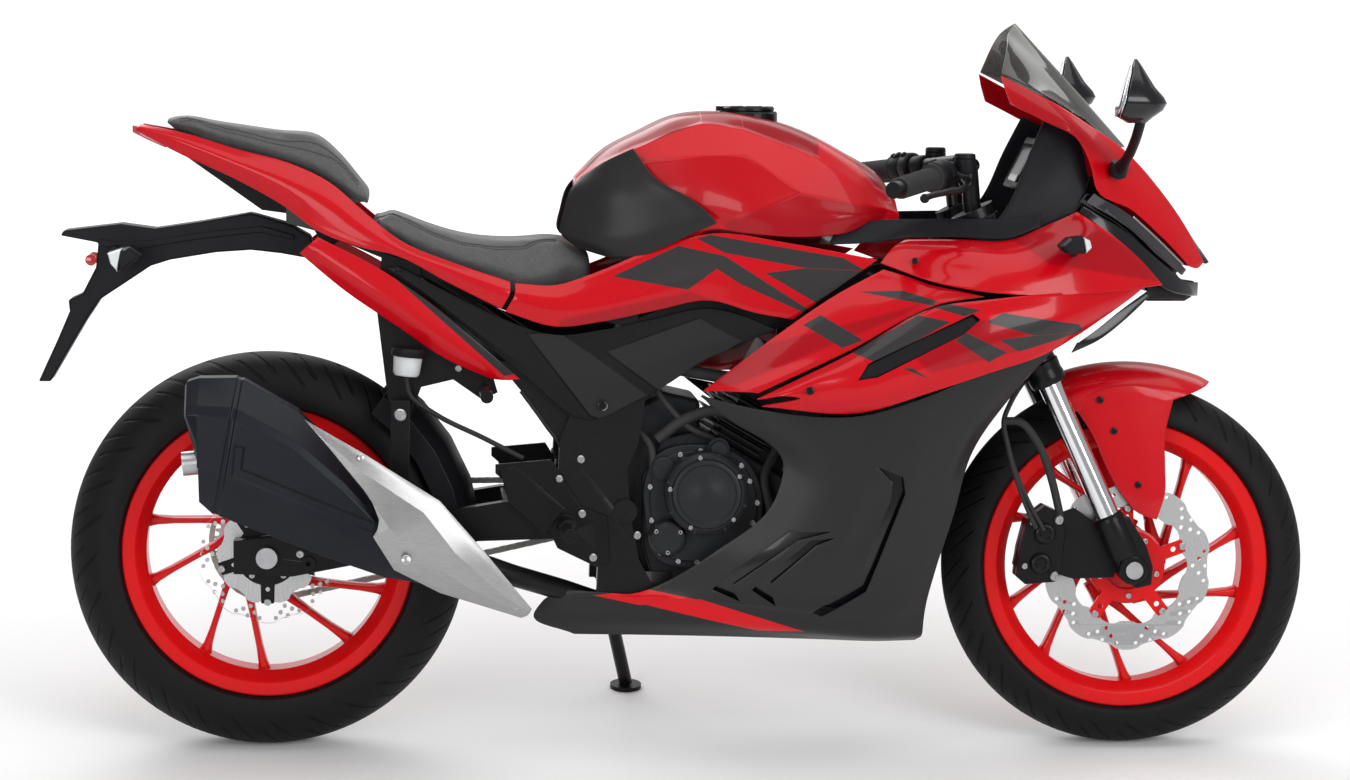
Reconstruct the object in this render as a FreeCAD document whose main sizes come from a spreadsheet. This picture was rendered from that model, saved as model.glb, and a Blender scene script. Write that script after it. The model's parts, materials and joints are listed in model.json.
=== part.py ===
import FreeCAD, Part
import math
import os
import Sketcher
from FreeCAD import Placement, Rotation, Vector

# Sport motorcycle, leaning on its side stand. Each sub-part is drawn upright, +X forward, +Y to the
# rider's left, +Z up from the road, in millimetres, and its Placement then leans the whole machine.
# Fixed sides and heights of the bodywork are in the lists of rows, and the drive and the frame in the sheet.

doc = FreeCAD.newDocument("SportBike")
sheet = doc.addObject("Spreadsheet::Sheet", "Sizes")
sheet_rows = []
sub_parts = []


class Size:
    """A number with the sheet formula that it comes from."""

    def __init__(self, value, text):
        self.value = float(value)
        self.text = text

    def __float__(self):
        return self.value

    def __neg__(self):
        return Size(-self.value, "(0 - %s)" % self.text)

    def __add__(self, other):
        return Size(self.value + float(other), "(%s + %s)" % (self.text, formula(other)))

    def __radd__(self, other):
        return Size(float(other) + self.value, "(%s + %s)" % (formula(other), self.text))

    def __sub__(self, other):
        return Size(self.value - float(other), "(%s - %s)" % (self.text, formula(other)))

    def __rsub__(self, other):
        return Size(float(other) - self.value, "(%s - %s)" % (formula(other), self.text))

    def __mul__(self, other):
        return Size(self.value * float(other), "(%s * %s)" % (self.text, formula(other)))

    def __rmul__(self, other):
        return Size(float(other) * self.value, "(%s * %s)" % (formula(other), self.text))

    def __truediv__(self, other):
        return Size(self.value / float(other), "(%s / %s)" % (self.text, formula(other)))


def formula(value):
    return value.text if isinstance(value, Size) else "(%.6f)" % float(value)


def sine(angle):
    return Size(math.sin(math.radians(float(angle))), "sin(%s * 1 deg)" % formula(angle))


def cosine(angle):
    return Size(math.cos(math.radians(float(angle))), "cos(%s * 1 deg)" % formula(angle))


def size(name, value):
    """One cell of the sheet, with its alias."""
    row = len(sheet_rows) + 1
    sheet.set("A%d" % row, name)
    sheet.set("B%d" % row, str(value))
    sheet.setAlias("B%d" % row, name)
    sheet_rows.append(name)
    return Size(value, "Sizes." + name)


# Wheels and tyres
wheelbase = size("wheelbase", 1372)
rear_axle_back = size("rear_axle_back", 640)
front_tyre_radius = size("front_tyre_radius", 293)
front_tyre_width = size("front_tyre_width", 110)
rear_tyre_radius = size("rear_tyre_radius", 314)
rear_tyre_width = size("rear_tyre_width", 140)
rim_radius = size("rim_radius", 230)
rim_depth = size("rim_depth", 38)
rim_flange = size("rim_flange", 6)
rim_wall = size("rim_wall", 9)
front_rim_width = size("front_rim_width", 88)
rear_rim_width = size("rear_rim_width", 116)
flange_height = size("flange_height", 14)
tyre_wall = size("tyre_wall", 11)
spoke_width = size("spoke_width", 13)
front_spoke_depth = size("front_spoke_depth", 30)
rear_spoke_depth = size("rear_spoke_depth", 40)
spoke_pair_angle = size("spoke_pair_angle", 29)
front_spoke_sweep = size("front_spoke_sweep", 58)
rear_spoke_sweep = size("rear_spoke_sweep", 46)
front_hub_radius = size("front_hub_radius", 66)
rear_hub_radius = size("rear_hub_radius", 60)
front_axle_radius = size("front_axle_radius", 8)
rear_axle_radius = size("rear_axle_radius", 8.5)
front_disc_radius = size("front_disc_radius", 136)
front_disc_inner = size("front_disc_inner", 92)
rear_disc_radius = size("rear_disc_radius", 110)
rear_disc_inner = size("rear_disc_inner", 75)
disc_thickness = size("disc_thickness", 4.5)

# Steering and fork
rake = size("rake", 25)
fork_offset = size("fork_offset", 36)
fork_half_track = size("fork_half_track", 97)
fork_tube_radius = size("fork_tube_radius", 26)
fork_leg_radius = size("fork_leg_radius", 18.5)
fork_tube_low = size("fork_tube_low", 330)
lower_yoke_height = size("lower_yoke_height", 445)
upper_yoke_height = size("upper_yoke_height", 588)
yoke_thickness = size("yoke_thickness", 26)
fork_tube_rise = size("fork_tube_rise", 34)
fork_tube_top = upper_yoke_height + fork_tube_rise
stem_radius = size("stem_radius", 15)
head_tube_radius = size("head_tube_radius", 27)
running_gap = size("running_gap", 0.3)
seat_gap = size("seat_gap", 0.3)
bar_radius = size("bar_radius", 11)
grip_radius = size("grip_radius", 16.5)
grip_length = size("grip_length", 122)
bar_end_side = size("bar_end_side", 345)

# Frame, swingarm and stand
pivot_back = size("pivot_back", 80)
pivot_height = size("pivot_height", 388)
pivot_radius = size("pivot_radius", 11)
arm_inner_side = size("arm_inner_side", 100)
arm_width = size("arm_width", 28)
chain_pitch = size("chain_pitch", 12.7)
rear_teeth = size("rear_teeth", 47)
front_teeth = size("front_teeth", 14)
front_sprocket_forward = size("front_sprocket_forward", 70)
chain_plate_height = size("chain_plate_height", 11)
chain_plate_thickness = size("chain_plate_thickness", 2)
chain_roller_radius = size("chain_roller_radius", 4.2)
chain_roller_length = size("chain_roller_length", 8)
lean = size("lean", 10)
stand_pivot_back = size("stand_pivot_back", 100)
stand_pivot_height = size("stand_pivot_height", 262)
stand_pivot_side = size("stand_pivot_side", 142)
stand_foot_side = size("stand_foot_side", 262)
stand_foot_forward = size("stand_foot_forward", 46)
stand_leg_radius = size("stand_leg_radius", 11)
stand_foot_radius = size("stand_foot_radius", 26)
stand_foot_thickness = size("stand_foot_thickness", 7)
stand_pin_radius = size("stand_pin_radius", 6)
stand_lug_thickness = size("stand_lug_thickness", 8)

# Bodywork walls
panel_wall = size("panel_wall", 3)
screen_wall = size("screen_wall", 2.5)
lens_wall = size("lens_wall", 8)

rear_axle_x = -rear_axle_back
front_axle_x = wheelbase - rear_axle_back
rake_sine = sine(rake)
rake_cosine = cosine(rake)
FORK_UP = Vector(-float(rake_sine), 0, float(rake_cosine))
FORK_FORWARD = Vector(float(rake_cosine), 0, float(rake_sine))
FRONT_AXLE = Vector(float(front_axle_x), 0, float(front_tyre_radius))
REAR_AXLE = Vector(float(rear_axle_x), 0, float(rear_tyre_radius))
PIVOT = Vector(-float(pivot_back), 0, float(pivot_height))
SIDEWAYS = Vector(0, 1, 0)


def steering_point(height):
    """The point of the steering axis that lies level, along the fork, with a height above the axle."""
    return FRONT_AXLE + FORK_UP * float(height) - FORK_FORWARD * float(fork_offset)


def fork_point(height, side=0.0):
    return FRONT_AXLE + FORK_UP * float(height) + SIDEWAYS * float(side)


# Helpers for document objects

def bind(thing, name, value):
    setattr(thing, name, float(value))
    if isinstance(value, Size):
        thing.setExpression(name, value.text)


def keep(name, thing, where=None):
    """Marks an object as a sub-part: its Label names its file."""
    thing.Label = name
    sub_parts.append((name, thing, where or Placement()))
    return thing


def shaped(name, shape):
    feature = doc.addObject("Part::Feature", name)
    feature.Shape = shape
    return feature


def facing(direction):
    return Rotation(Vector(0, 0, 1), Vector(direction))


def cylinder(name, radius, length, start, direction=(0, 0, 1)):
    thing = doc.addObject("Part::Cylinder", name)
    bind(thing, "Radius", radius)
    bind(thing, "Height", length)
    thing.Placement = Placement(Vector(start), facing(direction))
    return thing


def rod(name, radius, start, end):
    span = Vector(end) - Vector(start)
    return cylinder(name, radius, span.Length, start, span)


def box(name, low, high):
    thing = doc.addObject("Part::Box", name)
    for side, first, last in zip(("Length", "Width", "Height"), low, high):
        bind(thing, side, last - first)
    thing.Placement = Placement(Vector(*[float(v) for v in low]), Rotation())
    return thing


def joined(name, *things):
    thing = doc.addObject("Part::MultiFuse", name)
    thing.Shapes = list(things)
    return thing


def together(name, *things):
    """Solids of one node that do not touch."""
    thing = doc.addObject("Part::Compound", name)
    thing.Links = list(things)
    return thing


def less(name, base, tool):
    thing = doc.addObject("Part::Cut", name)
    thing.Base = base
    thing.Tool = tool
    return thing


def mirrored(name, source):
    thing = doc.addObject("Part::Mirroring", name)
    thing.Source = source
    thing.Normal = SIDEWAYS
    return thing


def both_sides(name, source):
    return together(name, source, mirrored(name + "_other_side", source))


# Helpers for bodies made from sketches

def new_body(name):
    return doc.addObject("PartDesign::Body", name)


def sketch_on(body, role, offset=0.0, turn=0.0):
    plane = [f for f in body.Origin.OriginFeatures if f.Role == role][0]
    sketch = body.newObject("Sketcher::SketchObject", body.Name + "_sketch")
    sketch.AttachmentSupport = [(plane, "")]
    sketch.MapMode = "FlatFace"
    sketch.AttachmentOffset = Placement(Vector(0, 0, float(offset)), Rotation(Vector(0, 0, 1), float(turn)))
    if isinstance(offset, Size):
        sketch.setExpression("AttachmentOffset.Base.z", offset.text)
    if isinstance(turn, Size):
        sketch.setExpression("AttachmentOffset.Rotation.Angle", "%s * 1 deg" % turn.text)
    return sketch


def fix_point(sketch, shape, end, u, v):
    for kind, value in (("DistanceX", u), ("DistanceY", v)):
        number = sketch.addConstraint(Sketcher.Constraint(kind, -1, 1, shape, end, float(value)))
        if isinstance(value, Size):
            sketch.setExpression("Constraints[%d]" % number, value.text)


def outline(sketch, points):
    """A closed outline of straight sides, each corner held by its two distances."""
    flat = [Vector(float(u), float(v), 0) for u, v in points]
    count = len(flat)
    first = None
    for i in range(count):
        number = sketch.addGeometry(Part.LineSegment(flat[i], flat[(i + 1) % count]), False)
        first = number if first is None else first
        fix_point(sketch, number, 1, *points[i])
    for i in range(count):
        following = first + (i + 1) % count
        sketch.addConstraint(Sketcher.Constraint("Coincident", first + i, 2, following, 1))


def circle(sketch, u, v, radius):
    middle = Vector(float(u), float(v), 0)
    number = sketch.addGeometry(Part.Circle(middle, Vector(0, 0, 1), float(radius)), False)
    fix_point(sketch, number, 3, u, v)
    row = sketch.addConstraint(Sketcher.Constraint("Radius", number, float(radius)))
    if isinstance(radius, Size):
        sketch.setExpression("Constraints[%d]" % row, radius.text)


def pad(body, sketch, length, middle=False, other_way=False):
    feature = body.newObject("PartDesign::Pad", body.Name + "_pad")
    feature.Profile = sketch
    bind(feature, "Length", length)
    feature.Midplane = middle
    feature.Reversed = other_way
    sketch.Visibility = False
    return feature


def turned_about_y(body, sketch):
    feature = body.newObject("PartDesign::Revolution", body.Name + "_turned")
    feature.Profile = sketch
    feature.ReferenceAxis = (sketch, ["H_Axis"])
    feature.Angle = 360
    return feature


def around_y(body, originals, count):
    axis = [f for f in body.Origin.OriginFeatures if f.Role == "Y_Axis"][0]
    pattern = body.newObject("PartDesign::PolarPattern", body.Name + "_around")
    pattern.Originals = originals
    pattern.Axis = (axis, [""])
    pattern.Angle = 360
    pattern.Occurrences = count
    body.Tip = pattern
    return pattern


def plate(name, points, start, thickness, holes=()):
    """A flat piece drawn from the right side. It starts that far right of the middle and pads outwards."""
    body = new_body(name)
    sketch = sketch_on(body, "XZ_Plane", start)
    outline(sketch, points)
    for u, v, radius in holes:
        circle(sketch, u, v, radius)
    pad(body, sketch, thickness)
    return body


def drum(name, u, v, radius, start, length, bore=None):
    """A round piece across the machine, drawn from the right side."""
    body = new_body(name)
    sketch = sketch_on(body, "XZ_Plane", start)
    circle(sketch, u, v, radius)
    if bore is not None:
        circle(sketch, u, v, bore)
    pad(body, sketch, length)
    return body


# Helpers for freely curved solids

def triangles_solid(triangles):
    faces = []
    for a, b, c in triangles:
        if (b - a).cross(c - a).Length > 1e-3:
            faces.append(Part.Face(Part.makePolygon([a, b, c, a])))
    solid = Part.Solid(Part.makeShell(faces))
    if solid.Volume < 0:
        solid.reverse()
    return solid


def ring_solid(rings):
    """A closed solid through rings that have the same number of points."""
    triangles = []
    count = len(rings[0])
    for low, high in zip(rings, rings[1:]):
        for i in range(count):
            j = (i + 1) % count
            triangles.append((low[i], low[j], high[j]))
            triangles.append((low[i], high[j], high[i]))
    for ring, order in ((rings[0], -1), (rings[-1], 1)):
        middle = sum(ring, Vector()) * (1.0 / count)
        for i in range(count):
            pair = (ring[i], ring[(i + 1) % count])[::order]
            triangles.append((middle, pair[0], pair[1]))
    return triangles_solid(triangles)


def whole_ring(x, half):
    """A ring across the machine from its left half, listed from top middle to bottom middle."""
    left = [Vector(x, y, z) for y, z in half]
    right = [Vector(x, -y, z) for y, z in reversed(half) if y > 0]
    return left + right


def shell_solid(grid, wall, toward):
    """A sheet with thickness. toward gives, for a point, the way in which its wall lies."""
    high, wide = len(grid), len(grid[0])
    inner = []
    for i in range(high):
        inner_row = []
        for j in range(wide):
            along = grid[i][min(j + 1, wide - 1)] - grid[i][max(j - 1, 0)]
            down = grid[min(i + 1, high - 1)][j] - grid[max(i - 1, 0)][j]
            normal = along.cross(down)
            normal.normalize()
            if normal.dot(toward(grid[i][j])) < 0:
                normal = -normal
            inner_row.append(grid[i][j] + normal * float(wall))
        inner.append(inner_row)
    triangles = []

    def quad(a, b, c, d):
        triangles.append((a, b, c))
        triangles.append((a, c, d))

    for i in range(high - 1):
        for j in range(wide - 1):
            quad(grid[i][j], grid[i][j + 1], grid[i + 1][j + 1], grid[i + 1][j])
            quad(inner[i][j], inner[i + 1][j], inner[i + 1][j + 1], inner[i][j + 1])
    for j in range(wide - 1):
        quad(grid[0][j + 1], grid[0][j], inner[0][j], inner[0][j + 1])
        quad(grid[-1][j], grid[-1][j + 1], inner[-1][j + 1], inner[-1][j])
    for i in range(high - 1):
        quad(grid[i][0], grid[i + 1][0], inner[i + 1][0], inner[i][0])
        quad(grid[i + 1][-1], grid[i][-1], inner[i][-1], inner[i + 1][-1])
    return triangles_solid(triangles)


def skin(rows, wall):
    """A panel of the right side. Its rows give the outer face: forward, away from the middle, up."""
    grid = [[Vector(x, -y, z) for x, y, z in row] for row in rows]
    return shell_solid(grid, wall, lambda point: SIDEWAYS)


def beam(stations):
    """A bar of rectangular section. A station gives its top and bottom point and its two sides."""
    rings = []
    for (top_x, top_z), (low_x, low_z), inner, outer in stations:
        rings.append([Vector(top_x, inner, top_z), Vector(top_x, outer, top_z),
                      Vector(low_x, outer, low_z), Vector(low_x, inner, low_z)])
    return ring_solid(rings)


def bent_tube(points, radius):
    """A round bar along straight runs joined by tangent arcs."""
    points = [Vector(p) for p in points]
    edges = []
    last = points[0]
    for before, corner, after in zip(points, points[1:], points[2:]):
        back = before - corner
        ahead = after - corner
        turn = math.pi - back.getAngle(ahead)
        reach = 0.45 * min(back.Length, ahead.Length)
        back.normalize()
        ahead.normalize()
        start, end = corner + back * reach, corner + ahead * reach
        middle = corner + (back + ahead).normalize() * (
            reach / math.tan(turn / 2) * (1 / math.cos(turn / 2) - 1))
        edges.append(Part.LineSegment(last, start).toShape())
        edges.append(Part.Arc(start, middle, end).toShape())
        last = end
    edges.append(Part.LineSegment(last, points[-1]).toShape())
    path = Part.Wire(edges)
    section = Part.Wire(Part.makeCircle(float(radius), points[0], points[1] - points[0]))
    return path.makePipeShell([section], True, True)


# Helpers for seats

def crossings(shape, start, way, reach=400):
    """The distances along a line at which it meets a shape."""
    line = Part.makeLine(start, start + way * reach)
    return [(vertex.Point - start).Length for vertex in shape.common(line).Vertexes]


def peg(radius, panel, carrier, start, way=(0, -1, 0)):
    """A boss from the near face of a panel back to what carries it, short of it by the seat gap."""
    doc.recompute()
    start, way = Vector(start), Vector(way).normalize()
    near = min(crossings(panel.Shape, start, way))
    far = max(distance for distance in crossings(carrier.Shape, start, way) if distance < near)
    sink = float(panel_wall) / 2
    length = near - far + 2 * sink
    bar = Part.makeCylinder(float(radius), length, start + way * (far - sink), way)
    kept_clear = carrier.Shape.copy()
    kept_clear.translate(way * float(seat_gap))
    pieces = bar.cut(kept_clear).Solids
    return shaped(panel.Name + "_peg", max(pieces, key=lambda piece: piece.Volume))


def pegged(name, panel, carrier, radius, *starts, way=(0, -1, 0)):
    """A panel with its bosses."""
    return joined(name, panel, *[peg(radius, panel, carrier, start, way) for start in starts])


# Wheels

SPOKE_PAIRS = 5
rim_inner_radius = rim_radius - rim_depth
bead_seat_radius = rim_radius - flange_height
front_hub_half = size("front_hub_half", 58)
rear_hub_half = size("rear_hub_half", 80)
sprocket_thickness = size("sprocket_thickness", 7)
chain_side = rear_hub_half + sprocket_thickness / 2
rim_well = size("rim_well", 12)
spoke_sink = size("spoke_sink", 4)


def root_of(value):
    return Size(math.sqrt(float(value)), "sqrt(%s)" % formula(value))


def tyre(name, radius, width, rim_width):
    body = new_body(name)
    sketch = sketch_on(body, "YZ_Plane")
    crown = width / 2
    level = radius - crown
    bead = rim_width / 2 - rim_flange
    middle = Vector(0, float(level), 0)
    arcs = []
    for arc_radius in (crown, crown - tyre_wall):
        round_part = Part.ArcOfCircle(Part.Circle(middle, Vector(0, 0, 1), float(arc_radius)), 0, math.pi)
        arc = sketch.addGeometry(round_part, False)
        fix_point(sketch, arc, 3, 0.0, level)
        row = sketch.addConstraint(Sketcher.Constraint("Radius", arc, float(arc_radius)))
        sketch.setExpression("Constraints[%d]" % row, arc_radius.text)
        for end in (1, 2):
            row = sketch.addConstraint(Sketcher.Constraint("DistanceY", -1, 1, arc, end, float(level)))
            sketch.setExpression("Constraints[%d]" % row, level.text)
        arcs.append(arc)
    lip = rim_radius + 1
    for end, way in ((1, 1), (2, -1)):
        corners = [(bead * way, lip), (bead * way, bead_seat_radius),
                   ((bead - tyre_wall) * way, bead_seat_radius), ((bead - tyre_wall) * way, lip + 4)]
        flat = [Vector(float(crown * way), float(level), 0)]
        flat += [Vector(float(u), float(v), 0) for u, v in corners]
        flat.append(Vector(float((crown - tyre_wall) * way), float(level), 0))
        lines = [sketch.addGeometry(Part.LineSegment(a, b), False) for a, b in zip(flat, flat[1:])]
        sketch.addConstraint(Sketcher.Constraint("Coincident", arcs[0], end, lines[0], 1))
        sketch.addConstraint(Sketcher.Constraint("Coincident", arcs[1], end, lines[-1], 2))
        for line, following, corner in zip(lines, lines[1:], corners):
            sketch.addConstraint(Sketcher.Constraint("Coincident", line, 2, following, 1))
            fix_point(sketch, following, 1, *corner)
    turned_about_y(body, sketch)
    return body


def cast_wheel(name, rim_width, hub_radius, hub_half, bore, depth, sweep, first_pair):
    body = new_body(name)
    hub = sketch_on(body, "XZ_Plane")
    circle(hub, 0, 0, hub_radius)
    circle(hub, 0, 0, bore)
    pad(body, hub, hub_half * 2, middle=True)
    spokes = []
    reach = root_of((rim_inner_radius + spoke_sink) * (rim_inner_radius + spoke_sink) - sweep * sweep)
    start = root_of(hub_radius * hub_radius - sweep * sweep) / 2
    for turn in (first_pair - spoke_pair_angle / 2, first_pair + spoke_pair_angle / 2):
        sketch = sketch_on(body, "XZ_Plane", 0.0, turn)
        low, high = -sweep - spoke_width / 2, -sweep + spoke_width / 2
        outline(sketch, [(start, low), (reach, low), (reach, high), (start, high)])
        spokes.append(pad(body, sketch, depth, middle=True))
    around_y(body, spokes, SPOKE_PAIRS)
    rim = sketch_on(body, "YZ_Plane")
    edge = rim_width / 2
    bed = rim_width / 4
    side = bead_seat_radius - rim_wall
    outline(rim, [(-edge, rim_radius), (-edge, side), (-bed, rim_inner_radius), (bed, rim_inner_radius),
                  (edge, side), (edge, rim_radius), (edge - rim_flange, rim_radius),
                  (edge - rim_flange, bead_seat_radius), (bed, bead_seat_radius - rim_well),
                  (-bed, bead_seat_radius - rim_well), (rim_flange - edge, bead_seat_radius),
                  (rim_flange - edge, rim_radius)])
    turned_about_y(body, rim)
    return body


def brake_disc(name, outer, inner, hole, start, arms):
    """The braking ring, and the spider that carries it on the hub."""
    body = new_body(name)
    ring = sketch_on(body, "XZ_Plane", start)
    circle(ring, 0, 0, outer)
    circle(ring, 0, 0, inner)
    pad(body, ring, disc_thickness)
    middle = sketch_on(body, "XZ_Plane", start)
    circle(middle, 0, 0, hole + carrier_width)
    circle(middle, 0, 0, hole)
    pad(body, middle, disc_thickness)
    arm = sketch_on(body, "XZ_Plane", start)
    half = carrier_width / 2
    outline(arm, [(hole + half, -half), (inner + half, -half), (inner + half, half), (hole + half, half)])
    around_y(body, [pad(body, arm, disc_thickness)], arms)
    return body


carrier_width = size("carrier_width", 18)
front_carrier_hole = size("front_carrier_hole", 40)
rear_carrier_hole = size("rear_carrier_hole", 36)
front_pair_angle = size("front_pair_angle", 17)
rear_pair_angle = size("rear_pair_angle", 195)
at_front = Placement(FRONT_AXLE, Rotation())
at_rear = Placement(REAR_AXLE, Rotation())

keep("front_tyre", tyre("front_tyre", front_tyre_radius, front_tyre_width, front_rim_width), at_front)
keep("front_rim", cast_wheel("front_rim", front_rim_width, front_hub_radius, front_hub_half,
                             front_axle_radius + running_gap, front_spoke_depth, front_spoke_sweep,
                             front_pair_angle), at_front)
keep("front_brake_disc", brake_disc("front_brake_disc", front_disc_radius, front_disc_inner,
                                    front_carrier_hole, front_hub_half, SPOKE_PAIRS), at_front)
keep("rear_tyre", tyre("rear_tyre", rear_tyre_radius, rear_tyre_width, rear_rim_width), at_rear)
keep("rear_rim", cast_wheel("rear_rim", rear_rim_width, rear_hub_radius, rear_hub_half,
                            rear_axle_radius + running_gap, rear_spoke_depth, rear_spoke_sweep,
                            rear_pair_angle), at_rear)
keep("rear_brake_disc", brake_disc("rear_brake_disc", rear_disc_radius, rear_disc_inner,
                                   rear_carrier_hole, rear_hub_half, SPOKE_PAIRS), at_rear)

# Chain drive

rear_pitch_radius = float(chain_pitch) / (2 * math.sin(math.pi / float(rear_teeth)))
front_pitch_radius = float(chain_pitch) / (2 * math.sin(math.pi / float(front_teeth)))
FRONT_SPROCKET = PIVOT + Vector(float(front_sprocket_forward), 0, 0)
tooth_gap = size("tooth_gap", 0.3)
tooth_depth = size("tooth_depth", 7)


def sprocket_shape():
    tip = rear_pitch_radius - float(chain_roller_radius) - float(tooth_gap)
    points = []
    teeth = int(float(rear_teeth))
    for i in range(teeth):
        for part, radius in ((-0.30, tip - float(tooth_depth)), (-0.12, tip), (0.12, tip),
                             (0.30, tip - float(tooth_depth))):
            angle = 2 * math.pi * (i + part) / teeth
            points.append(Vector(radius * math.cos(angle), 0, radius * math.sin(angle)))
    face = Part.Face(Part.makePolygon(points + [points[0]]))
    solid = face.extrude(SIDEWAYS * float(sprocket_thickness))
    solid.translate(SIDEWAYS * float(rear_hub_half))
    window = Part.makeCylinder(float(sprocket_window), float(sprocket_thickness),
                               Vector(0, float(rear_hub_half), 0), SIDEWAYS)
    solid = solid.cut(Part.makeCylinder(float(rear_carrier_hole), float(sprocket_thickness),
                                        Vector(0, float(rear_hub_half), 0), SIDEWAYS))
    for i in range(SPOKE_PAIRS):
        angle = 2 * math.pi * i / SPOKE_PAIRS
        hole = window.copy()
        hole.translate(Vector(math.cos(angle), 0, math.sin(angle)) * float(sprocket_window_place))
        solid = solid.cut(hole)
    return solid


def loop_angles():
    """The angle of the line between the sprockets, and the half angle of the small one's wrap."""
    span = FRONT_SPROCKET - REAR_AXLE
    distance = span.Length
    base = math.atan2(span.z, span.x)
    spread = math.acos((rear_pitch_radius - front_pitch_radius) / distance)
    return base, spread


def loop_solid(change, start, thickness):
    """A flat racetrack solid round both sprockets, its edge moved out from the pitch line by change."""
    base, spread = loop_angles()

    def place(centre, radius, angle):
        return centre + Vector(math.cos(angle), 0, math.sin(angle)) * (radius + change)

    upper, lower = base + spread, base - spread
    edges = [Part.LineSegment(place(REAR_AXLE, rear_pitch_radius, upper),
                              place(FRONT_SPROCKET, front_pitch_radius, upper)).toShape(),
             Part.Arc(place(FRONT_SPROCKET, front_pitch_radius, upper),
                      place(FRONT_SPROCKET, front_pitch_radius, base),
                      place(FRONT_SPROCKET, front_pitch_radius, lower)).toShape(),
             Part.LineSegment(place(FRONT_SPROCKET, front_pitch_radius, lower),
                              place(REAR_AXLE, rear_pitch_radius, lower)).toShape(),
             Part.Arc(place(REAR_AXLE, rear_pitch_radius, lower),
                      place(REAR_AXLE, rear_pitch_radius, base + math.pi),
                      place(REAR_AXLE, rear_pitch_radius, upper)).toShape()]
    solid = Part.Face(Part.Wire(edges)).extrude(SIDEWAYS * thickness)
    solid.translate(SIDEWAYS * start)
    return solid


def chain_shape():
    half_height = float(chain_plate_height) / 2
    plate_wall = float(chain_plate_thickness)
    half_roller = float(chain_roller_length) / 2
    middle = float(chain_side)
    parts = []
    for start in (middle - half_roller - plate_wall, middle + half_roller):
        band = loop_solid(half_height, start, plate_wall)
        parts.append(band.cut(loop_solid(-half_height, start, plate_wall)))
    base, spread = loop_angles()
    run = (FRONT_SPROCKET - REAR_AXLE).Length * math.sin(spread)
    rear_wrap = 2 * (math.pi - spread)
    front_wrap = 2 * spread
    total = 2 * run + rear_wrap * rear_pitch_radius + front_wrap * front_pitch_radius
    rollers = int(round(total / float(chain_pitch) / 2))
    after_front = run + front_wrap * front_pitch_radius
    for i in range(rollers):
        travel = total * i / rollers
        along = 0
        if travel < run:
            centre, radius, angle = REAR_AXLE, rear_pitch_radius, base + spread
            along = travel
        elif travel < after_front:
            centre, radius = FRONT_SPROCKET, front_pitch_radius
            angle = base + spread - (travel - run) / radius
        elif travel < after_front + run:
            centre, radius, angle = FRONT_SPROCKET, front_pitch_radius, base - spread
            along = travel - after_front
        else:
            centre, radius = REAR_AXLE, rear_pitch_radius
            angle = base - spread - (travel - after_front - run) / radius
        outward = Vector(math.cos(angle), 0, math.sin(angle))
        onward = Vector(math.sin(angle), 0, -math.cos(angle))
        place = centre + outward * radius + onward * along
        corners = []
        for j in range(6):
            turn = math.pi * j / 3
            corners.append(place + Vector(math.cos(turn), 0, math.sin(turn)) * float(chain_roller_radius))
        roller = Part.Face(Part.makePolygon(corners + [corners[0]]))
        roller = roller.extrude(SIDEWAYS * float(chain_roller_length))
        roller.translate(SIDEWAYS * (middle - half_roller))
        parts.append(roller)
    return parts[0].fuse(parts[1:])


sprocket_window = size("sprocket_window", 9)
sprocket_window_place = size("sprocket_window_place", 68)
keep("rear_sprocket", shaped("rear_sprocket", sprocket_shape()), at_rear)
keep("drive_chain", shaped("drive_chain", chain_shape()))

# Steering: stem, yokes, fork, bars

steer_place = Placement(steering_point(0), Rotation(SIDEWAYS, -float(rake)))
yoke_side = fork_half_track + fork_tube_radius + 11
socket_radius = size("socket_radius", 7.5)
socket_depth = size("socket_depth", 30)
yoke_front = fork_offset + fork_tube_radius + 8


def yoke(name, height):
    body = new_body(name)
    sketch = sketch_on(body, "XY_Plane", height)
    outline(sketch, [(-34, 24), (-34, -24), (-6, -yoke_side + 20), (8, -yoke_side), (yoke_front - 8, -yoke_side),
                     (yoke_front, -yoke_side + 10), (yoke_front, -fork_half_track + 22), (34, -34), (34, 34),
                     (yoke_front, fork_half_track - 22), (yoke_front, yoke_side - 10),
                     (yoke_front - 8, yoke_side), (8, yoke_side), (-6, yoke_side - 20)])
    for side in (-1, 1):
        circle(sketch, fork_offset, fork_half_track * side, fork_tube_radius)
    pad(body, sketch, yoke_thickness)
    body.Placement = steer_place
    return body


def stem():
    start = steering_point(float(lower_yoke_height) + float(yoke_thickness) / 2)
    end = steering_point(float(upper_yoke_height) + float(yoke_thickness) / 2)
    return rod("stem", stem_radius, start, end)


STEM_SOCKET = steering_point(lower_yoke_height)


def steering_yokes():
    solid = joined("steering_solid", yoke("lower_yoke", lower_yoke_height), stem(),
                   yoke("upper_yoke", upper_yoke_height))
    socket = cylinder("stem_socket", socket_radius, socket_depth, STEM_SOCKET, FORK_UP)
    return less("steering_yokes", solid, socket)


keep("steering_yokes", steering_yokes())

collar_radius = size("collar_radius", 29)
collar_length = size("collar_length", 34)


def fork_tube(side):
    tube = rod("fork_tube", fork_tube_radius, fork_point(fork_tube_low, side), fork_point(fork_tube_top, side))
    low = float(fork_tube_low)
    collar = rod("fork_collar", collar_radius, fork_point(low, side),
                 fork_point(low + float(collar_length), side))
    return joined("fork_outer", tube, collar)


right_side = -float(fork_half_track)
keep("fork_tubes", together("fork_tubes", fork_tube(right_side), fork_tube(-right_side)))

foot_radius = size("foot_radius", 24)
foot_top = size("foot_top", 96)
foot_inner_side = size("foot_inner_side", 76)
foot_outer_side = size("foot_outer_side", 119)
axle_collar_radius = size("axle_collar_radius", 14)


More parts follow.
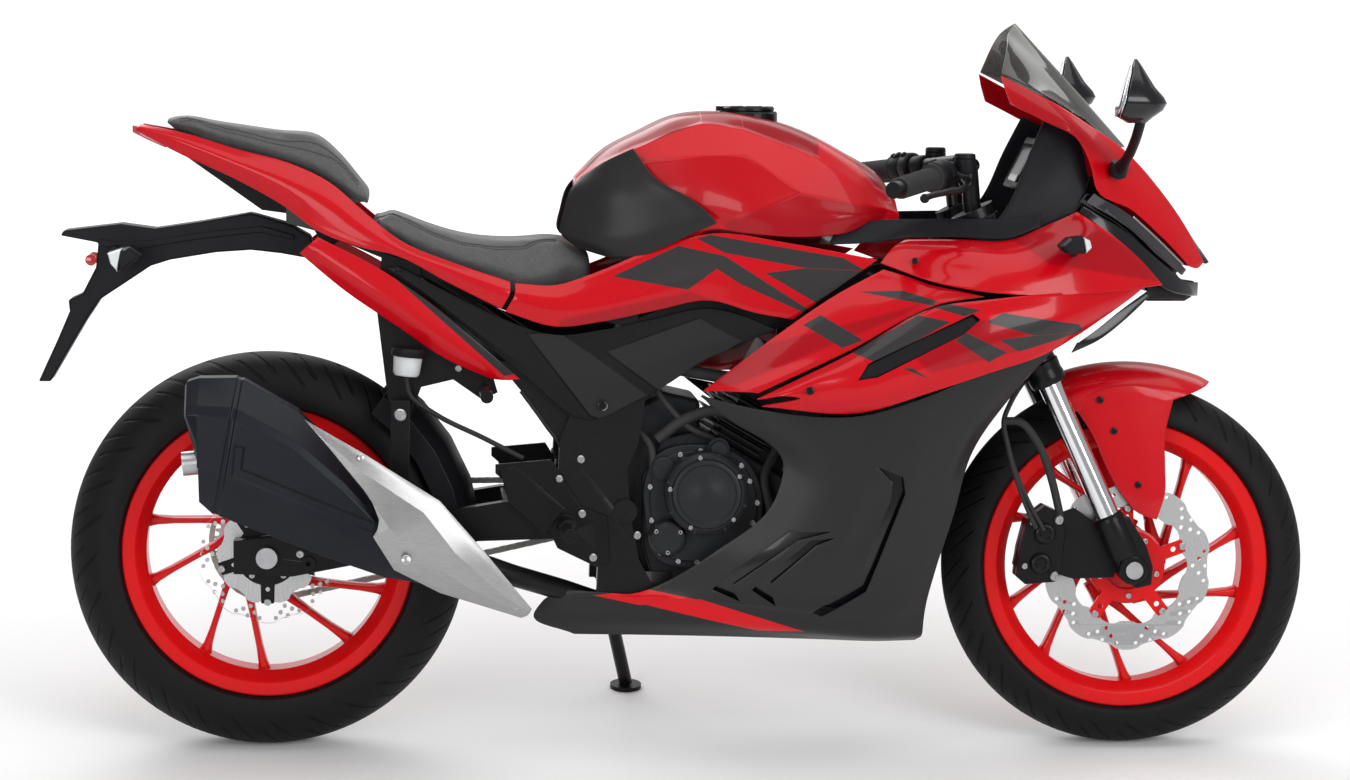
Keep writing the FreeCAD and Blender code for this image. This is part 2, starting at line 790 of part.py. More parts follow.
def fork_leg(name):
    side = -float(fork_half_track)
    leg = rod(name + "_leg", fork_leg_radius, fork_point(0, side), fork_point(fork_tube_low, side))
    sleeve = rod(name + "_sleeve", foot_radius, fork_point(28, side), fork_point(foot_top, side))
    lug = drum(name + "_lug", 0, 0, foot_radius, foot_inner_side, foot_outer_side - foot_inner_side)
    lug.Placement = at_front
    lever = plate(name + "_lever", [(-14, -20), (14, -34), (34, -8), (30, 22), (-4, 30)], foot_inner_side + 6,
                  foot_outer_side - foot_inner_side - 12)
    lever.Placement = at_front
    whole = joined(name + "_solid", leg, sleeve, lug, lever)
    bore = cylinder(name + "_bore", front_axle_radius, 300, FRONT_AXLE - SIDEWAYS * 150, SIDEWAYS)
    return less(name, whole, bore)


keep("fork_legs", both_sides("fork_legs", fork_leg("fork_leg")))


def front_axle_piece():
    reach = float(foot_outer_side) + 4
    shaft = cylinder("front_axle_shaft", front_axle_radius, 2 * reach, FRONT_AXLE - SIDEWAYS * reach, SIDEWAYS)
    pieces = [shaft]
    inner = front_hub_half + disc_thickness + running_gap
    for way in (-1, 1):
        start = FRONT_AXLE + SIDEWAYS * way * float(inner)
        pieces.append(cylinder("axle_spacer", axle_collar_radius, foot_inner_side - inner, start,
                               SIDEWAYS * way))
        pieces.append(cylinder("axle_head", axle_collar_radius, 5, FRONT_AXLE + SIDEWAYS * way *
                               float(foot_outer_side), SIDEWAYS * way))
    return joined("front_axle", *pieces)


keep("front_axle", front_axle_piece())

bar_base = fork_point(fork_tube_top, right_side) + Vector(-7, -3, 76)
bar_end = fork_point(fork_tube_top, right_side)
bar_end = Vector(bar_end.x - 159, -float(bar_end_side), bar_end.z + 46)
bar_line = (bar_end - bar_base).normalize()
bar_span = (bar_end - bar_base).Length


def bar_at(distance):
    """A point of the right bar, from its inner end outwards."""
    return bar_base + bar_line * float(distance)


def handlebar():
    clamp_top = fork_point(fork_tube_top, right_side)
    clamp_low = fork_point(upper_yoke_height + yoke_thickness + running_gap, right_side)
    clamp = rod("bar_clamp", 35, clamp_low, clamp_top)
    tube_hole = rod("bar_clamp_hole", fork_tube_radius, clamp_low, clamp_top)
    riser = rod("bar_riser", 14, clamp_top + FORK_UP * 6, bar_at(6))
    cap = rod("fork_cap", 35, clamp_top, clamp_top + FORK_UP * 8)
    bar = rod("bar_tube", bar_radius, bar_at(-12), bar_at(bar_span))
    weight = rod("bar_weight", 13, bar_at(bar_span - 22), bar_at(bar_span))
    return joined("handlebar", less("bar_clamp_ring", clamp, tube_hole), riser, cap, bar, weight)


keep("handlebars", both_sides("handlebars", handlebar()))


def grip():
    low, high = bar_span - 22.3 - float(grip_length), bar_span - 22.3
    body = rod("grip_body", grip_radius, bar_at(low), bar_at(high))
    flange = rod("grip_flange", 22, bar_at(low), bar_at(low + 6))
    hole = rod("grip_hole", bar_radius, bar_at(low), bar_at(high))
    return less("grip", joined("grip_solid", body, flange), hole)


keep("grips", both_sides("grips", grip()))


def hand_control():
    start = bar_span - 22.6 - float(grip_length)
    housing = rod("switch_housing", 22, bar_at(start - 46), bar_at(start))
    perch = rod("lever_perch", 15, bar_at(start - 74), bar_at(start - 46))
    forward = Vector(0.82, -0.2, -0.25)
    pivot = bar_at(start - 56) + forward * 40
    arm = rod("lever_arm", 9, bar_at(start - 56), pivot)
    inner = bar_at(start - 10) + forward * 58
    outer = bar_at(bar_span - 8) + forward * 52
    tank = cylinder("fluid_tank", 17, 34, pivot + Vector(-5, 11, 6))
    blade = joined("lever_blade", rod("lever_root", 7, pivot, inner), rod("lever_tip", 6, inner, outer))
    solid = joined("hand_control_solid", housing, perch, arm, blade, tank)
    hole = rod("hand_control_hole", bar_radius, bar_at(start - 90), bar_at(start + 5))
    return less("hand_control", solid, hole)


keep("hand_controls", both_sides("hand_controls", hand_control()))


def arc_point(centre, radius, angle, side):
    turn = math.radians(angle)
    return centre + Vector(radius * math.cos(turn), side, radius * math.sin(turn))


def front_mudguard():
    radius = float(front_tyre_radius)
    section = [(-71, radius - 35), (-70, radius - 5), (-55, radius + 15), (-28, radius + 27), (0, radius + 31),
               (28, radius + 27), (55, radius + 15), (70, radius - 5), (71, radius - 35)]
    grid = []
    for angle in (62, 72, 82, 92, 102, 112, 122, 132, 139):
        ease = 12 if angle == 62 else 0
        grid.append([arc_point(FRONT_AXLE, r + (ease if abs(y) > 60 else 0), angle, y) for y, r in section])
    crown = shaped("mudguard_crown", shell_solid(grid, panel_wall, lambda p: FRONT_AXLE - p))
    skirt = plate("mudguard_skirt", [(-60, 262), (-36, 157), (3, 93), (44, 76), (55, 125), (53, 173), (52, 262)],
                  68, panel_wall)
    skirt.Placement = at_front
    tab_block = plate("mudguard_tab_block", [(-82, 154), (-28, 154), (-28, 188), (-82, 188)], 68, 24)
    tab_block.Placement = at_front
    leg_room = rod("mudguard_leg_room", fork_leg_radius + seat_gap, fork_point(0, right_side),
                   fork_point(fork_tube_low, right_side))
    tab = less("mudguard_tab", tab_block, leg_room)
    return joined("front_mudguard", crown, skirt, tab, mirrored("mudguard_skirt_left", skirt),
                  mirrored("mudguard_tab_left", tab))


keep("front_mudguard", front_mudguard())


def front_caliper():
    block = plate("front_caliper_block", [(-182, -18), (-112, -22), (-104, 62), (-128, 96), (-172, 66)], 46, 30)
    gap = float(front_hub_half)
    slot = drum("front_caliper_slot", 0, 0, front_disc_radius + 5, gap - 3, disc_thickness + 6)
    held = less("front_caliper_body", block, slot)
    bracket = plate("front_caliper_bracket", [(-120, -10), (-20, -26), (-20, 8), (-108, 60)], foot_inner_side,
                    5.7)
    hub_room = drum("front_caliper_room", 0, 0, foot_radius + running_gap, foot_inner_side, 5.7)
    solid = joined("front_caliper", held, less("front_caliper_arm", bracket, hub_room))
    for piece in (block, slot, bracket, hub_room):
        piece.Placement = at_front
    return solid


keep("front_caliper", front_caliper())


# Frame and swingarm

spar_side = size("spar_side", 88)
spar_width = size("spar_width", 30)
rail_side = size("rail_side", 68)
rail_width = size("rail_width", 22)
rail_depth = size("rail_depth", 26)
engine_half = size("engine_half", 104)


def frame_spar():
    """The right spar, from the steering head to the swingarm pivot plate."""
    inner, outer = -float(spar_side), -float(spar_side) - float(spar_width)
    head = steering_point(530)
    stations = [((head.x + 6, head.z + 34), (head.x + 22, head.z - 52), -20, -46),
                ((head.x - 40, head.z + 24), (head.x - 30, head.z - 66), -36, -66),
                ((320, 776), (330, 690), inner + 26, outer + 26),
                ((200, 762), (190, 680), inner, outer),
                ((60, 742), (40, 662), inner, outer),
                ((-60, 690), (-60, 612), inner - 8, outer + 4)]
    return beam(stations)


def pivot_plate():
    outline_points = [(-50, 640), (-112, 632), (-150, 580), (-183, 500), (-186, 427), (-159, 404), (-121, 343),
                      (-124, 252), (-34, 250), (-34, 268), (-57, 311), (-70, 375), (-77, 454), (-60, 493),
                      (-50, 560)]
    return plate("pivot_plate", outline_points, engine_half + 3, 22,
                 [(-pivot_back, pivot_height, pivot_radius)])


def pivot_shaft():
    reach = float(engine_half) + 3 + 22
    shaft = cylinder("pivot_shaft", pivot_radius, 2 * reach, PIVOT - SIDEWAYS * reach, SIDEWAYS)
    heads = [cylinder("pivot_nut", 19, 9, PIVOT + SIDEWAYS * way * reach, SIDEWAYS * way) for way in (-1, 1)]
    return [shaft] + heads


shock_cross_radius = size("shock_cross_radius", 15)
SHOCK_TOP = Vector(-74, 0, 654)
SHOCK_LOW = Vector(-180, 0, 418.3)
STAND_PIVOT = Vector(-float(stand_pivot_back), float(stand_pivot_side), float(stand_pivot_height))
STAND_AXIS = Vector(-0.16, 1, 0).normalize()


def stand_bracket():
    """The lug that carries the stand's pin, on the left pivot plate."""
    lug_start = -float(stand_pivot_side) + float(running_gap)
    x, z = STAND_PIVOT.x, STAND_PIVOT.z
    lug_reach = float(stand_lug_thickness) + float(running_gap)
    lug = cylinder("stand_lug", 18, stand_lug_thickness, STAND_PIVOT - STAND_AXIS * lug_reach, STAND_AXIS)
    inner = engine_half + 20
    arm = box("stand_arm", (x - 14, inner, z - 14), (x + 14, -lug_start - 4, z + 14))
    pin = cylinder("stand_pin", stand_pin_radius, stand_lug_thickness + 22,
                   STAND_PIVOT - STAND_AXIS * (float(stand_lug_thickness) + float(running_gap)), STAND_AXIS)
    return [lug, arm, pin]


def main_frame():
    spar = shaped("frame_spar", frame_spar())
    side = pivot_plate()
    low = steering_point(float(lower_yoke_height) + float(yoke_thickness) + 1)
    high = steering_point(float(upper_yoke_height) - 1)
    head = rod("head_tube", head_tube_radius, low, high)
    gusset = rod("head_gusset", 20, steering_point(float(lower_yoke_height) + 50) - FORK_FORWARD * 10,
                 Vector(200, 0, 716))
    cross = cylinder("spar_cross", 14, 2 * (spar_side + spar_width / 2), Vector(150, -float(spar_side) - 15, 720),
                     SIDEWAYS)
    rear_cross = cylinder("rear_cross", shock_cross_radius, 2 * (engine_half + 2),
                          SHOCK_TOP - SIDEWAYS * (float(engine_half) + 2), SIDEWAYS)
    hanger = box("engine_hanger", (176, -96, 588), (216, -79.3, 700))
    lug = box("engine_lug", (-50, -float(engine_half) - 8, 252), (-8, -102.3, 290))
    pieces = [spar, side, hanger, lug]
    solid = joined("frame_solid", *pieces, *[mirrored("left_" + piece.Name, piece) for piece in pieces],
                   head, gusset, cross, rear_cross, *pivot_shaft(), *stand_bracket())
    bore = rod("head_bore", stem_radius + running_gap, low - FORK_UP * 5, high + FORK_UP * 5)
    return less("main_frame", solid, bore)


RAIL_LINE = [(-60.3, 700), (-150, 716), (-255, 722), (-348, 752), (-434, 796), (-560, 848), (-700, 884), (-770, 900)]


def rail_top(x):
    """Height of the subframe rails' upper face at a place along the machine."""
    for (front, front_z), (back, back_z) in zip(RAIL_LINE, RAIL_LINE[1:]):
        if x >= back:
            return front_z + (back_z - front_z) * (x - front) / (back - front)
    return RAIL_LINE[-1][1]


def subframe():
    inner, outer = -float(rail_side), -float(rail_side) - float(rail_width)
    depth = float(rail_depth)
    stations = []
    for x, z in RAIL_LINE:
        narrow = 22 if x < -600 else 0
        if x > -100:
            narrow = -14
        stations.append(((x, z), (x, z - depth), inner + narrow, outer + narrow))
    rail = shaped("subframe_rail", beam(stations))
    brace = rod("subframe_brace", 11, Vector(-96, -94.5, 560), Vector(-420, -float(rail_side) - 9, 773))
    joins = []
    for x in (-255, -500, -690, -758):
        side = float(rail_side) + 4 - (22 if x < -600 else 0)
        joins.append(cylinder("subframe_cross", 9, 2 * side, Vector(x, -side, rail_top(x) - 13), SIDEWAYS))
    return joined("subframe", rail, mirrored("subframe_rail_left", rail), brace,
                  mirrored("subframe_brace_left", brace), *joins)


bobbin_lug_radius = size("bobbin_lug_radius", 11)
bobbin_lug_height = size("bobbin_lug_height", 6)
bobbin_hole_radius = size("bobbin_hole_radius", 4)
bobbin_hole_depth = size("bobbin_hole_depth", 16)
BOBBIN = Vector(-575, -float(arm_inner_side) - float(arm_width) - float(bobbin_lug_height), 305)


def swingarm():
    inner = float(arm_inner_side)
    outer = inner + float(arm_width)
    axle_x, axle_z = REAR_AXLE.x, REAR_AXLE.z
    arm = plate("swingarm_side", [(axle_x - 52, axle_z - 26), (axle_x - 52, axle_z + 26),
                                  (axle_x + 40, axle_z + 34), (PIVOT.x - 190, PIVOT.z + 14),
                                  (PIVOT.x - 112, PIVOT.z + 14), (PIVOT.x - 112, PIVOT.z - 44),
                                  (PIVOT.x - 230, PIVOT.z - 48), (axle_x + 40, axle_z - 30)],
                inner, outer - inner, [(-rear_axle_back, rear_tyre_radius, rear_axle_radius)])
    cross = box("swingarm_cross", (-pivot_back - 190, -arm_inner_side, pivot_height - 44),
                (-pivot_back - 50, arm_inner_side, pivot_height + 12))
    barrel_half = engine_half + 3 - running_gap
    barrel = cylinder("swingarm_barrel", 19, 2 * barrel_half, PIVOT - SIDEWAYS * float(barrel_half), SIDEWAYS)
    web = box("swingarm_web", (-pivot_back - 60, -engine_half + 10, pivot_height - 19),
              (-pivot_back, engine_half - 10, pivot_height + 10))
    hole = cylinder("swingarm_bore", pivot_radius, 400, PIVOT - SIDEWAYS * 200, SIDEWAYS)
    lug = cylinder("bobbin_lug", bobbin_lug_radius, bobbin_lug_height + 4, BOBBIN, SIDEWAYS)
    thread = cylinder("bobbin_hole", bobbin_hole_radius, bobbin_hole_depth, BOBBIN, SIDEWAYS)
    holes = joined("swingarm_holes", hole, thread, mirrored("bobbin_hole_left", thread))
    solid = joined("swingarm_solid", arm, mirrored("swingarm_side_left", arm), cross, web, barrel, lug,
                   mirrored("bobbin_lug_left", lug))
    return less("swingarm", solid, holes)


rear_spacer_radius = size("rear_spacer_radius", 15)


def rear_axle():
    reach = float(arm_inner_side) + float(arm_width)
    shaft = cylinder("rear_axle_shaft", rear_axle_radius, 2 * reach, REAR_AXLE - SIDEWAYS * reach, SIDEWAYS)
    pieces = [shaft]
    inner = rear_hub_half + sprocket_thickness + running_gap
    for way in (-1, 1):
        pieces.append(cylinder("rear_axle_nut", 17, 12, REAR_AXLE + SIDEWAYS * way * reach, SIDEWAYS * way))
        pieces.append(cylinder("rear_spacer", rear_spacer_radius, arm_inner_side - inner,
                               REAR_AXLE + SIDEWAYS * way * float(inner), SIDEWAYS * way))
    return joined("rear_axle", *pieces)


def rear_shock():
    span = SHOCK_LOW - SHOCK_TOP
    body = rod("shock_body", 15, SHOCK_TOP, SHOCK_LOW)
    spring = rod("shock_spring", 34, SHOCK_TOP + span * 0.22, SHOCK_TOP + span * 0.82)
    eye = cylinder("shock_eye", 18, 44, SHOCK_LOW - SIDEWAYS * 22, SIDEWAYS)
    collar = cylinder("shock_collar", 25, 36, SHOCK_TOP - SIDEWAYS * 18, SIDEWAYS)
    room = cylinder("shock_room", shock_cross_radius + seat_gap, 80, SHOCK_TOP - SIDEWAYS * 40, SIDEWAYS)
    return less("rear_shock", joined("shock_solid", body, spring, eye, collar), room)


frame_node = keep("main_frame", main_frame())
subframe_node = keep("subframe", subframe())
keep("swingarm", swingarm())
keep("rear_axle", rear_axle())
keep("rear_shock", rear_shock())


def rear_caliper():
    gap = float(rear_hub_half)
    block = plate("rear_caliper_block", [(62, 60), (128, 34), (140, 84), (78, 112)], gap - 16, 36)
    slot = drum("rear_caliper_slot", 0, 0, rear_disc_radius + 5, gap - 3, disc_thickness + 6)
    bracket = plate("rear_caliper_bracket", [(-22, -22), (22, -24), (100, 20), (128, 34), (90, 60), (20, 34),
                                             (-22, 22)], arm_inner_side - 7, 7 - seat_gap,
                    [(0, 0, rear_spacer_radius + seat_gap)])
    for piece in (block, slot, bracket):
        piece.Placement = at_rear
    return joined("rear_caliper", less("rear_caliper_body", block, slot), bracket)


keep("rear_caliper", rear_caliper())


def hugger():
    radius = float(rear_tyre_radius)
    section = [(-80, radius - 40), (-79, radius - 6), (-58, radius + 14), (0, radius + 26), (58, radius + 14),
               (79, radius - 6), (80, radius - 40)]
    grid = [[arc_point(REAR_AXLE, r, angle, y) for y, r in section] for angle in (8, 20, 32, 44, 54)]
    shell = shaped("hugger_shell", shell_solid(grid, panel_wall, lambda p: REAR_AXLE - p))
    chain_room = box("chain_room", (-640.0, 66, 300.0), (-200.0, 110.0, 436.0))
    tab = box("hugger_tab", (-307, -30, 352), (-pivot_back - 190 - seat_gap, 30, 368))
    return joined("hugger", less("hugger_guard", shell, chain_room), tab)


keep("hugger", hugger())

# Engine and exhaust


def engine_case():
    case = plate("engine_block", [(-52, 440), (-50, 330), (-34, 276), (40, 250), (170, 252), (214, 306),
                                  (212, 415.3), (40, 514.6), (-20, 500)], -engine_half + 2, engine_half * 2 - 4)
    left = drum("generator_cover", 60, 388, 72, -160, 62)
    front = FRONT_SPROCKET
    room = box("sprocket_room", (front.x - 60, 74, front.z - 44), (front.x + 42, 94, front.z + 44))
    return less("engine_case", joined("engine_case_solid", case, left), room)


def cylinder_block():
    """The cylinder and its head, leaning forwards, with cooling ribs."""
    start = Vector(118, 0, 470)
    up = Vector(0.5, 0, 0.866)
    turn = Rotation(SIDEWAYS, math.degrees(math.atan2(up.x, up.z)))
    pieces = []
    for low, high, length, width in ((0, 92, 116, 132), (92, 168, 136, 158)):
        block = doc.addObject("Part::Box", "cylinder_stage")
        block.Length, block.Width, block.Height = length, width, high - low
        block.Placement = Placement(start + up * low, turn).multiply(
            Placement(Vector(-length / 2, -width / 2, 0), Rotation()))
        pieces.append(block)
    for i in range(4):
        rib = doc.addObject("Part::Box", "cylinder_rib")
        rib.Length, rib.Width, rib.Height = 136, 152, 4
        rib.Placement = Placement(start + up * (22 + 18 * i), turn).multiply(
            Placement(Vector(-68, -76, 0), Rotation()))
        pieces.append(rib)
    return joined("cylinder_head", *pieces)


def clutch_cover():
    plate_body = plate("clutch_plate", [(-46, 360), (-30, 310), (30, 296), (118, 330), (140, 400), (112, 470),
                                        (40, 494), (-30, 478), (-50, 430)], engine_half - 2, 28)
    dome = drum("clutch_dome", 46, 419, 66, engine_half + 26, 44)
    cap = drum("clutch_cap", 46, 419, 52, engine_half + 70, 10)
    pump = drum("pump_cover", -14, 348, 24, engine_half + 26, 26)
    return joined("clutch_cover", plate_body, dome, cap, pump)


keep("engine_case", engine_case())
keep("cylinder_head", cylinder_block())
keep("clutch_cover", clutch_cover())


def radiator():
    core = box("radiator_core", (338, -150, 440), (366, 150, 640))
    tanks = [box("radiator_tank", (334, low, 436), (370, low + 26, 644)) for low in (-176, 150)]
    solid = joined("radiator_solid", core, *tanks)
    post = peg(7, solid, frame_node, (352, -72, 760), (0, 0, -1))
    return joined("radiator", solid, post, mirrored("radiator_post_left", post))


radiator_node = keep("radiator", radiator())

pipe_radius = size("pipe_radius", 17)
PIPE_ROUTE = [(242.4, 0, 548.3), (274, 0, 530), (296, -10, 470), (296, -24, 390), (284, -46, 306),
              (218, -62, 240), (90, -70, 226), (-36, -74, 226), (-110, -80, 236), (-176, -106, 260),
              (-250, -156, 288), (-340, -186, 318), (-403, -186, 318)]
keep("exhaust_pipe", shaped("exhaust_pipe", bent_tube(PIPE_ROUTE, pipe_radius)))


def oval(x, low, high, inner, outer, corner=0.8):
    """A rounded ring across the machine, on its right side, between two heights and two sides."""
    ring = []
    for i in range(16):
        turn = 2 * math.pi * (i + 0.5) / 16
        c, s = math.cos(turn), math.sin(turn)
        across = math.copysign(abs(c) ** corner, c)
        up = math.copysign(abs(s) ** corner, s)
        ring.append(Vector(x, -((inner + outer) / 2 + across * (outer - inner) / 2),
                           (low + high) / 2 + up * (high - low) / 2))
    return ring


hanger_side = size("hanger_side", 132)
muffler_inner = size("muffler_inner", 142)
muffler_outer = size("muffler_outer", 250)


def muffler():
    inner, outer = float(muffler_inner), float(muffler_outer)
    rings = [oval(-764, 428, 590, inner + 12, outer - 10, 0.6), oval(-750, 414, 602, inner, outer, 0.6),
             oval(-690, 388, 602, inner, outer, 0.6), oval(-600, 350, 552, inner, outer, 0.6),
             oval(-520, 318, 476, inner + 4, outer, 0.7), oval(-455, 294, 396, inner + 14, outer - 8),
             oval(-403.3, 284, 352, inner + 22, outer - 30, 1.0)]
    strap_side = hanger_side + seat_gap
    strap = plate("muffler_strap", [(-448, 350), (-418, 350), (-418, 560), (-448, 560)], strap_side, 8)
    foot = box("muffler_strap_foot", (-450, -172, 344), (-420, -strap_side, 376))
    return joined("muffler", shaped("muffler_body", ring_solid(rings)), strap, foot)


muffler_node = keep("muffler", muffler())

SHIELD_ROWS = [
    [(-600, 250, 548), (-548, 250, 518), (-456, 240, 462), (-371, 228, 404), (-316, 220, 342), (-226, 196, 276)],
    [(-570, 254, 512), (-505, 254, 466), (-450, 250, 410), (-390, 236, 362), (-330, 222, 312), (-230, 198, 262)],
    [(-509, 254, 452), (-480, 254, 400), (-468, 250, 350), (-432, 240, 307), (-340, 221, 284), (-238, 199, 250)]]
shield_sheet = shaped("shield_sheet", skin(SHIELD_ROWS, -float(panel_wall)))
keep("heat_shield", pegged("heat_shield", shield_sheet, muffler_node, 6, (-485, -100, 412), (-440, -100, 350)))

# Footrests, stand


def rider_bracket():
    points = [(-150, 396), (-196, 470), (-284, 462), (-284, 448), (-214, 388), (-186, 330), (-124, 300),
              (-104, 308), (-108, 380)]
    return plate("rider_bracket_plate", points, engine_half + 25.3, 7)


peg_radius = size("peg_radius", 11)
peg_length = size("peg_length", 82)


def rider_footrest():
    bracket = rider_bracket()
    start = engine_half + 25.3
    mount = drum("peg_mount", -172, 366, 15, start, 62)
    rest = drum("rider_peg", -172, 366, peg_radius, start + 62, peg_length)
    heel = plate("heel_guard", [(-278, 456), (-252, 458), (-176, 392), (-206, 352), (-262, 400)],
                 start + 7, 4)
    return joined("rider_footrest", bracket, mount, rest, heel)


keep("rider_footrests", both_sides("rider_footrests", rider_footrest()))


bracket_side = rail_side + rail_width + seat_gap
bracket_thickness = size("bracket_thickness", 10)


def pillion_bracket():
    points = [(-462, 790), (-470, 700), (-452, 560), (-446, 530), (-418, 530), (-400, 580), (-350, 592),
              (-304, 560), (-280, 572), (-286, 592), (-340, 622), (-392, 690), (-404, 772)]
    return plate("pillion_bracket_plate", points, bracket_side, bracket_thickness)


def pillion_footrest():
    rest = drum("pillion_peg", -300, 576, 10, bracket_side, 138)
    lug = drum("hanger_lug", -432, 546, 14, bracket_side, hanger_side - bracket_side)
    return joined("pillion_footrest", pillion_bracket(), rest, lug)


pillion_brackets = keep("pillion_footrests", both_sides("pillion_footrests", pillion_footrest()))
reservoir_side = bracket_side + bracket_thickness + seat_gap
keep("brake_reservoir", drum("brake_reservoir", -422, 636, 20, reservoir_side, 146 - reservoir_side))


def ground_height(side):
    """Height of the leaned floor in the upright frame, at a distance to the left of the middle."""
    rise = float(rear_tyre_width) / 2 * (1 - math.cos(math.radians(float(lean))))
    return (side * math.sin(math.radians(float(lean))) - rise) / math.cos(math.radians(float(lean)))


def stand_foot():
    side = float(stand_foot_side)
    return Vector(STAND_PIVOT.x + float(stand_foot_forward), side, ground_height(side))


def side_stand():
    foot = stand_foot()
    floor_up = Vector(0, -math.sin(math.radians(float(lean))), math.cos(math.radians(float(lean))))
    shoe = cylinder("stand_shoe", stand_foot_radius, stand_foot_thickness, foot, floor_up)
    head = cylinder("stand_head", 17, 20, STAND_PIVOT, STAND_AXIS)
    leg = rod("stand_leg", stand_leg_radius, STAND_PIVOT + STAND_AXIS * 14 - Vector(0, 0, 8),
              foot + floor_up * (float(stand_foot_thickness) + 2))
    hole = cylinder("stand_hole", stand_pin_radius + running_gap, 40, STAND_PIVOT - STAND_AXIS * 10, STAND_AXIS)
    return less("side_stand", joined("side_stand_solid", shoe, leg, head), hole)


keep("side_stand", side_stand())

# Tank, seats and covers

TANK_RINGS = [
    (-158, [(0, 908), (40, 906), (54, 900), (60, 880), (60, 830), (52, 800), (0, 800)]),
    (-110, [(0, 953), (60, 950), (88, 936), (100, 910), (104, 850), (96, 800), (0, 800)]),
    (-60, [(0, 980), (66, 976), (100, 958), (112, 930), (118, 862), (108, 800), (0, 800)]),
    (0, [(0, 1006), (70, 1003), (104, 986), (126, 940), (132, 872), (118, 800), (0, 800)]),
    (50, [(0, 1013), (72, 1010), (106, 996), (132, 946), (140, 862), (132, 831), (0, 800)]),
    (100, [(0, 1011), (72, 1006), (107, 985), (136, 944), (154, 852), (146, 827), (0, 800)]),
    (190, [(0, 990), (74, 980), (108, 951), (146, 890), (156, 856), (156, 822), (0, 800)]),
    (270, [(0, 951), (66, 940), (100, 913), (136, 875), (150, 856), (142, 828), (0, 806)]),
    (330, [(0, 912), (50, 900), (80, 876), (100, 864), (104, 856), (108, 840), (0, 816)]),
    (352, [(0, 880), (40, 874), (60, 864), (78, 858), (84, 852), (86, 842), (0, 826)])]
cap_forward = size("cap_forward", 118)
cap_radius = size("cap_radius", 42)
cap_height = size("cap_height", 8)
cap_seat_height = size("cap_seat_height", 1014)
cap_hinge_radius = size("cap_hinge_radius", 5)


def tank():
    shell = shaped("tank_shell", ring_solid([whole_ring(x, half) for x, half in TANK_RINGS]))
    neck = cylinder("tank_neck", cap_radius + 5, 34, Vector(float(cap_forward), 0, float(cap_seat_height) - 34))
    solid = joined("tank_solid", shell, neck)
    post = peg(9, shell, frame_node, (60, -100, 700), (0, 0, 1))
    return joined("fuel_tank", solid, post, mirrored("tank_post_left", post))


CAP_HINGE = Vector(float(cap_forward) - float(cap_radius) - 9, 0,
                   float(cap_seat_height) + float(running_gap) + float(cap_hinge_radius))


def fuel_cap():
    base = Vector(float(cap_forward), 0, float(cap_seat_height) + float(running_gap))
    lid = cylinder("cap_lid", cap_radius, cap_height, base)
    back = cap_forward - cap_radius
    ear = box("cap_ear", (back - 9, -7, cap_seat_height + running_gap), (back + 4, 7, cap_seat_height + cap_height))
    hinge = cylinder("cap_hinge", cap_hinge_radius, 14, CAP_HINGE - SIDEWAYS * 7, SIDEWAYS)
    return joined("fuel_cap", lid, ear, hinge)


tank_node = keep("fuel_tank", tank())
keep("fuel_cap", fuel_cap())

KNEE_ROWS = [
    [(-150, 66, 911), (-114, 96, 936), (-72, 116, 957)],
    [(-168, 72, 889), (-115, 114, 895), (-38, 136, 912)],
    [(-178, 74, 855), (-107, 121, 853), (30, 149, 871)],
    [(-183, 72, 823), (-119, 116, 809), (50, 152, 852)],
    [(-155, 84, 798), (-94, 116, 784), (58, 150, 842)]]
knee_sheet = shaped("knee_sheet", skin(KNEE_ROWS, panel_wall))
keep("knee_panels", both_sides("knee_panels", pegged("knee_panel", knee_sheet, tank_node, 5, (-20, 0, 885))))

SEAT_STATIONS = [(-478, 862, 98, 862 - 14), (-434, 848, 104, 817), (-386, 830, 110, 798), (-339, 817, 114, 778),
                 (-291, 811, 116, 764), (-243, 811, 115, 750), (-200, 817, 108, 750), (-166, 822, 62, 764)]


def rider_seat():
    rings = []
    for x, top, side, edge in SEAT_STATIONS:
        low = rail_top(x) + 2 * float(seat_gap)
        rings.append(whole_ring(x, [(0, top), (side * 0.6, top - 2), (side * 0.88, top - 9), (side, edge + 6),
                                    (side - 2, edge + 1), (side - 22, edge - 6), (side - 30, low),
                                    (0, low)]))
    return ring_solid(rings)


PILLION_STATIONS = [(-805, 994, 44, 989), (-789, 999, 54, 987), (-718, 991, 72, 967), (-624, 978, 84, 942),
                    (-566, 972, 92, 920), (-529, 941, 97, 895), (-506, 913, 98, 876), (-484, 886, 98, 864)]


def pillion_seat():
    rings = []
    for x, top, side, edge in PILLION_STATIONS:
        rings.append(whole_ring(x, [(0, top), (side * 0.6, top - 2), (side * 0.88, top - 7), (side, edge + 3),
                                    (side - 4, edge - 3), (side * 0.6, edge - 9), (0, edge - 9)]))
    return ring_solid(rings)


keep("rider_seat", shaped("rider_seat", rider_seat()))
pillion_cushion = shaped("pillion_cushion", pillion_seat())
pillion_post = peg(8, pillion_cushion, subframe_node, (-690, -54, 860), (0, 0, 1))
keep("pillion_seat", joined("pillion_seat", pillion_cushion, pillion_post,
                            mirrored("pillion_post_left", pillion_post)))

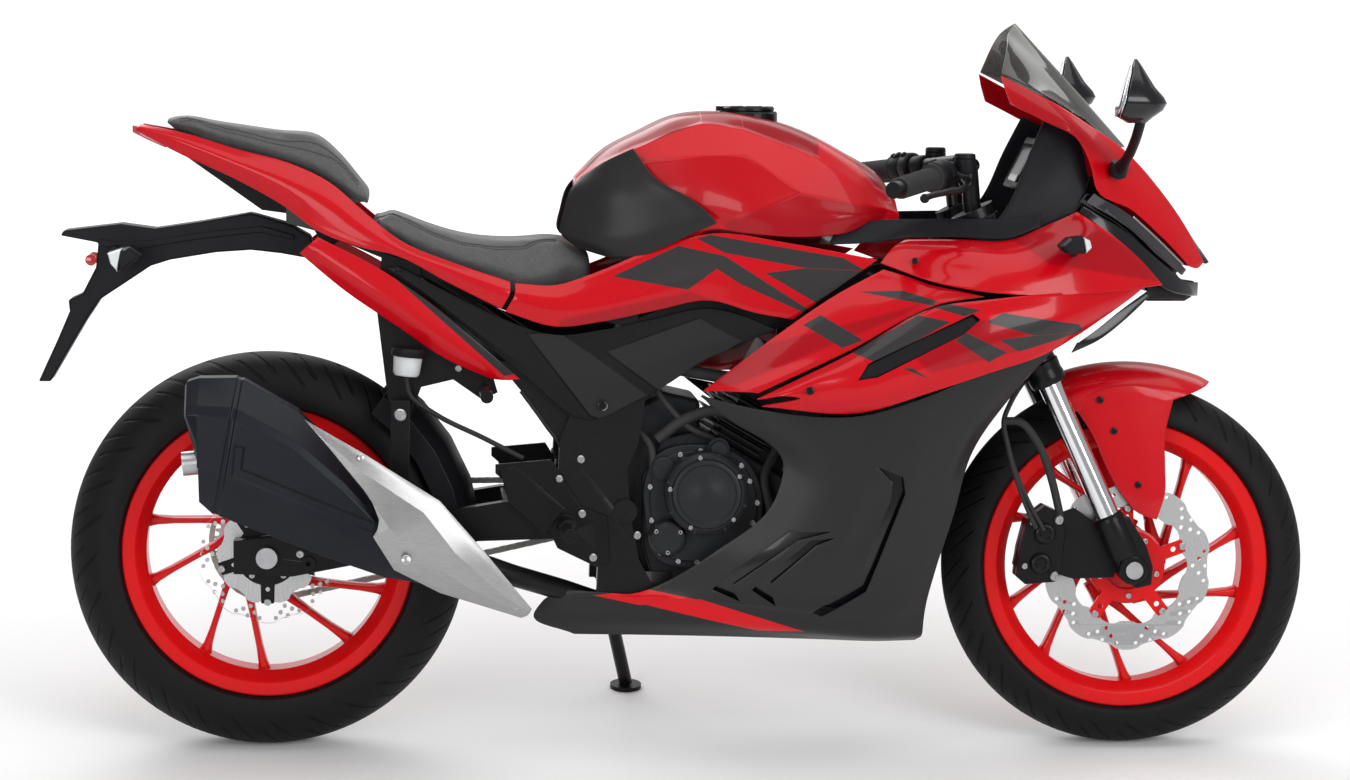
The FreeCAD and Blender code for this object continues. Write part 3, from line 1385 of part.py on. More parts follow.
TAIL_ROWS = [
    [(-840, 35, 987), (-770, 55, 974), (-692, 70, 951), (-606, 82, 929), (-547, 92, 902), (-489, 100, 854),
     (-434, 108, 811), (-348, 118, 776), (-262, 122, 748)],
    [(-844, 45, 982), (-773, 68, 962), (-696, 86, 933), (-616, 100, 903), (-551, 110, 873), (-493, 118, 830),
     (-437, 124, 796), (-348, 130, 763), (-262, 134, 733)],
    [(-850, 42, 978), (-778, 60, 941), (-696, 76, 905), (-616, 92, 862), (-562, 108, 824), (-499, 118, 801),
     (-440, 122, 787), (-356, 126, 744), (-276, 130, 705)]]
STRUT_ROWS = [
    [(-562, 108, 820), (-470, 118, 774), (-403, 121, 731), (-325, 124, 669), (-246, 124, 600)],
    [(-577, 110, 807), (-504, 122, 757), (-426, 128, 706), (-340, 128, 645), (-265, 124, 598)],
    [(-591, 100, 794), (-520, 108, 736), (-441, 114, 683), (-359, 118, 629), (-290, 118, 599)]]
BAND_ROWS = [
    [(-255, 122, 746), (-192, 122, 743), (-127, 124, 764), (-44, 128, 799), (52, 142, 826), (173, 158, 812),
     (309, 172, 788)],
    [(-255, 134, 731), (-193, 136, 716), (-122, 138, 718), (-45, 142, 734), (51, 152, 762), (141, 162, 755),
     (247, 172, 744)],
    [(-270, 130, 701), (-192, 130, 678), (-114, 132, 687), (-36, 136, 704), (49, 146, 721), (119, 156, 703),
     (178, 162, 693)]]
COVER_ROWS = [
    [(-440, 112, 780), (-356, 116, 737), (-270, 122, 696), (-192, 126, 673), (-114, 128, 682), (-36, 132, 699),
     (50, 142, 716), (96, 148, 707), (153, 152, 684)],
    [(-446, 113, 777), (-376, 121, 728), (-294, 129, 665), (-215, 135, 618), (-129, 138, 608), (-51, 140, 635),
     (19, 146, 659), (68, 150, 668), (125, 152, 673)],
    [(-457, 111, 776), (-395, 117, 734), (-312, 123, 667), (-238, 131, 608), (-136, 134, 540), (-74, 134, 564),
     (-12, 138, 599), (42, 144, 636), (100, 150, 660)]]


def panel_pair(name, rows, carrier, radius, starts, wall=panel_wall, drop=0.0):
    """The same panel on each side, with its bosses. drop lowers the rows that it shares with its neighbour."""
    lowered = [[(x, y, z - drop) for x, y, z in row] for row in rows]
    sheet_solid = shaped(name + "_sheet", skin(lowered, wall))
    return both_sides(name, pegged(name + "_right", sheet_solid, carrier, radius, *starts))


keep("tail_panels", together(
    "tail_panels", panel_pair("tail_sides", TAIL_ROWS, subframe_node, 6, [(-500, 0, 812)]),
    panel_pair("tail_struts", STRUT_ROWS, pillion_brackets, 6, [(-430, 0, 700)], drop=5)))
keep("frame_covers", panel_pair("frame_covers", BAND_ROWS, frame_node, 5, [(40, 0, 726)]))
keep("side_covers", panel_pair("side_covers", COVER_ROWS, frame_node, 6, [(-90, 0, 600)], drop=8))

# Front stay, which carries the nose

stay_wall = size("stay_wall", 6)
stay_half = size("stay_half", 28)
STAY_LINE = [(514, 727), (590, 762), (742, 776), (748, 802), (712, 846), (690, 916), (664, 912), (650, 856),
             (612, 872), (622, 955), (600.6, 964.8), (560.6, 885), (551, 843), (476, 808)]
STAY_BARS = [(590, 832, 118, 8), (632, 838, 128, 8), (702, 848, 84, 7), (732, 788, 82, 7), (676, 898, 98, 7)]


def front_stay():
    side = plate("stay_side", STAY_LINE, stay_half - stay_wall, stay_wall)
    bars = [cylinder("stay_bar", radius, 2 * half, Vector(x, -half, z), SIDEWAYS)
            for x, z, half, radius in STAY_BARS]
    base = rod("stay_base", 24, steering_point(530), steering_point(530) + FORK_FORWARD * 62)
    head = rod("head_room", head_tube_radius + seat_gap, steering_point(400), steering_point(700))
    return less("front_stay", joined("stay_solid", side, mirrored("stay_side_left", side), base, *bars), head)


stay_node = keep("front_stay", front_stay())

# Fairings

UPPER_ROWS = [
    [(354, 150, 819), (439, 158, 820), (518, 162, 820), (573, 158, 842), (625, 150, 864)],
    [(333, 170, 808), (434, 196, 802), (520, 200, 798), (608, 190, 814), (677, 150, 831)],
    [(321, 180, 796), (417, 214, 767), (525, 222, 768), (639, 196, 778), (728, 140, 790)],
    [(311, 186, 784), (400, 222, 755), (524, 232, 738), (655, 200, 740), (769, 120, 748)]]
REAR_FAIRING_ROWS = [
    [(316, 186, 774), (349, 196, 765), (386, 208, 752), (432, 220, 743), (470, 226, 735)],
    [(249, 186, 738), (291, 200, 732), (332, 212, 728), (370, 220, 724), (403, 226, 724)],
    [(141, 182, 663), (178, 198, 656), (216, 208, 652), (243, 216, 648), (266, 220, 652)],
    [(36, 178, 582), (60, 192, 584), (85, 204, 584), (105, 212, 584), (120, 214, 582)]]
BLADE_ROWS = [
    [(118, 222, 574), (260, 232, 645), (398, 238, 720), (468, 240, 730), (587, 226, 732), (727, 150, 742)],
    [(155, 236, 580), (259, 246, 631), (382, 250, 684), (475, 250, 708), (587, 230, 712), (689, 168, 716)],
    [(183, 238, 577), (278, 248, 572), (383, 252, 615), (476, 250, 646), (572, 230, 671), (651, 184, 685)],
    [(126, 222, 562), (280, 232, 554), (385, 238, 586), (479, 236, 617), (567, 220, 645), (629, 190, 672)]]
LOWER_ROWS = [
    [(33, 176, 574), (127, 206, 555), (282, 220, 548), (387, 226, 580), (481, 222, 611), (590, 200, 644)],
    [(79, 184, 538), (171, 212, 517), (294, 224, 511), (388, 226, 527), (459, 214, 545), (520, 176, 573)],
    [(162, 196, 473), (218, 214, 455), (311, 222, 448), (382, 220, 456), (431, 200, 470), (463, 174, 489)],
    [(150, 196, 414), (211, 212, 392), (297, 220, 378), (360, 214, 377), (402, 196, 382), (433, 176, 386)],
    [(59, 178, 330), (143, 200, 320), (252, 212, 298), (323, 206, 289), (373, 192, 290), (405, 172, 294)],
    [(-56, 140, 261), (67, 176, 257), (191, 196, 249), (286, 192, 237), (359, 176, 235), (394, 154, 237)],
    [(-218, 110, 218), (-55, 132, 216), (101, 152, 211), (226, 166, 202), (322, 160, 194), (391, 142, 195)],
    [(-157, 100, 189), (-37, 104, 188), (105, 112, 186), (232, 118, 183), (327, 118, 180), (384, 112, 181)]]
NOSE_ROWS = [
    [(505, 122, 1076), (550, 130, 1053), (598, 130, 1029), (644, 122, 1001), (705, 90, 963), (773, 60, 896),
     (817, 45, 839), (854, 20, 779)],
    [(510, 132, 1056), (556, 142, 1032), (603, 148, 1009), (652, 144, 968), (697, 118, 926), (751, 92, 873),
     (801, 68, 820), (842, 34, 770)],
    [(518, 138, 1031), (571, 150, 1005), (626, 156, 975), (646, 156, 933), (655, 152, 900), (718, 116, 866),
     (768, 92, 826), (825, 52, 774)]]
LAMP_ROWS = [
    [(652, 148, 892), (716, 112, 858), (766, 88, 818), (820, 50, 768)],
    [(640, 144, 878), (708, 124, 842), (766, 96, 794), (812, 58, 760)]]
BEAK_ROWS = [
    [(636, 144, 872), (704, 124, 834), (768, 98, 784), (814, 60, 752), (846, 18, 746)],
    [(628, 142, 862), (697, 132, 814), (772, 104, 744), (833, 40, 726), (846, 12, 724)]]
SCREEN_GRID = [
    [(545, 0, 1158), (632, 0, 1065), (726, 0, 962)],
    [(528, 44, 1142), (606, 52, 1066), (706, 44, 968)],
    [(521, 80, 1123), (581, 90, 1061), (692, 68, 972)],
    [(507, 120, 1079), (560, 128, 1054), (640, 118, 1009)]]


def belly_left():
    """The left lower panel stops short of the side stand."""
    panel = mirrored("lower_left_whole", lower_right)
    reach = STAND_PIVOT.x + 66
    room = box("stand_room", (-400.0, 0.0, 100.0), (reach, 300.0, 420.0))
    return less("lower_left", panel, room)


upper_node = keep("upper_fairings", panel_pair("upper_fairings", UPPER_ROWS, stay_node, 6, [(632, 0, 838)]))
keep("rear_fairings", panel_pair("rear_fairings", REAR_FAIRING_ROWS, frame_node, 6, [(230, 0, 715)]))
keep("blade_fairings", panel_pair("blade_fairings", BLADE_ROWS, radiator_node, 6, [(352, 0, 600)]))
lower_sheet = shaped("lower_sheet", skin(LOWER_ROWS, panel_wall))
lower_right = pegged("lower_right", lower_sheet, radiator_node, 6, (352, 0, 520))
keep("lower_fairings", together("lower_fairings", lower_right, belly_left()))


def centre_panel(right_rows, wall):
    """One sheet across the machine, from its right half with the middle row first."""
    rows = [[Vector(x, y, z) for x, y, z in row] for row in reversed(right_rows)]
    rows += [[Vector(x, -y, z) for x, y, z in row] for row in right_rows[1:]]
    return shell_solid(rows, wall, lambda p: Vector(520, 0, 900) - p)


NOSE_MIDDLE = [
    [(700, 0, 966), (740, 0, 930), (800, 0, 868), (846, 0, 806), (866, 0, 778)],
    [(716, 44, 950), (756, 40, 912), (806, 30, 854), (844, 20, 800), (858, 12, 776)],
    [(706, 82, 955), (766, 56, 897), (806, 42, 846), (830, 32, 812), (848, 17, 780)]]
nose_node = keep("nose_panels", panel_pair("nose_panels", NOSE_ROWS, stay_node, 6, [(676, 0, 898)]))
nose_sheet = shaped("nose_sheet", centre_panel(NOSE_MIDDLE, panel_wall))
keep("nose_centre", pegged("nose_centre", nose_sheet, stay_node, 5, (690, -25, 833), (690, 25, 833),
                           way=(0.8, 0, 0.6)))
keep("headlamps", panel_pair("headlamps", LAMP_ROWS, stay_node, 6, [(702, 0, 848)], lens_wall))
keep("beak", panel_pair("beak", BEAK_ROWS, stay_node, 6, [(732, 0, 788)]))
screen_sheet = shaped("screen_sheet", centre_panel(SCREEN_GRID, screen_wall))
keep("windscreen", pegged("windscreen", screen_sheet, stay_node, 5, (677, -50, 890), (677, 50, 890),
                          way=(-0.15, 0, 1)))

COWL_ROWS = [
    [(576, 116, 1008), (548, 132, 948), (520, 146, 880), (466, 152, 812)],
    [(630, 120, 975), (600, 134, 930), (566, 145, 868), (520, 150, 806)],
    [(646, 122, 920), (640, 130, 890), (620, 136, 850), (590, 138, 800)]]
keep("dash_cowls", panel_pair("dash_cowls", COWL_ROWS, stay_node, 6, [(590, 0, 832)]))


def instrument():
    rings = []
    for x, z, half, low in ((560, 886, 70, -18), (600, 966, 74, -18)):
        rings.append([Vector(x, y, z) + Vector(-0.9, 0, 0.43) * depth
                      for y, depth in ((-half, 0), (-half, 26), (half, 26), (half, 0))])
    return ring_solid(rings)


keep("instrument", shaped("instrument", instrument()))


def mirror():
    """A mirror head on its stalk, at the right."""
    rings = []
    for drop, wide, deep in ((0, 10, 8), (18, 28, 16), (50, 36, 22), (80, 32, 20), (98, 12, 8)):
        x = 706 - drop * 0.05
        z = 1100 - drop
        rings.append([Vector(x - deep, -316 - wide, z), Vector(x + deep, -316 - wide * 0.7, z),
                      Vector(x + deep, -316 + wide * 0.7, z), Vector(x - deep, -316 + wide, z)])
    head = shaped("mirror_head", ring_solid(rings))
    base = Vector(690, -141, 934)
    stalk = rod("mirror_stalk", 9, base, Vector(704, -306, 1018))
    foot = rod("mirror_foot", 16, base + Vector(0, 0, -8), base + Vector(6, -10, 12))
    return joined("mirror", head, stalk, foot)


keep("mirrors", both_sides("mirrors", pegged("mirror_seated", mirror(), nose_node, 12, (692, 0, 936))))

# Tail end

carrier_half = size("carrier_half", 34)
CARRIER = [(-961, 819), (-872, 828), (-818, 822), (-747, 834), (-700, 840), (-640, 828), (-574, 806),
           (-574, 776), (-621, 785), (-668, 790), (-723, 786), (-794, 774), (-825, 764), (-904, 711),
           (-927, 676), (-982, 581), (-1001, 581), (-971, 647), (-952, 692), (-954, 710), (-932, 720),
           (-911, 761), (-907, 800), (-966, 811)]


def undertail():
    rows = [[(-800, 0, 868), (-700, 0, 848), (-600, 0, 822), (-578, 0, 812)],
            [(-800, 40, 872), (-700, 50, 852), (-610, 58, 827), (-580, 60, 816)]]
    grid = [[Vector(x, y, z) for x, y, z in rows[1]], [Vector(x, 0, z) for x, y, z in rows[0]],
            [Vector(x, -y, z) for x, y, z in rows[1]]]
    return shell_solid(grid, panel_wall, lambda p: Vector(0, 0, 1))


undertail_sheet = shaped("undertail_sheet", undertail())
undertail_peg = peg(8, undertail_sheet, subframe_node, (-690, -30, 900), (0, 0, -1))
keep("rear_mudguard", joined("rear_mudguard", plate("plate_carrier", CARRIER, -carrier_half, carrier_half * 2),
                             undertail_sheet, undertail_peg, mirrored("undertail_peg_left", undertail_peg),
                             rod("carrier_post", 14, (-700, 0, 830), (-700, 0, 849))))


def tail_lamp():
    rings = [[Vector(x, -half, low), Vector(x, -half, high), Vector(x, half, high), Vector(x, half, low)]
             for x, half, low, high in ((-856, 30, 962, 980), (-820, 36, 940, 974))]
    return ring_solid(rings)


tail_lens = shaped("tail_lens", tail_lamp())
keep("tail_lamp", pegged("tail_lamp", tail_lens, subframe_node, 6, (-758, 0, 884), way=(-0.748, 0, 0.664)))


def signal(name, base, tip):
    stalk = rod(name + "_stalk", 7, base, base + (tip - base) * 0.35)
    lamp = rod(name + "_lamp", 14, base + (tip - base) * 0.3, tip)
    return joined(name, stalk, lamp)


front_signal = signal("front_signal", Vector(612, -202, 808), Vector(606, -286, 802))
rear_signal = signal("rear_signal", Vector(-880, -float(carrier_half) - 2 * float(seat_gap), 790),
                     Vector(-884, -126, 786))
keep("turn_signals", together(
    "turn_signals", both_sides("front_signals", pegged("front_signal_whole", front_signal, upper_node, 6,
                                                       (612, 0, 808))),
    both_sides("rear_signals", rear_signal)))


# Placing, checks and files

def stand_placement():
    turn = Rotation(Vector(1, 0, 0), -float(lean))
    rise = max(float(front_tyre_width), float(rear_tyre_width)) / 2 * (1 - math.cos(math.radians(float(lean))))
    return Placement(Vector(0, 0, rise), turn)


def place_all():
    doc.recompute()
    stand = stand_placement()
    for name, thing, where in sub_parts:
        thing.Placement = stand.multiply(where)
    doc.recompute()
    whole = FreeCAD.BoundBox()
    for name, thing, where in sub_parts:
        whole.add(thing.Shape.optimalBoundingBox(False))
    shift = Vector(-whole.Center.x, -whole.Center.y, 0)
    stand = Placement(stand.Base + shift, stand.Rotation)
    for name, thing, where in sub_parts:
        thing.Placement = stand.multiply(where)
    doc.recompute()
    return stand, whole


def check_all():
    for thing in doc.Objects:
        if "Invalid" in thing.State or "Error" in thing.State:
            raise RuntimeError("%s failed: %s" % (thing.Name, thing.State))
    for name, thing, where in sub_parts:
        shape = thing.Shape
        if shape.isNull() or not shape.isValid() or not shape.Solids:
            raise RuntimeError("%s has no valid solid" % name)


def write_all(stand, whole):
    os.makedirs("parts", exist_ok=True)
    for name, thing, where in sub_parts:
        thing.Shape.exportStep("parts/%s.step" % name)
    anchors = {"front_axle": FRONT_AXLE, "rear_axle": REAR_AXLE, "steering_low": steering_point(0),
               "steering_high": steering_point(600), "side_from": Vector(), "side_to": SIDEWAYS * 100,
               "stand_pivot": STAND_PIVOT, "stand_axis_from": Vector(), "stand_axis_to": STAND_AXIS * 100,
               "cap_hinge": CAP_HINGE, "bobbin_right": BOBBIN,
               "bobbin_left": Vector(BOBBIN.x, -BOBBIN.y, BOBBIN.z), "stem_low": STEM_SOCKET}
    for name, point in anchors.items():
        placed = stand.multVec(point)
        print("anchor %s %.4f %.4f %.4f" % (name, placed.x, placed.y, placed.z))
    print("size %.1f %.1f %.1f, lowest %.3f" % (whole.XLength, whole.YLength, whole.ZLength, whole.ZMin))


stand_place, whole_box = place_all()
check_all()
write_all(stand_place, whole_box)
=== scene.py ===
import json
import math
import bmesh
import bpy
from bpy.props import FloatProperty, FloatVectorProperty, IntProperty, PointerProperty
from mathutils import Matrix, Vector

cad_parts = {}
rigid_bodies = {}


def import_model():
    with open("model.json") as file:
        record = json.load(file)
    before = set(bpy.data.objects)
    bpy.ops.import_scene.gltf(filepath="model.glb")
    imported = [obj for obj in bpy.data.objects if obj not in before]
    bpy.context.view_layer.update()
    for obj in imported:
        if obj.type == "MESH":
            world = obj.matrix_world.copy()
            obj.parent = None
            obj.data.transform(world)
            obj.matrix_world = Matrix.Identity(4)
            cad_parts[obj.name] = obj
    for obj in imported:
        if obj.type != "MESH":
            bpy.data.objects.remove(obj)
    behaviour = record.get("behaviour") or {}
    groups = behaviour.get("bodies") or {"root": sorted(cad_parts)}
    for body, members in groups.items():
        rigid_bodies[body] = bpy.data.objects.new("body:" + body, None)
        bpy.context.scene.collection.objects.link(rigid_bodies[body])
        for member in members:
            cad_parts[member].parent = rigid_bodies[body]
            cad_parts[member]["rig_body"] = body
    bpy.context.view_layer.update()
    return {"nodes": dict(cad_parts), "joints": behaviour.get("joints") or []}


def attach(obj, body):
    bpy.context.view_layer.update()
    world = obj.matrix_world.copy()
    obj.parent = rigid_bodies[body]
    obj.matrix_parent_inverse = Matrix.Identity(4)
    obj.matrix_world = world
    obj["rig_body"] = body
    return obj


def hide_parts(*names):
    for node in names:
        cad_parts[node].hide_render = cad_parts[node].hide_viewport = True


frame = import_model()

bl_info = {
    "name": "Sport motorcycle",
    "version": (1, 0, 0),
    "blender": (4, 5, 0),
    "location": "3D View > Sidebar > Motorcycle",
    "description": "Dresses the packed model of a sport motorcycle on its side stand",
    "category": "Object",
}

# Pieces are drawn upright in millimetres: forward, to the rider's left, up from the road.
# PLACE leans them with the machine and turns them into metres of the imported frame.
front_spin = next(joint for joint in frame["joints"] if joint["name"] == "front_wheel_spin")
spin_axis = Vector(front_spin["axis"])
LEAN = math.atan2(-spin_axis.z, spin_axis.y)
FRONT_AXLE = Vector((732, 0, 293))
REAR_AXLE = Vector((-640, 0, 314))
PIVOT = Vector((-80, 0, 388))
LEANED = Matrix.Rotation(-LEAN, 4, "X")
SHIFT = Vector(front_spin["pos_m"]) - LEANED @ (FRONT_AXLE * 0.001)
PLACE = Matrix.Translation(SHIFT) @ LEANED @ Matrix.Scale(0.001, 4)
RAKE = math.radians(25)
FORK_UP = Vector((-math.sin(RAKE), 0, math.cos(RAKE)))
FORK_SIDE = -97
SIDEWAYS, OUTWARD, UPWARD = Vector((0, 1, 0)), Vector((0, -1, 0)), Vector((0, 0, 1))
PANEL_WALL = 2.6


def colour_field(name, text, default):
    return FloatVectorProperty(name=name, description=text, subtype="COLOR", size=3, default=default,
                               min=0, max=1)


class BikeLook(bpy.types.PropertyGroup):
    red: colour_field("Red paint", "Bodywork colour", (0.50, 0.001, 0.007))
    wheel_red: colour_field("Wheel paint", "Colour of rims and spokes", (0.66, 0.0025, 0.005))
    tread_blocks: IntProperty(name="Tread grooves", description="Grooves on each side round one tyre",
                              default=28, min=8, max=60)
    disc_holes: IntProperty(name="Disc petals", description="Petals round one brake disc",
                            default=10, min=5, max=20)
    spoke_width: FloatProperty(name="Spoke width", description="Width of a spoke at its middle, in mm",
                               default=11.0, min=6, max=20)
    fin_pitch: FloatProperty(name="Radiator fin pitch", description="Distance between radiator fins, in mm",
                             default=5.0, min=3, max=12)
    seat_pressure: FloatProperty(name="Seat pressure", description="Air pressure of the cover's simulation",
                                 default=4.0, min=0, max=10)
    key_light: FloatProperty(name="Key light", description="Power that every studio light is a share of",
                             default=220.0, min=0, subtype="POWER", unit="POWER")


def look():
    return bpy.context.scene.bike_look


# Camera, fitted to the photograph's frame of 1350 by 780

PHOTO_WIDTH, PHOTO_HEIGHT = 1350, 780
CAMERA_TURN = math.radians(-4)
CAMERA_RISE = math.radians(5)
CAMERA_ROLL = math.radians(0.55)
CAMERA_FAR = 6500.0
CAMERA_ZOOM = 4062.0
CAMERA_AIM = Vector((6, 0, 568))


def camera_axes():
    back = Vector((math.sin(CAMERA_TURN) * math.cos(CAMERA_RISE),
                   -math.cos(CAMERA_TURN) * math.cos(CAMERA_RISE), math.sin(CAMERA_RISE)))
    right = Vector((math.cos(CAMERA_TURN), math.sin(CAMERA_TURN), 0))
    up = back.cross(right)
    turned_right = right * math.cos(CAMERA_ROLL) + up * math.sin(CAMERA_ROLL)
    turned_up = up * math.cos(CAMERA_ROLL) - right * math.sin(CAMERA_ROLL)
    return turned_right, turned_up, back


def seen(across, down, side):
    """The point of the right side, that far from the middle, that shows at a pixel of the photograph."""
    right, up, back = camera_axes()
    start = CAMERA_AIM + back * CAMERA_FAR
    ray = (right * (across - PHOTO_WIDTH / 2) - up * (down - PHOTO_HEIGHT / 2)) / CAMERA_ZOOM - back
    return start + ray * ((-side - start.y) / ray.y)


def flat_outline(corners, side=None):
    """Forward and up of corners on the right side, from pixels with their own or one distance out."""
    points = [seen(*corner) if side is None else seen(*corner, side) for corner in corners]
    return [(point.x, point.z) for point in points]


# Mesh helpers

def turns(count, first=0.0):
    """Angles in equal steps round a circle."""
    return [first + 2 * math.pi * k / count for k in range(count)]


def about(centre, radius, turn, side=0.0):
    """The point at a radius and an angle round a crosswise axis."""
    return centre + Vector((radius * math.cos(turn), side, radius * math.sin(turn)))


def smooth_line(points, steps):
    """A line through points, with that many parts between neighbours."""
    points = [Vector(p) for p in points]
    if len(points) < 3:
        return [points[0].lerp(points[-1], k / steps) for k in range(steps + 1)]
    gaps = [max((b - a).length, 1e-6) for a, b in zip(points, points[1:])]
    slopes = [(points[1] - points[0]) / gaps[0]]
    for i in range(1, len(points) - 1):
        behind = (points[i] - points[i - 1]) / gaps[i - 1]
        ahead = (points[i + 1] - points[i]) / gaps[i]
        slopes.append((behind * gaps[i] + ahead * gaps[i - 1]) / (gaps[i] + gaps[i - 1]))
    slopes.append((points[-1] - points[-2]) / gaps[-1])
    line = []
    for i, gap in enumerate(gaps):
        for k in range(steps):
            t = k / steps
            line.append(points[i] * (2 * t ** 3 - 3 * t ** 2 + 1)
                        + slopes[i] * (gap * (t ** 3 - 2 * t ** 2 + t))
                        + points[i + 1] * (3 * t ** 2 - 2 * t ** 3)
                        + slopes[i + 1] * (gap * (t ** 3 - t ** 2)))
    line.append(points[-1])
    return line


def broken_line(points, steps, corners=()):
    """A smooth line that keeps a corner at each of the numbered points."""
    line = []
    ends = [0] + sorted(corners) + [len(points) - 1]
    for first, last in zip(ends, ends[1:]):
        part = smooth_line(points[first:last + 1], steps)
        line += part if not line else part[1:]
    return line


def grid_of(rows, along=5, across=5, corners=(), creases=()):
    """Points of a surface through rows. corners break the rows, and creases keep a row as an edge."""
    lines = [broken_line(row, along, corners) for row in rows]
    columns = [broken_line([line[i] for line in lines], across, creases) for i in range(len(lines[0]))]
    return [[column[j] for column in columns] for j in range(len(columns[0]))]


def right_side(rows, drop=0):
    """Rows of forward, away from the middle and up, as points of the right side."""
    return [[Vector((x, -y, z - drop)) for x, y, z in row] for row in rows]


def add_grid(mesh, grid, closed=False):
    """Adds a grid of points as quads. closed joins the last column to the first."""
    made = [[mesh.verts.new(p) for p in row] for row in grid]
    wide = len(grid[0])
    for top, low in zip(made, made[1:]):
        for j in range(wide if closed else wide - 1):
            k = (j + 1) % wide
            mesh.faces.new((top[j], top[k], low[k], low[j]))
    return made


def add_rings(mesh, rings):
    """A body through rings of points, closed at both ends."""
    made = add_grid(mesh, rings, closed=True)
    mesh.faces.new(made[0])
    mesh.faces.new(made[-1])


def add_mirrored(mesh):
    """Adds the same shape on the left side."""
    copy = bmesh.ops.duplicate(mesh, geom=mesh.verts[:] + mesh.edges[:] + mesh.faces[:])["geom"]
    for item in copy:
        if isinstance(item, bmesh.types.BMVert):
            item.co.y = -item.co.y
    bmesh.ops.reverse_faces(mesh, faces=[item for item in copy if isinstance(item, bmesh.types.BMFace)])


def facing(direction):
    return Vector(direction).normalized().to_track_quat("Z", "Y").to_matrix().to_4x4()


def add_lathe(mesh, profile, start, direction, around=48):
    """A turned shape from pairs of height and radius. Ends with a radius are closed."""
    place = Matrix.Translation(Vector(start)) @ facing(direction)
    rings = [[place @ Vector((radius * math.cos(turn), radius * math.sin(turn), height))
              for turn in turns(around)] for height, radius in profile]
    made = add_grid(mesh, rings, closed=True)
    for ring in (made[0], made[-1]):
        if (ring[0].co - ring[1].co).length > 1e-6:
            mesh.faces.new(ring)


def add_tube(mesh, line, radius, around=16):
    """A tube along a line of points. radius is a number, or one for each point."""
    sizes = radius if isinstance(radius, list) else [radius] * len(line)
    ahead = (line[1] - line[0]).normalized()
    side = ahead.orthogonal().normalized()
    rings = []
    for i, point in enumerate(line):
        way = (line[min(i + 1, len(line) - 1)] - line[max(i - 1, 0)]).normalized()
        side = (side - way * side.dot(way)).normalized()
        other = way.cross(side)
        rings.append([point + (side * math.cos(turn) + other * math.sin(turn)) * sizes[i]
                      for turn in turns(around)])
    add_rings(mesh, rings)


def add_slab(mesh, outline, start, end):
    """A flat piece drawn from the right side, between two distances to the right of the middle."""
    add_rings(mesh, [[Vector((x, -side, z)) for x, z in outline] for side in (start, end)])


def add_block(mesh, low, high):
    xs, zs = (low[0], high[0]), (low[2], high[2])
    add_slab(mesh, [(xs[0], zs[0]), (xs[1], zs[0]), (xs[1], zs[1]), (xs[0], zs[1])], -low[1], -high[1])


def drawn(*steps):
    """A new mesh from steps, each one a drawing function and what it is given."""
    mesh = bmesh.new()
    for draw, *given in steps:
        draw(mesh, *given)
    return mesh


def both(*steps):
    """A new mesh from steps, with its twin on the left side."""
    return drawn(*steps, (add_mirrored,))


def shown_from(mesh, way):
    """Turns a sheet over where it faces away from a direction."""
    mesh.normal_update()
    push = sum((face.normal * face.calc_area() for face in mesh.faces), Vector())
    if push.dot(way) < 0:
        bmesh.ops.reverse_faces(mesh, faces=mesh.faces[:])


def holds(outline, x, z):
    """Whether an outline drawn from the right side goes round a point."""
    within = False
    for (ax, az), (bx, bz) in zip(outline, outline[1:] + outline[:1]):
        if (az > z) != (bz > z) and x < (bx - ax) * (z - az) / (bz - az) + ax:
            within = not within
    return within


def open_up(mesh, outlines):
    """Cuts holes through a sheet, each drawn from the right side."""
    margin = 2
    for outline in outlines:
        low_x, high_x = min(x for x, z in outline) - margin, max(x for x, z in outline) + margin
        low_z, high_z = min(z for x, z in outline) - margin, max(z for x, z in outline) + margin
        for (ax, az), (bx, bz) in zip(outline, outline[1:] + outline[:1]):
            near = [face for face in mesh.faces
                    if any(v.co.x > low_x for v in face.verts) and any(v.co.x < high_x for v in face.verts)
                    and any(v.co.z > low_z for v in face.verts) and any(v.co.z < high_z for v in face.verts)]
            edges = {edge for face in near for edge in face.edges}
            verts = {vert for face in near for vert in face.verts}
            bmesh.ops.bisect_plane(mesh, geom=near + list(edges) + list(verts), dist=0.02,
                                   plane_co=(ax, 0, az), plane_no=(bz - az, 0, ax - bx))
        gone = []
        for face in mesh.faces:
            middle = face.calc_center_median()
            if holds(outline, middle.x, middle.z):
                gone.append(face)
        bmesh.ops.delete(mesh, geom=gone, context="FACES")


def fork_point(height, side=0.0):
    return FRONT_AXLE + FORK_UP * height + SIDEWAYS * side


# Finishing a piece


def mesh_data(name, mesh):
    data = bpy.data.meshes.new(name)
    mesh.to_mesh(data)
    mesh.free()
    return data


def linked(name, data):
    """A new object of the scene."""
    thing = bpy.data.objects.new(name, data)
    bpy.context.scene.collection.objects.link(thing)
    return thing


def settle(name, data, finish, body="frame", hides=(), sharp=38.0):
    """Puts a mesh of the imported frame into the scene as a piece."""
    for face in data.polygons:
        face.use_smooth = True
    data.set_sharp_from_angle(angle=math.radians(sharp))
    thing = linked(name, data)
    data.materials.clear()
    data.materials.append(finished(finish))
    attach(thing, body)
    if hides:
        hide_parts(*hides)
    return thing


def soften(thing, width, angle, segments=2):
    """Rounds the edges of a piece that are sharper than an angle."""
    edge = thing.modifiers.new("Edges", "BEVEL")
    edge.width = width * 0.001
    edge.segments = segments
    edge.limit_method = "ANGLE"
    edge.angle_limit = math.radians(angle)


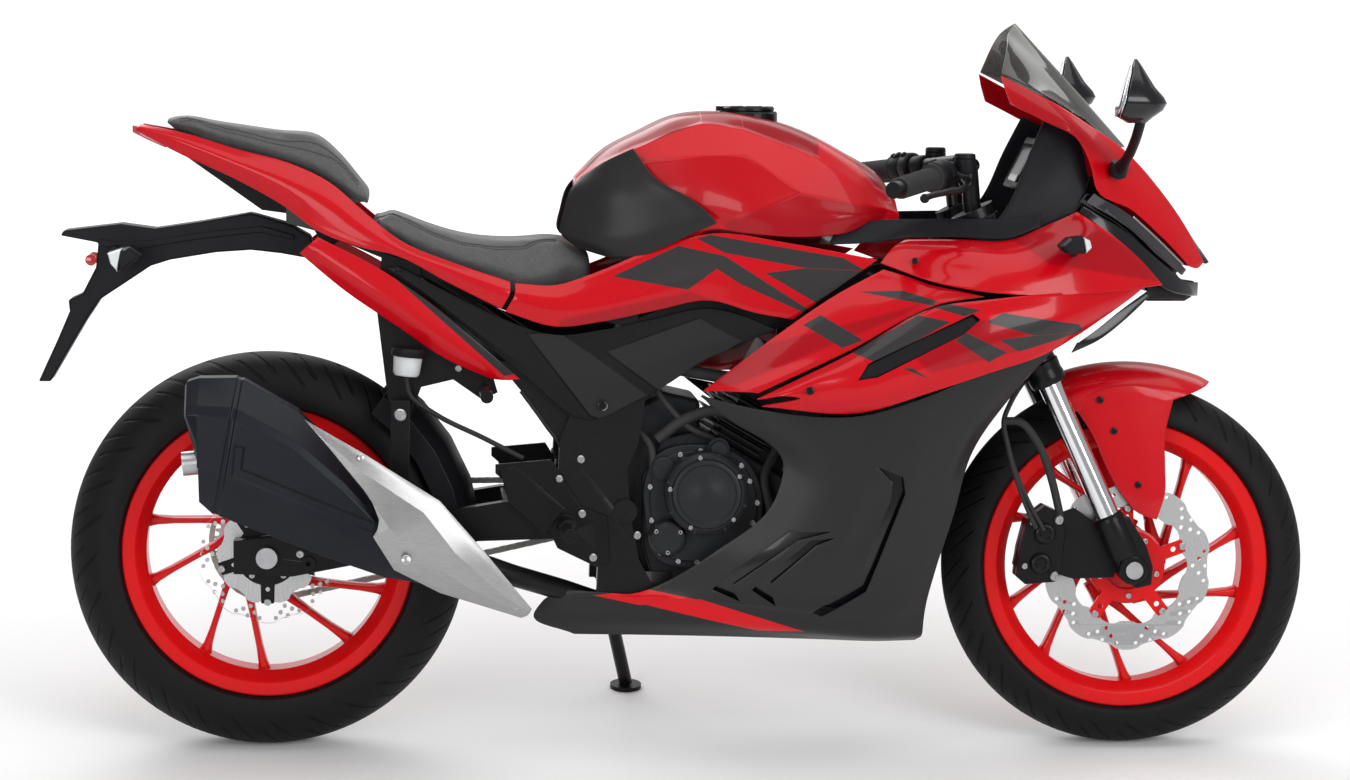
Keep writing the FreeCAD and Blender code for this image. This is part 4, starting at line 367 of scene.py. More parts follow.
def piece(name, mesh, finish, body="frame", hides=(), sharp=38.0, wall=0.0, bevel=0.0, outwards=True):
    """Finishes a shape that was drawn upright in millimetres."""
    bmesh.ops.remove_doubles(mesh, verts=mesh.verts[:], dist=0.02)
    if outwards:
        bmesh.ops.recalc_face_normals(mesh, faces=mesh.faces[:])
    data = mesh_data(name, mesh)
    data.transform(PLACE)
    thing = settle(name, data, finish, body, hides, sharp)
    if wall:
        solid = thing.modifiers.new("Wall", "SOLIDIFY")
        solid.thickness = wall * 0.001
        solid.offset = -1
        solid.use_even_offset = False
    if bevel:
        soften(thing, bevel, 40)
    return thing


def panels(name, grid, finish, hides=(), body="frame", wall=PANEL_WALL, bevel=0.9, sides="both", sharp=28.0,
           holes=(), press=None):
    """A body panel from the grid of its outer face on the right side, its twin on the left, or both."""
    mesh = drawn((add_grid, grid))
    open_up(mesh, holes)
    if press:
        for vert in mesh.verts:
            vert.co -= SIDEWAYS * press(vert.co)
    shown_from(mesh, OUTWARD)
    if sides == "left":
        bmesh.ops.scale(mesh, vec=(1, -1, 1), verts=mesh.verts[:])
        bmesh.ops.reverse_faces(mesh, faces=mesh.faces[:])
    if sides == "both":
        add_mirrored(mesh)
    return piece(name, mesh, finish, body, hides, sharp, wall, bevel, outwards=False)


def cad_copy(node):
    """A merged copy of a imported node's mesh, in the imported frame."""
    mesh = bmesh.new()
    mesh.from_mesh(frame["nodes"][node].data)
    bmesh.ops.remove_doubles(mesh, verts=mesh.verts[:], dist=2e-5)
    bmesh.ops.dissolve_limit(mesh, angle_limit=math.radians(1.5), verts=mesh.verts[:], edges=mesh.edges[:])
    return mesh


def refined(node, finish, bevel):
    """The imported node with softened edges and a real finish."""
    data = mesh_data(node + "_finished", cad_copy(node))
    thing = settle(node + "_finished", data, finish, frame["nodes"][node]["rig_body"], (node,), 35)
    soften(thing, bevel, 35)


def baked(thing):
    """Turns what the modifiers make into the piece's own mesh."""
    bpy.context.view_layer.update()
    mesh = bpy.data.meshes.new_from_object(thing.evaluated_get(bpy.context.evaluated_depsgraph_get()))
    thing.modifiers.clear()
    thing.data = mesh


# Finishes

def add_node(tree, kind, settings=(), inputs=()):
    """Adds a node with its settings. Each input is linked to a socket or given a value."""
    made = tree.nodes.new(kind)
    for key, value in dict(settings).items():
        setattr(made, key, value)
    for key, value in dict(inputs).items():
        value = getattr(value, "socket", value)
        if isinstance(value, bpy.types.NodeSocket):
            tree.links.new(value, made.inputs[key])
        else:
            made.inputs[key].default_value = value
    return made


class Flow:
    """A value of a node tree. Sums and products of flows add their Math nodes."""

    def __init__(self, paint, socket):
        self.paint = paint
        self.socket = socket

    def __add__(self, other):
        return self.paint.maths("ADD", self, other)

    def __sub__(self, other):
        return self.paint.maths("SUBTRACT", self, other)

    def __rsub__(self, other):
        return self.paint.maths("SUBTRACT", other, self)

    def __mul__(self, other):
        return self.paint.maths("MULTIPLY", self, other)

    def __truediv__(self, other):
        return self.paint.maths("DIVIDE", self, other)

    __radd__ = __add__
    __rmul__ = __mul__


class Paint:
    """One node material in the making."""

    def __init__(self, name, colour, roughness, metallic=0.0, **constants):
        material = bpy.data.materials.new(name)
        material.use_nodes = True
        self.tree = material.node_tree
        self.shader = self.tree.nodes["Principled BSDF"]
        self.colour = (*colour, 1.0)
        self.roughness = roughness
        constants.update({"Base Color": self.colour, "Roughness": roughness, "Metallic": metallic})
        for key, value in constants.items():
            self.shader.inputs[key.replace("_", " ")].default_value = value
        coordinates = add_node(self.tree, "ShaderNodeTexCoord")
        self.place = Flow(self, coordinates.outputs["Object"])
        self.chart = Flow(self, coordinates.outputs["UV"])
        self.parts = None
        self.bumps = None

    def flow(self, kind, inputs, output=0, **settings):
        return Flow(self, add_node(self.tree, "ShaderNode" + kind, settings, inputs).outputs[output])

    def maths(self, operation, first, second=0.0):
        return self.flow("Math", {0: first, 1: second}, operation=operation)

    def clamped(self, value):
        return self.flow("Math", {0: value, 1: 1.0}, operation="MULTIPLY", use_clamp=True)

    def stretched(self, scale, turn=(0, 0, 0), source=None):
        return self.flow("Mapping", {"Vector": source or self.place, "Scale": scale, "Rotation": turn})

    def split(self, source):
        parts = add_node(self.tree, "ShaderNodeSeparateXYZ", (), {0: source})
        return [Flow(self, output) for output in parts.outputs]

    def upright(self):
        """Forward, sideways and up in millimetres of the upright machine."""
        if not self.parts:
            self.parts = self.split(self.flow("Mapping", {
                "Vector": self.place, "Rotation": (LEAN, 0, 0), "Scale": (1000, 1000, 1000),
                "Location": LEANED.inverted() @ SHIFT * -1000}))
        return self.parts

    def noise(self, scale, detail=3.0, source=None):
        return self.flow("TexNoise", {"Vector": source or self.place, "Scale": scale, "Detail": detail,
                                      "Roughness": 0.55})

    def cells(self, scale):
        return self.flow("TexVoronoi", {"Vector": self.place, "Scale": scale}, "Distance")

    def waves(self, scale):
        return self.flow("TexWave", {"Vector": self.place, "Scale": scale}, 1)

    def mixed(self, factor, first, second):
        return self.flow("Mix", {0: factor, 6: first, 7: second}, 2, data_type="RGBA")

    def feed(self, socket, value):
        self.tree.links.new(value.socket, self.shader.inputs[socket])

    def coloured(self, value):
        self.feed("Base Color", value)

    def bump(self, height, strength, depth):
        inputs = {"Height": height, "Strength": strength, "Distance": depth * 0.001}
        if self.bumps:
            inputs["Normal"] = self.bumps
        self.bumps = self.flow("Bump", inputs)
        self.feed("Normal", self.bumps)

    def tinted(self, base, spread, scale):
        """The base colour, darker and lighter in soft clouds."""
        low = tuple(c * (1 - spread) for c in base[:3]) + (1.0,)
        high = tuple(min(1.0, c * (1 + spread)) for c in base[:3]) + (1.0,)
        return self.mixed(self.noise(scale), low, high)

    def worn(self, spread, scale=30.0):
        self.feed("Roughness", self.noise(scale, 5.0) * spread + (self.roughness - spread / 2))

    def inside(self, corners, softness):
        """A mask of one shape without hollows, from its corners in the photograph."""
        corners = [Vector(corner) for corner in flat_outline(corners)]
        across, _, up = self.upright()
        middle = sum(corners, Vector((0, 0))) / len(corners)
        mask = None
        for a, b in zip(corners, corners[1:] + corners[:1]):
            normal = Vector((a.y - b.y, b.x - a.x)).normalized()
            if normal.dot(middle - a) < 0:
                normal = -normal
            edge = across * normal.x + up * normal.y - normal.dot(a)
            mask = edge if mask is None else self.maths("MINIMUM", mask, edge)
        return self.clamped(mask / softness + 0.5)

    def covered(self, shapes, softness=1.2):
        """A mask of several shapes."""
        whole = self.inside(shapes[0], softness)
        for shape in shapes[1:]:
            whole = self.maths("MAXIMUM", whole, self.inside(shape, softness))
        return whole


def plain(name, colour, roughness, metallic, clouds, grain, worn, **constants):
    """One colour in soft clouds, with a grain of its own kind, strength and depth, and uneven polish."""
    paint = Paint(name, colour, roughness, metallic, **constants)
    paint.coloured(paint.tinted(colour, *clouds))
    if grain:
        kind, values, strength, depth = grain
        paint.bump(getattr(paint, kind)(*values), strength, depth)
    if worn:
        paint.worn(*worn)
    return paint


def metal(name, base, roughness, metallic, fine, depth, spread, coat=0.0):
    plain(name, base, roughness, metallic, (spread, fine / 3), ("noise", (fine, 5.0), 0.2, depth),
          (0.14, fine / 6), Coat_Weight=coat, Specular_IOR_Level=0.2)


def lens(name, colour, alpha, rough=0.06, glow=0.0):
    paint = plain(name, colour, rough, 0.0, (0.12, 55.0), ("waves", (260.0,), 0.12, 0.4), (0.04, 60.0),
                  Coat_Weight=0.8, Coat_Roughness=0.03, Alpha=alpha)
    if glow:
        paint.shader.inputs["Emission Color"].default_value = (*colour, 1.0)
        paint.shader.inputs["Emission Strength"].default_value = glow


METALS = {
    "steel": ((0.46, 0.46, 0.47), 0.32, 1.0, 300.0, 0.15, 0.12),
    "chain_steel": ((0.30, 0.29, 0.28), 0.38, 1.0, 240.0, 0.2, 0.3),
    "cast_grey": ((0.020, 0.021, 0.023), 0.42, 0.35, 620.0, 0.35, 0.25),
    "frame_paint": ((0.007, 0.007, 0.008), 0.36, 0.2, 420.0, 0.2, 0.25, 0.1),
    "black_metal": ((0.006, 0.006, 0.007), 0.36, 0.3, 520.0, 0.2, 0.3, 0.1),
    "core_fins": ((0.05, 0.05, 0.055), 0.45, 0.8, 300.0, 0.2, 0.3)}
LENSES = {
    "clear_lens": ((0.50, 0.54, 0.58), 0.55),
    "dark_lens": ((0.012, 0.013, 0.016), 1.0, 0.04),
    "light_strip": ((0.86, 0.90, 0.95), 1.0, 0.12, 0.5),
    # The red lens glows faintly. The spring, the stop button and the side reflectors share it, so they get a
    # painted glow though they are no lamps.
    "red_lens": ((0.40, 0.002, 0.004), 1.0, 0.16, 0.05),
    "amber_lens": ((0.70, 0.72, 0.74), 0.85, 0.08)}
PLAINS = {
    "thread": ((0.06, 0.06, 0.062), 0.75, 0.0, (0.35, 500.0), ("waves", (900.0,), 0.4, 0.3), None),
    "bright_plating": ((0.78, 0.78, 0.80), 0.09, 1.0, (0.05, 40.0), ("noise", (800.0, 2.0), 0.03, 0.1),
                       (0.05, 60.0)),
    "mirror_glass": ((0.70, 0.72, 0.74), 0.03, 1.0, (0.03, 25.0), None, (0.02, 60.0)),
    "grip_rubber": ((0.014, 0.014, 0.014), 0.72, 0.0, (0.4, 120.0), ("cells", (1100.0,), 0.4, 0.4),
                    (0.12, 60.0))}


def black_plastic(name):
    return plain(name, (0.006, 0.006, 0.008), 0.46, 0.0, (0.3, 60.0), ("cells", (900.0,), 0.16, 0.25),
                 (0.16, 26.0), Specular_IOR_Level=0.16)


def gloss_black(name):
    return plain(name, (0.005, 0.005, 0.007), 0.20, 0.0, (0.3, 90.0), ("noise", (300.0, 2.0), 0.04, 0.3),
                 (0.08, 20.0), Coat_Weight=0.3, Coat_Roughness=0.06, Specular_IOR_Level=0.3)


COVER_LIT_FACETS = (
    ((527, 334, 130), (560, 332, 132), (600, 360, 136), (648, 396, 140), (602, 420, 136), (590, 416, 135)),
    ((606, 352, 137), (700, 318, 146), (742, 342, 150), (660, 392, 142)))


def cover_plastic(name):
    """Black plastic with the two embossed faces of the side cover, painted paler where they catch the light."""
    paint = black_plastic(name)
    raised_and_lit = paint.covered(COVER_LIT_FACETS, 3.0)
    # Painted light: the embossed faces are mixed towards a paler grey, as if lit more than the rest of the
    # cover.
    paint.coloured(paint.mixed(raised_and_lit, paint.tinted((0.005, 0.005, 0.006), 0.3, 60.0),
                               (0.017, 0.017, 0.018, 1)))
    paint.bump(raised_and_lit + paint.noise(240.0, 3.0) * 0.05, 0.9, 3.0)


DARK_GRAPHIC = (0.024, 0.022, 0.024, 1.0)
# A darker crimson, painted as shade on the tank and the fairings.
PAINTED_SHADE_CRIMSON = (0.17, 0.001, 0.006, 1)


def coat_of_red(name, colour=None):
    paint = Paint(name, colour or look().red, 0.30, Coat_Weight=0.28, Coat_Roughness=0.06,
                  Specular_IOR_Level=0.14)
    paint.bump(paint.noise(260.0, 2.0), 0.06, 0.4)
    paint.worn(0.06, 22.0)
    return paint, paint.tinted(paint.colour, 0.10, 900.0)


def red_paint(name):
    paint, base = coat_of_red(name)
    paint.coloured(base)


TANK_BROW = (
    ((571, 177, 110), (633, 148, 110), (700, 90, 110), (540, 150, 110)),
    ((633, 148, 110), (703, 122, 110), (703, 90, 110), (633, 90, 110)),
    ((703, 122, 110), (743, 128, 110), (743, 90, 110), (703, 90, 110)),
    ((743, 128, 110), (820, 157, 110), (820, 90, 110), (743, 90, 110)),
    ((820, 157, 110), (878, 188, 110), (893, 208, 110), (915, 208, 110), (915, 90, 110), (820, 90, 110)))
TANK_HOLLOW = ((635, 160, 130), (746, 156, 130), (798, 192, 140), (722, 224, 150), (640, 172, 140))
TANK_FOOT = ((722, 224, 150), (798, 193, 140), (890, 212, 130), (880, 246, 130), (740, 246, 150))


def tank_paint(name):
    """Red, with painted shade in darker crimson on the brow, in the pressed hollow of the side and at the
    crease along its foot.
    """
    paint, base = coat_of_red(name)
    brow = paint.covered(TANK_BROW, 4.0)
    hollow = paint.inside(TANK_HOLLOW, 7.0)
    foot = paint.inside(TANK_FOOT, 7.0)
    # Painted shade: the brow, the hollow and the foot are mixed towards a darker crimson.
    shade = paint.clamped(brow * 0.72 + hollow * 0.22 + foot * 0.50)
    paint.coloured(paint.mixed(shade, base, PAINTED_SHADE_CRIMSON))
    paint.bump(hollow * -1.0 + foot * -0.6 + brow * -0.5, 0.8, 3.0)


def wheel_paint(name):
    paint, base = coat_of_red(name, look().wheel_red)
    paint.shader.inputs["Coat Weight"].default_value = 0.25
    dust = paint.noise(34.0, 6.0)
    paint.coloured(paint.mixed(dust * dust * 0.25, base, (0.25, 0.05, 0.04, 1)))


def tail_paint(name):
    """Red with the grey band that runs down the tail leg."""
    paint, base = coat_of_red(name)
    band = paint.inside(((372, 258, 122), (392, 262, 122), (530, 372, 126), (504, 376, 126)), 1.2)
    paint.coloured(paint.mixed(band, base, DARK_GRAPHIC))


UPPER_BLOCKS = (
    ((697, 239, 150), (711, 235, 150), (844, 258, 170), (866, 271, 175), (805, 268, 165), (725, 253, 155)),
    ((866, 271, 175), (818, 304, 175), (765, 273, 160), (805, 268, 165)),
    ((613, 277, 145), (679, 246, 145), (725, 256, 155), (716, 270, 155), (688, 290, 150)),
    ((714, 267, 155), (725, 256, 155), (811, 311, 175), (804, 313, 175), (740, 284, 160)),
    ((803, 325, 190), (821, 315, 195), (863, 340, 215), (842, 348, 212)),
    ((851, 352, 225), (918, 315, 235), (950, 321.5, 240), (875, 362, 238)),
    ((860, 292, 205), (904, 291, 215), (937, 301, 225), (933, 306, 225)),
    ((933, 307, 228), (946, 303, 228), (980, 309.5, 232), (963, 316, 236)),
    ((955, 340, 245), (965, 332, 243), (1006, 352, 236), (988, 362, 236)),
    ((985, 321.5, 235), (1001, 312, 230), (1079, 324, 200), (1084, 331, 200), (1033, 335, 225)),
    ((1084, 331, 200), (1017, 351, 225), (998, 339, 238), (1033, 335, 225)),
    ((900, 367, 235), (911, 367, 235), (929, 379, 232)))
UPPER_SHADES = (
    ((700, 385, 190), (877, 262, 190), (975, 290, 220), (940, 300, 228), (905, 315, 228), (800, 385, 215)),
    ((905, 350, 240), (965, 318, 240), (1085, 328, 205), (1012, 352, 230), (930, 372, 240)),
    ((1010, 237, 205), (1076, 214, 170), (1165, 272, 140), (1160, 282, 150), (1050, 264, 215)),
    ((560, 320, 140), (690, 292, 150), (800, 330, 165), (700, 330, 160), (560, 345, 140)))


def upper_paint(name):
    """Red with the broken dark blocks of the side graphic, and painted shade in darker crimson on the faces
    turned from the light.
    """
    paint, base = coat_of_red(name)
    blocks = paint.covered(UPPER_BLOCKS)
    dark = paint.mixed(paint.noise(420.0, 4.0), DARK_GRAPHIC, (0.036, 0.032, 0.033, 1))
    # Painted shade: the faces under UPPER_SHADES are half mixed towards a darker crimson.
    shade = paint.covered(UPPER_SHADES, 5.0)
    paint.coloured(paint.mixed(blocks, paint.mixed(shade * 0.5, base, PAINTED_SHADE_CRIMSON), dark))
    paint.feed("Roughness", blocks * 0.14 + paint.noise(22.0, 5.0) * 0.06 + 0.18)


def nose_paint(name):
    """Red with painted shade in darker crimson along the cheek."""
    paint, base = coat_of_red(name)
    # Painted shade: the band along the cheek is mixed towards a darker crimson.
    shade = paint.inside(((1004, 74, 130), (1130, 160, 130), (1136, 176, 130), (1010, 108, 140)), 9.0)
    paint.coloured(paint.mixed(shade * 0.55, base, (0.26, 0.001, 0.006, 1)))


def charcoal_paint(name):
    paint = Paint(name, (0.022, 0.022, 0.023), 0.42, Coat_Weight=0.12, Coat_Roughness=0.22,
                  Specular_IOR_Level=0.16)
    paint.coloured(paint.mixed(paint.cells(1400.0), (0.022, 0.022, 0.023, 1), (0.011, 0.011, 0.012, 1)))
    paint.bump(paint.noise(500.0, 3.0), 0.08, 0.3)
    paint.worn(0.12, 18.0)
    return paint


BELLY_FLASH = (((594, 597, 150), (650, 591, 160), (700, 600, 165), (640, 606, 150)),
               ((640, 604, 150), (700, 599, 165), (806, 634, 190), (760, 634, 180)))


def belly_paint(name):
    """Charcoal, with the red flash low on the belly."""
    paint = charcoal_paint(name)
    base = paint.mixed(paint.cells(1400.0), (0.024, 0.024, 0.025, 1), (0.012, 0.012, 0.013, 1))
    paint.coloured(paint.mixed(paint.covered(BELLY_FLASH), base, (0.62, 0.004, 0.010, 1)))


def seat_cover(name):
    paint = Paint(name, (0.11, 0.11, 0.113), 0.62, Specular_IOR_Level=0.25, Sheen_Weight=0.15,
                  Sheen_Roughness=0.5)
    grain = paint.cells(520.0)
    creases = paint.noise(90.0, 6.0)
    paint.coloured(paint.mixed(grain * 0.7 + creases * 0.3, (0.052, 0.052, 0.054, 1), (0.105, 0.105, 0.107, 1)))
    paint.bump(grain, 0.35, 0.35)
    paint.bump(creases, 0.18, 0.8)
    paint.worn(0.16, 12.0)


# Each row of grooves: its shift round the tyre, where it starts and ends across, and its width
GROOVE_ROWS = ((0.0, 0.04, 0.46, 0.075), (0.5, 0.22, 0.58, 0.060))


def tyre_rubber(name):
    """Rubber whose tread grooves and wall rings follow the tyre's own chart: round it, and across it."""
    paint = Paint(name, (0.005, 0.005, 0.006), 0.60, Specular_IOR_Level=0.16)
    round_way, over, _ = paint.split(paint.chart)
    across = paint.maths("ABSOLUTE", over - 0.5) * 2
    slant = across * across * 0.9 + across * 0.55
    grooves = None
    for offset, low, high, width in GROOVE_ROWS:
        turn = paint.maths("FRACT", round_way * look().tread_blocks + slant * 1.6 + offset)
        line = paint.clamped(1 - paint.maths("ABSOLUTE", turn - 0.5) / width)
        reach = paint.clamped((across - low) * 14) * paint.clamped((high - across) * 14)
        groove = paint.clamped(line * 2.2) * reach
        grooves = groove if grooves is None else paint.maths("MAXIMUM", grooves, groove)
    wall = paint.clamped((across - 0.80) * 40)
    rings = paint.maths("SINE", across * 190) * 0.5 + 0.5
    dust = paint.noise(60.0, 6.0)
    worn = paint.clamped((0.5 - across) * 4) * 0.5
    base = paint.mixed(dust * 0.6 + worn * 0.4, (0.004, 0.004, 0.005, 1), (0.009, 0.009, 0.010, 1))
    # Painted shade: the grooves are coloured darker than the rubber round them.
    paint.coloured(paint.mixed(grooves, base, (0.002, 0.002, 0.002, 1)))
    paint.bump(1 - grooves, 0.9, 4.0)
    paint.bump(rings * wall, 0.35, 0.8)
    paint.bump(dust, 0.15, 0.4)
    paint.worn(0.14, 44.0)


def disc_steel(name):
    """Ground steel, with the marks of the pads in rings. The chart holds the distance from the axle."""
    paint = Paint(name, (0.62, 0.62, 0.63), 0.28, 1.0)
    rings = paint.noise(1.0, 6.0, paint.stretched((900, 6, 1), source=paint.chart))
    swept = paint.clamped((paint.split(paint.chart)[0] - 0.70) * 20)
    paint.coloured(paint.mixed(rings * swept, (0.58, 0.58, 0.59, 1), (0.38, 0.38, 0.40, 1)))
    paint.bump(rings, 0.25, 0.12)
    paint.feed("Roughness", rings * 0.16 + 0.20)


SILENCER_GROOVES = (
    ((232, 476, 250), (236, 467, 250), (376, 524, 250), (374, 533, 250)),
    ((235, 446, 250), (244, 448, 250), (240, 477, 250), (232, 476, 250)))


def exhaust_black(name):
    paint = Paint(name, (0.006, 0.007, 0.012), 0.40, 0.2, Coat_Weight=0.12, Coat_Roughness=0.3,
                  Specular_IOR_Level=0.2)
    paint.coloured(paint.mixed(paint.noise(9.0, 4.0), (0.004, 0.005, 0.009, 1), (0.008, 0.010, 0.016, 1)))
    paint.bump(paint.noise(700.0, 3.0), 0.14, 0.2)
    paint.bump(paint.covered(SILENCER_GROOVES, 4.0) * -1.0, 1.0, 4.0)
    paint.worn(0.14, 14.0)


def brushed_alloy(name):
    paint = Paint(name, (0.42, 0.42, 0.42), 0.34, 1.0)
    strokes = paint.noise(1.0, 6.0, paint.stretched((60, 400, 1400), (0, math.radians(-38), 0)))
    paint.coloured(paint.mixed(strokes, (0.28, 0.28, 0.28, 1), (0.50, 0.50, 0.50, 1)))
    paint.bump(strokes, 0.22, 0.15)
    paint.feed("Roughness", strokes * 0.2 + 0.22)


def screen_glass(name):
    """Smoked plastic, darker towards its foot."""
    paint = Paint(name, (0.012, 0.011, 0.010), 0.07, Coat_Weight=0.5, Coat_Roughness=0.03)
    shade = paint.clamped((paint.upright()[2] - 980) / 170)
    paint.coloured(paint.mixed(shade, (0.010, 0.009, 0.008, 1), (0.040, 0.038, 0.030, 1)))
    paint.feed("Alpha", shade * -0.14 + 0.90 + paint.noise(8.0) * 0.02)
    paint.worn(0.03, 30.0)


PAINTED = {maker.__name__: maker for maker in (
    red_paint, wheel_paint, tail_paint, upper_paint, nose_paint, tank_paint, charcoal_paint, belly_paint,
    black_plastic, cover_plastic, gloss_black, seat_cover, tyre_rubber, disc_steel, exhaust_black,
    brushed_alloy, screen_glass)}


def finished(name):
    """The named finish, made when it is first asked for."""
    own_name = name + "_finish"
    if own_name not in bpy.data.materials:
        if name in PAINTED:
            PAINTED[name](own_name)
        for table, maker in ((METALS, metal), (LENSES, lens), (PLAINS, plain)):
            if name in table:
                maker(own_name, *table[name])
    return bpy.data.materials[own_name]


# Repeating with geometry nodes

class Recipe:
    """A geometry node tree with named inputs, that ends in real geometry with its finish."""

    def __init__(self, name, **sizes):
        self.tree = bpy.data.node_groups.new(name, "GeometryNodeTree")
        for way in ("INPUT", "OUTPUT"):
            self.tree.interface.new_socket("Geometry", in_out=way, socket_type="NodeSocketGeometry")
        self.keys = {}
        for key, kind in sizes.items():
            socket = self.tree.interface.new_socket(key, in_out="INPUT", socket_type="NodeSocket" + kind)
            self.keys[key] = socket.identifier
        self.start = self.tree.nodes.new("NodeGroupInput").outputs

    def add(self, kind, inputs=(), **settings):
        """Adds a geometry node and gives its outputs."""
        return add_node(self.tree, "GeometryNode" + kind, settings, inputs).outputs

    def close(self, finish, **inputs):
        """Sets the shape on its points and ends the tree."""
        copies = self.add("InstanceOnPoints", inputs)
        real = self.add("RealizeInstances", {0: copies[0]})
        coloured = self.add("SetMaterial", {"Geometry": real[0], "Material": finished(finish)})
        add_node(self.tree, "NodeGroupOutput", (), {0: coloured[0]})
        return self

    def grow(self, name, mesh, place, **values):
        """Runs the tree on a mesh and gives the plain result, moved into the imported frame."""
        source = linked(name + "_source", mesh_data(name, mesh))
        modifier = source.modifiers.new("Repeat", "NODES")
        modifier.node_group = self.tree
        for key, value in values.items():
            modifier[self.keys[key]] = value
        baked(source)
        result = source.data
        bpy.data.objects.remove(source)
        result.transform(place)
        return result


def round_recipe(finish):
    """Repeats a shape round the Y axis."""
    recipe = Recipe("Repeat round an axle", Count="Int", First="Float", Step="Float")
    start = recipe.start
    index = recipe.add("InputIndex")
    turn = add_node(recipe.tree, "ShaderNodeMath", {"operation": "MULTIPLY_ADD"},
                    {0: index[0], 1: start["Step"], 2: start["First"]})
    euler = add_node(recipe.tree, "ShaderNodeCombineXYZ", (), {1: turn.outputs[0]})
    return recipe.close(finish, Points=recipe.add("Points", {"Count": start["Count"]})[0],
                        Instance=start["Geometry"], Rotation=euler.outputs[0])


def row_recipe(finish):
    """Repeats a shape in a straight row."""
    recipe = Recipe("Repeat in a row", Count="Int", Step="Vector")
    start = recipe.start
    index = recipe.add("InputIndex")
    offset = add_node(recipe.tree, "ShaderNodeVectorMath", {"operation": "SCALE"},
                      {0: start["Step"], "Scale": index[0]})
    points = recipe.add("Points", {"Count": start["Count"]})
    placed = recipe.add("SetPosition", {"Geometry": points[0], "Position": offset.outputs[0]})
    return recipe.close(finish, Points=placed[0], Instance=start["Geometry"])


def scatter_recipe(finish):
    """Sets a shape on loose points. The shape's corners have the mark, and each point its turn and size."""
    recipe = Recipe("Set on points")
    mark = recipe.add("InputNamedAttribute", {0: "mark"}, data_type="FLOAT")
    split = recipe.add("SeparateGeometry", {0: recipe.start["Geometry"], 1: mark[0]}, domain="POINT")
    turn = recipe.add("InputNamedAttribute", {0: "turn"}, data_type="FLOAT_VECTOR")
    large = recipe.add("InputNamedAttribute", {0: "large"}, data_type="FLOAT")
    points = recipe.add("MeshToPoints", {0: split[1]})
    return recipe.close(finish, Points=points[0], Instance=split[0], Rotation=turn[0], Scale=large[0])


def scattered(name, shape, places, finish, body="frame"):
    """A shape on many places. A place is its point, the way its Z looks or its own turn, and its size."""
    mark = shape.verts.layers.float.new("mark")
    turn = shape.verts.layers.float_vector.new("turn")
    large = shape.verts.layers.float.new("large")
    for vertex in shape.verts:
        vertex[mark] = 1.0
    for point, way, scale in places:
        vertex = shape.verts.new(point)
        vertex[turn] = way if isinstance(way, tuple) else facing(way).to_euler()
        vertex[large] = scale
    return settle(name, scatter_recipe(finish).grow(name, shape, PLACE), finish, body)


def bolt_head(radius, height, socket=True):
    """A bolt head along Z, its foot sunk a little, with a round socket or a plain top."""
    profile = [(-1.5, radius), (height * 0.8, radius), (height, radius * 0.8)]
    if socket:
        profile += [(height, radius * 0.5), (height * 0.45, radius * 0.45)]
    mesh = drawn((add_lathe, profile, (0, 0, 0), UPWARD, 12))
    bmesh.ops.recalc_face_normals(mesh, faces=mesh.faces[:])
    return mesh


def both_sides(rows, rise=0.0):
    """Places on both sides, from rows of forward, up, distance from the middle and size."""
    return [(Vector((x, way * out, z)), Vector((0, way, rise)), size)
            for x, z, out, size in rows for way in (-1, 1)]


def twin_places(rows, gap=0.0, rise=0.0):
    """Places on both sides, from rows of a pixel, its distance from the middle and a size."""
    spots = [(seen(across, down, side), side + gap, size) for across, down, side, size in rows]
    return both_sides([(point.x, point.z, out, size) for point, out, size in spots], rise)


# Wheels

WHEEL_PLACE = {"front_wheel": FRONT_AXLE, "rear_wheel": REAR_AXLE}
ALONG_Y = Matrix.Rotation(math.radians(90), 4, "X")
AXLE_HOLE = 12
SPOKE_PAIRS = 5
PAIR_ANGLE = 29
SPOKE_END = 197.0
# Shares of a spoke's length, each with its width in spoke widths
SPOKE_WIDTHS = ((0.0, 2.1), (0.10, 1.5), (0.24, 1.10), (0.5, 0.90), (0.75, 0.95), (0.90, 1.25), (1.0, 1.9))
# Corners of a spoke's section: shares of half its width and half its depth, and the depth cut off there
SPOKE_SECTION = ((-1, -1, 5), (-0.55, -1, 0), (0.55, -1, 0), (1, -1, 5), (1, 1, 5), (0.55, 1, 0), (-0.55, 1, 0),
                 (-1, 1, 5))


def tyre(name, body, node, radius, width, rim_width):
    """A tyre as rings of its section, charted round it and across it."""
    crown = width / 2
    level = radius - crown
    bead = rim_width / 2 - 6
    half = [(bead - 1, 217), (bead, 231), ((bead + crown) / 2 - 1, 231.5), (crown - 1.6, 235)]
    count = 26
    arc = [(crown * math.cos(math.pi * k / count), level + crown * math.sin(math.pi * k / count))
           for k in range(count + 1)]
    section = half + arc + [(-y, r) for y, r in reversed(half)]
    lengths = [0.0]
    for (y, r), (next_y, next_r) in zip(section, section[1:]):
        lengths.append(lengths[-1] + math.hypot(next_y - y, next_r - r))
    mesh = bmesh.new()
    chart = mesh.loops.layers.uv.new("UVMap")
    rings = [[mesh.verts.new(about(WHEEL_PLACE[body], r, turn, y)) for y, r in section] for turn in turns(144)]
    for k, ring in enumerate(rings):
        following = rings[(k + 1) % len(rings)]
        for j in range(len(section) - 1):
            face = mesh.faces.new((ring[j], following[j], following[j + 1], ring[j + 1]))
            for loop, (step, row) in zip(face.loops, ((k, j), (k + 1, j), (k + 1, j + 1), (k, j + 1))):
                loop[chart].uv = (step / len(rings), lengths[row] / lengths[-1])
        mesh.faces.new((ring[-1], following[-1], following[0], ring[0]))
    piece(name, mesh, "tyre_rubber", body, (node,), 50)


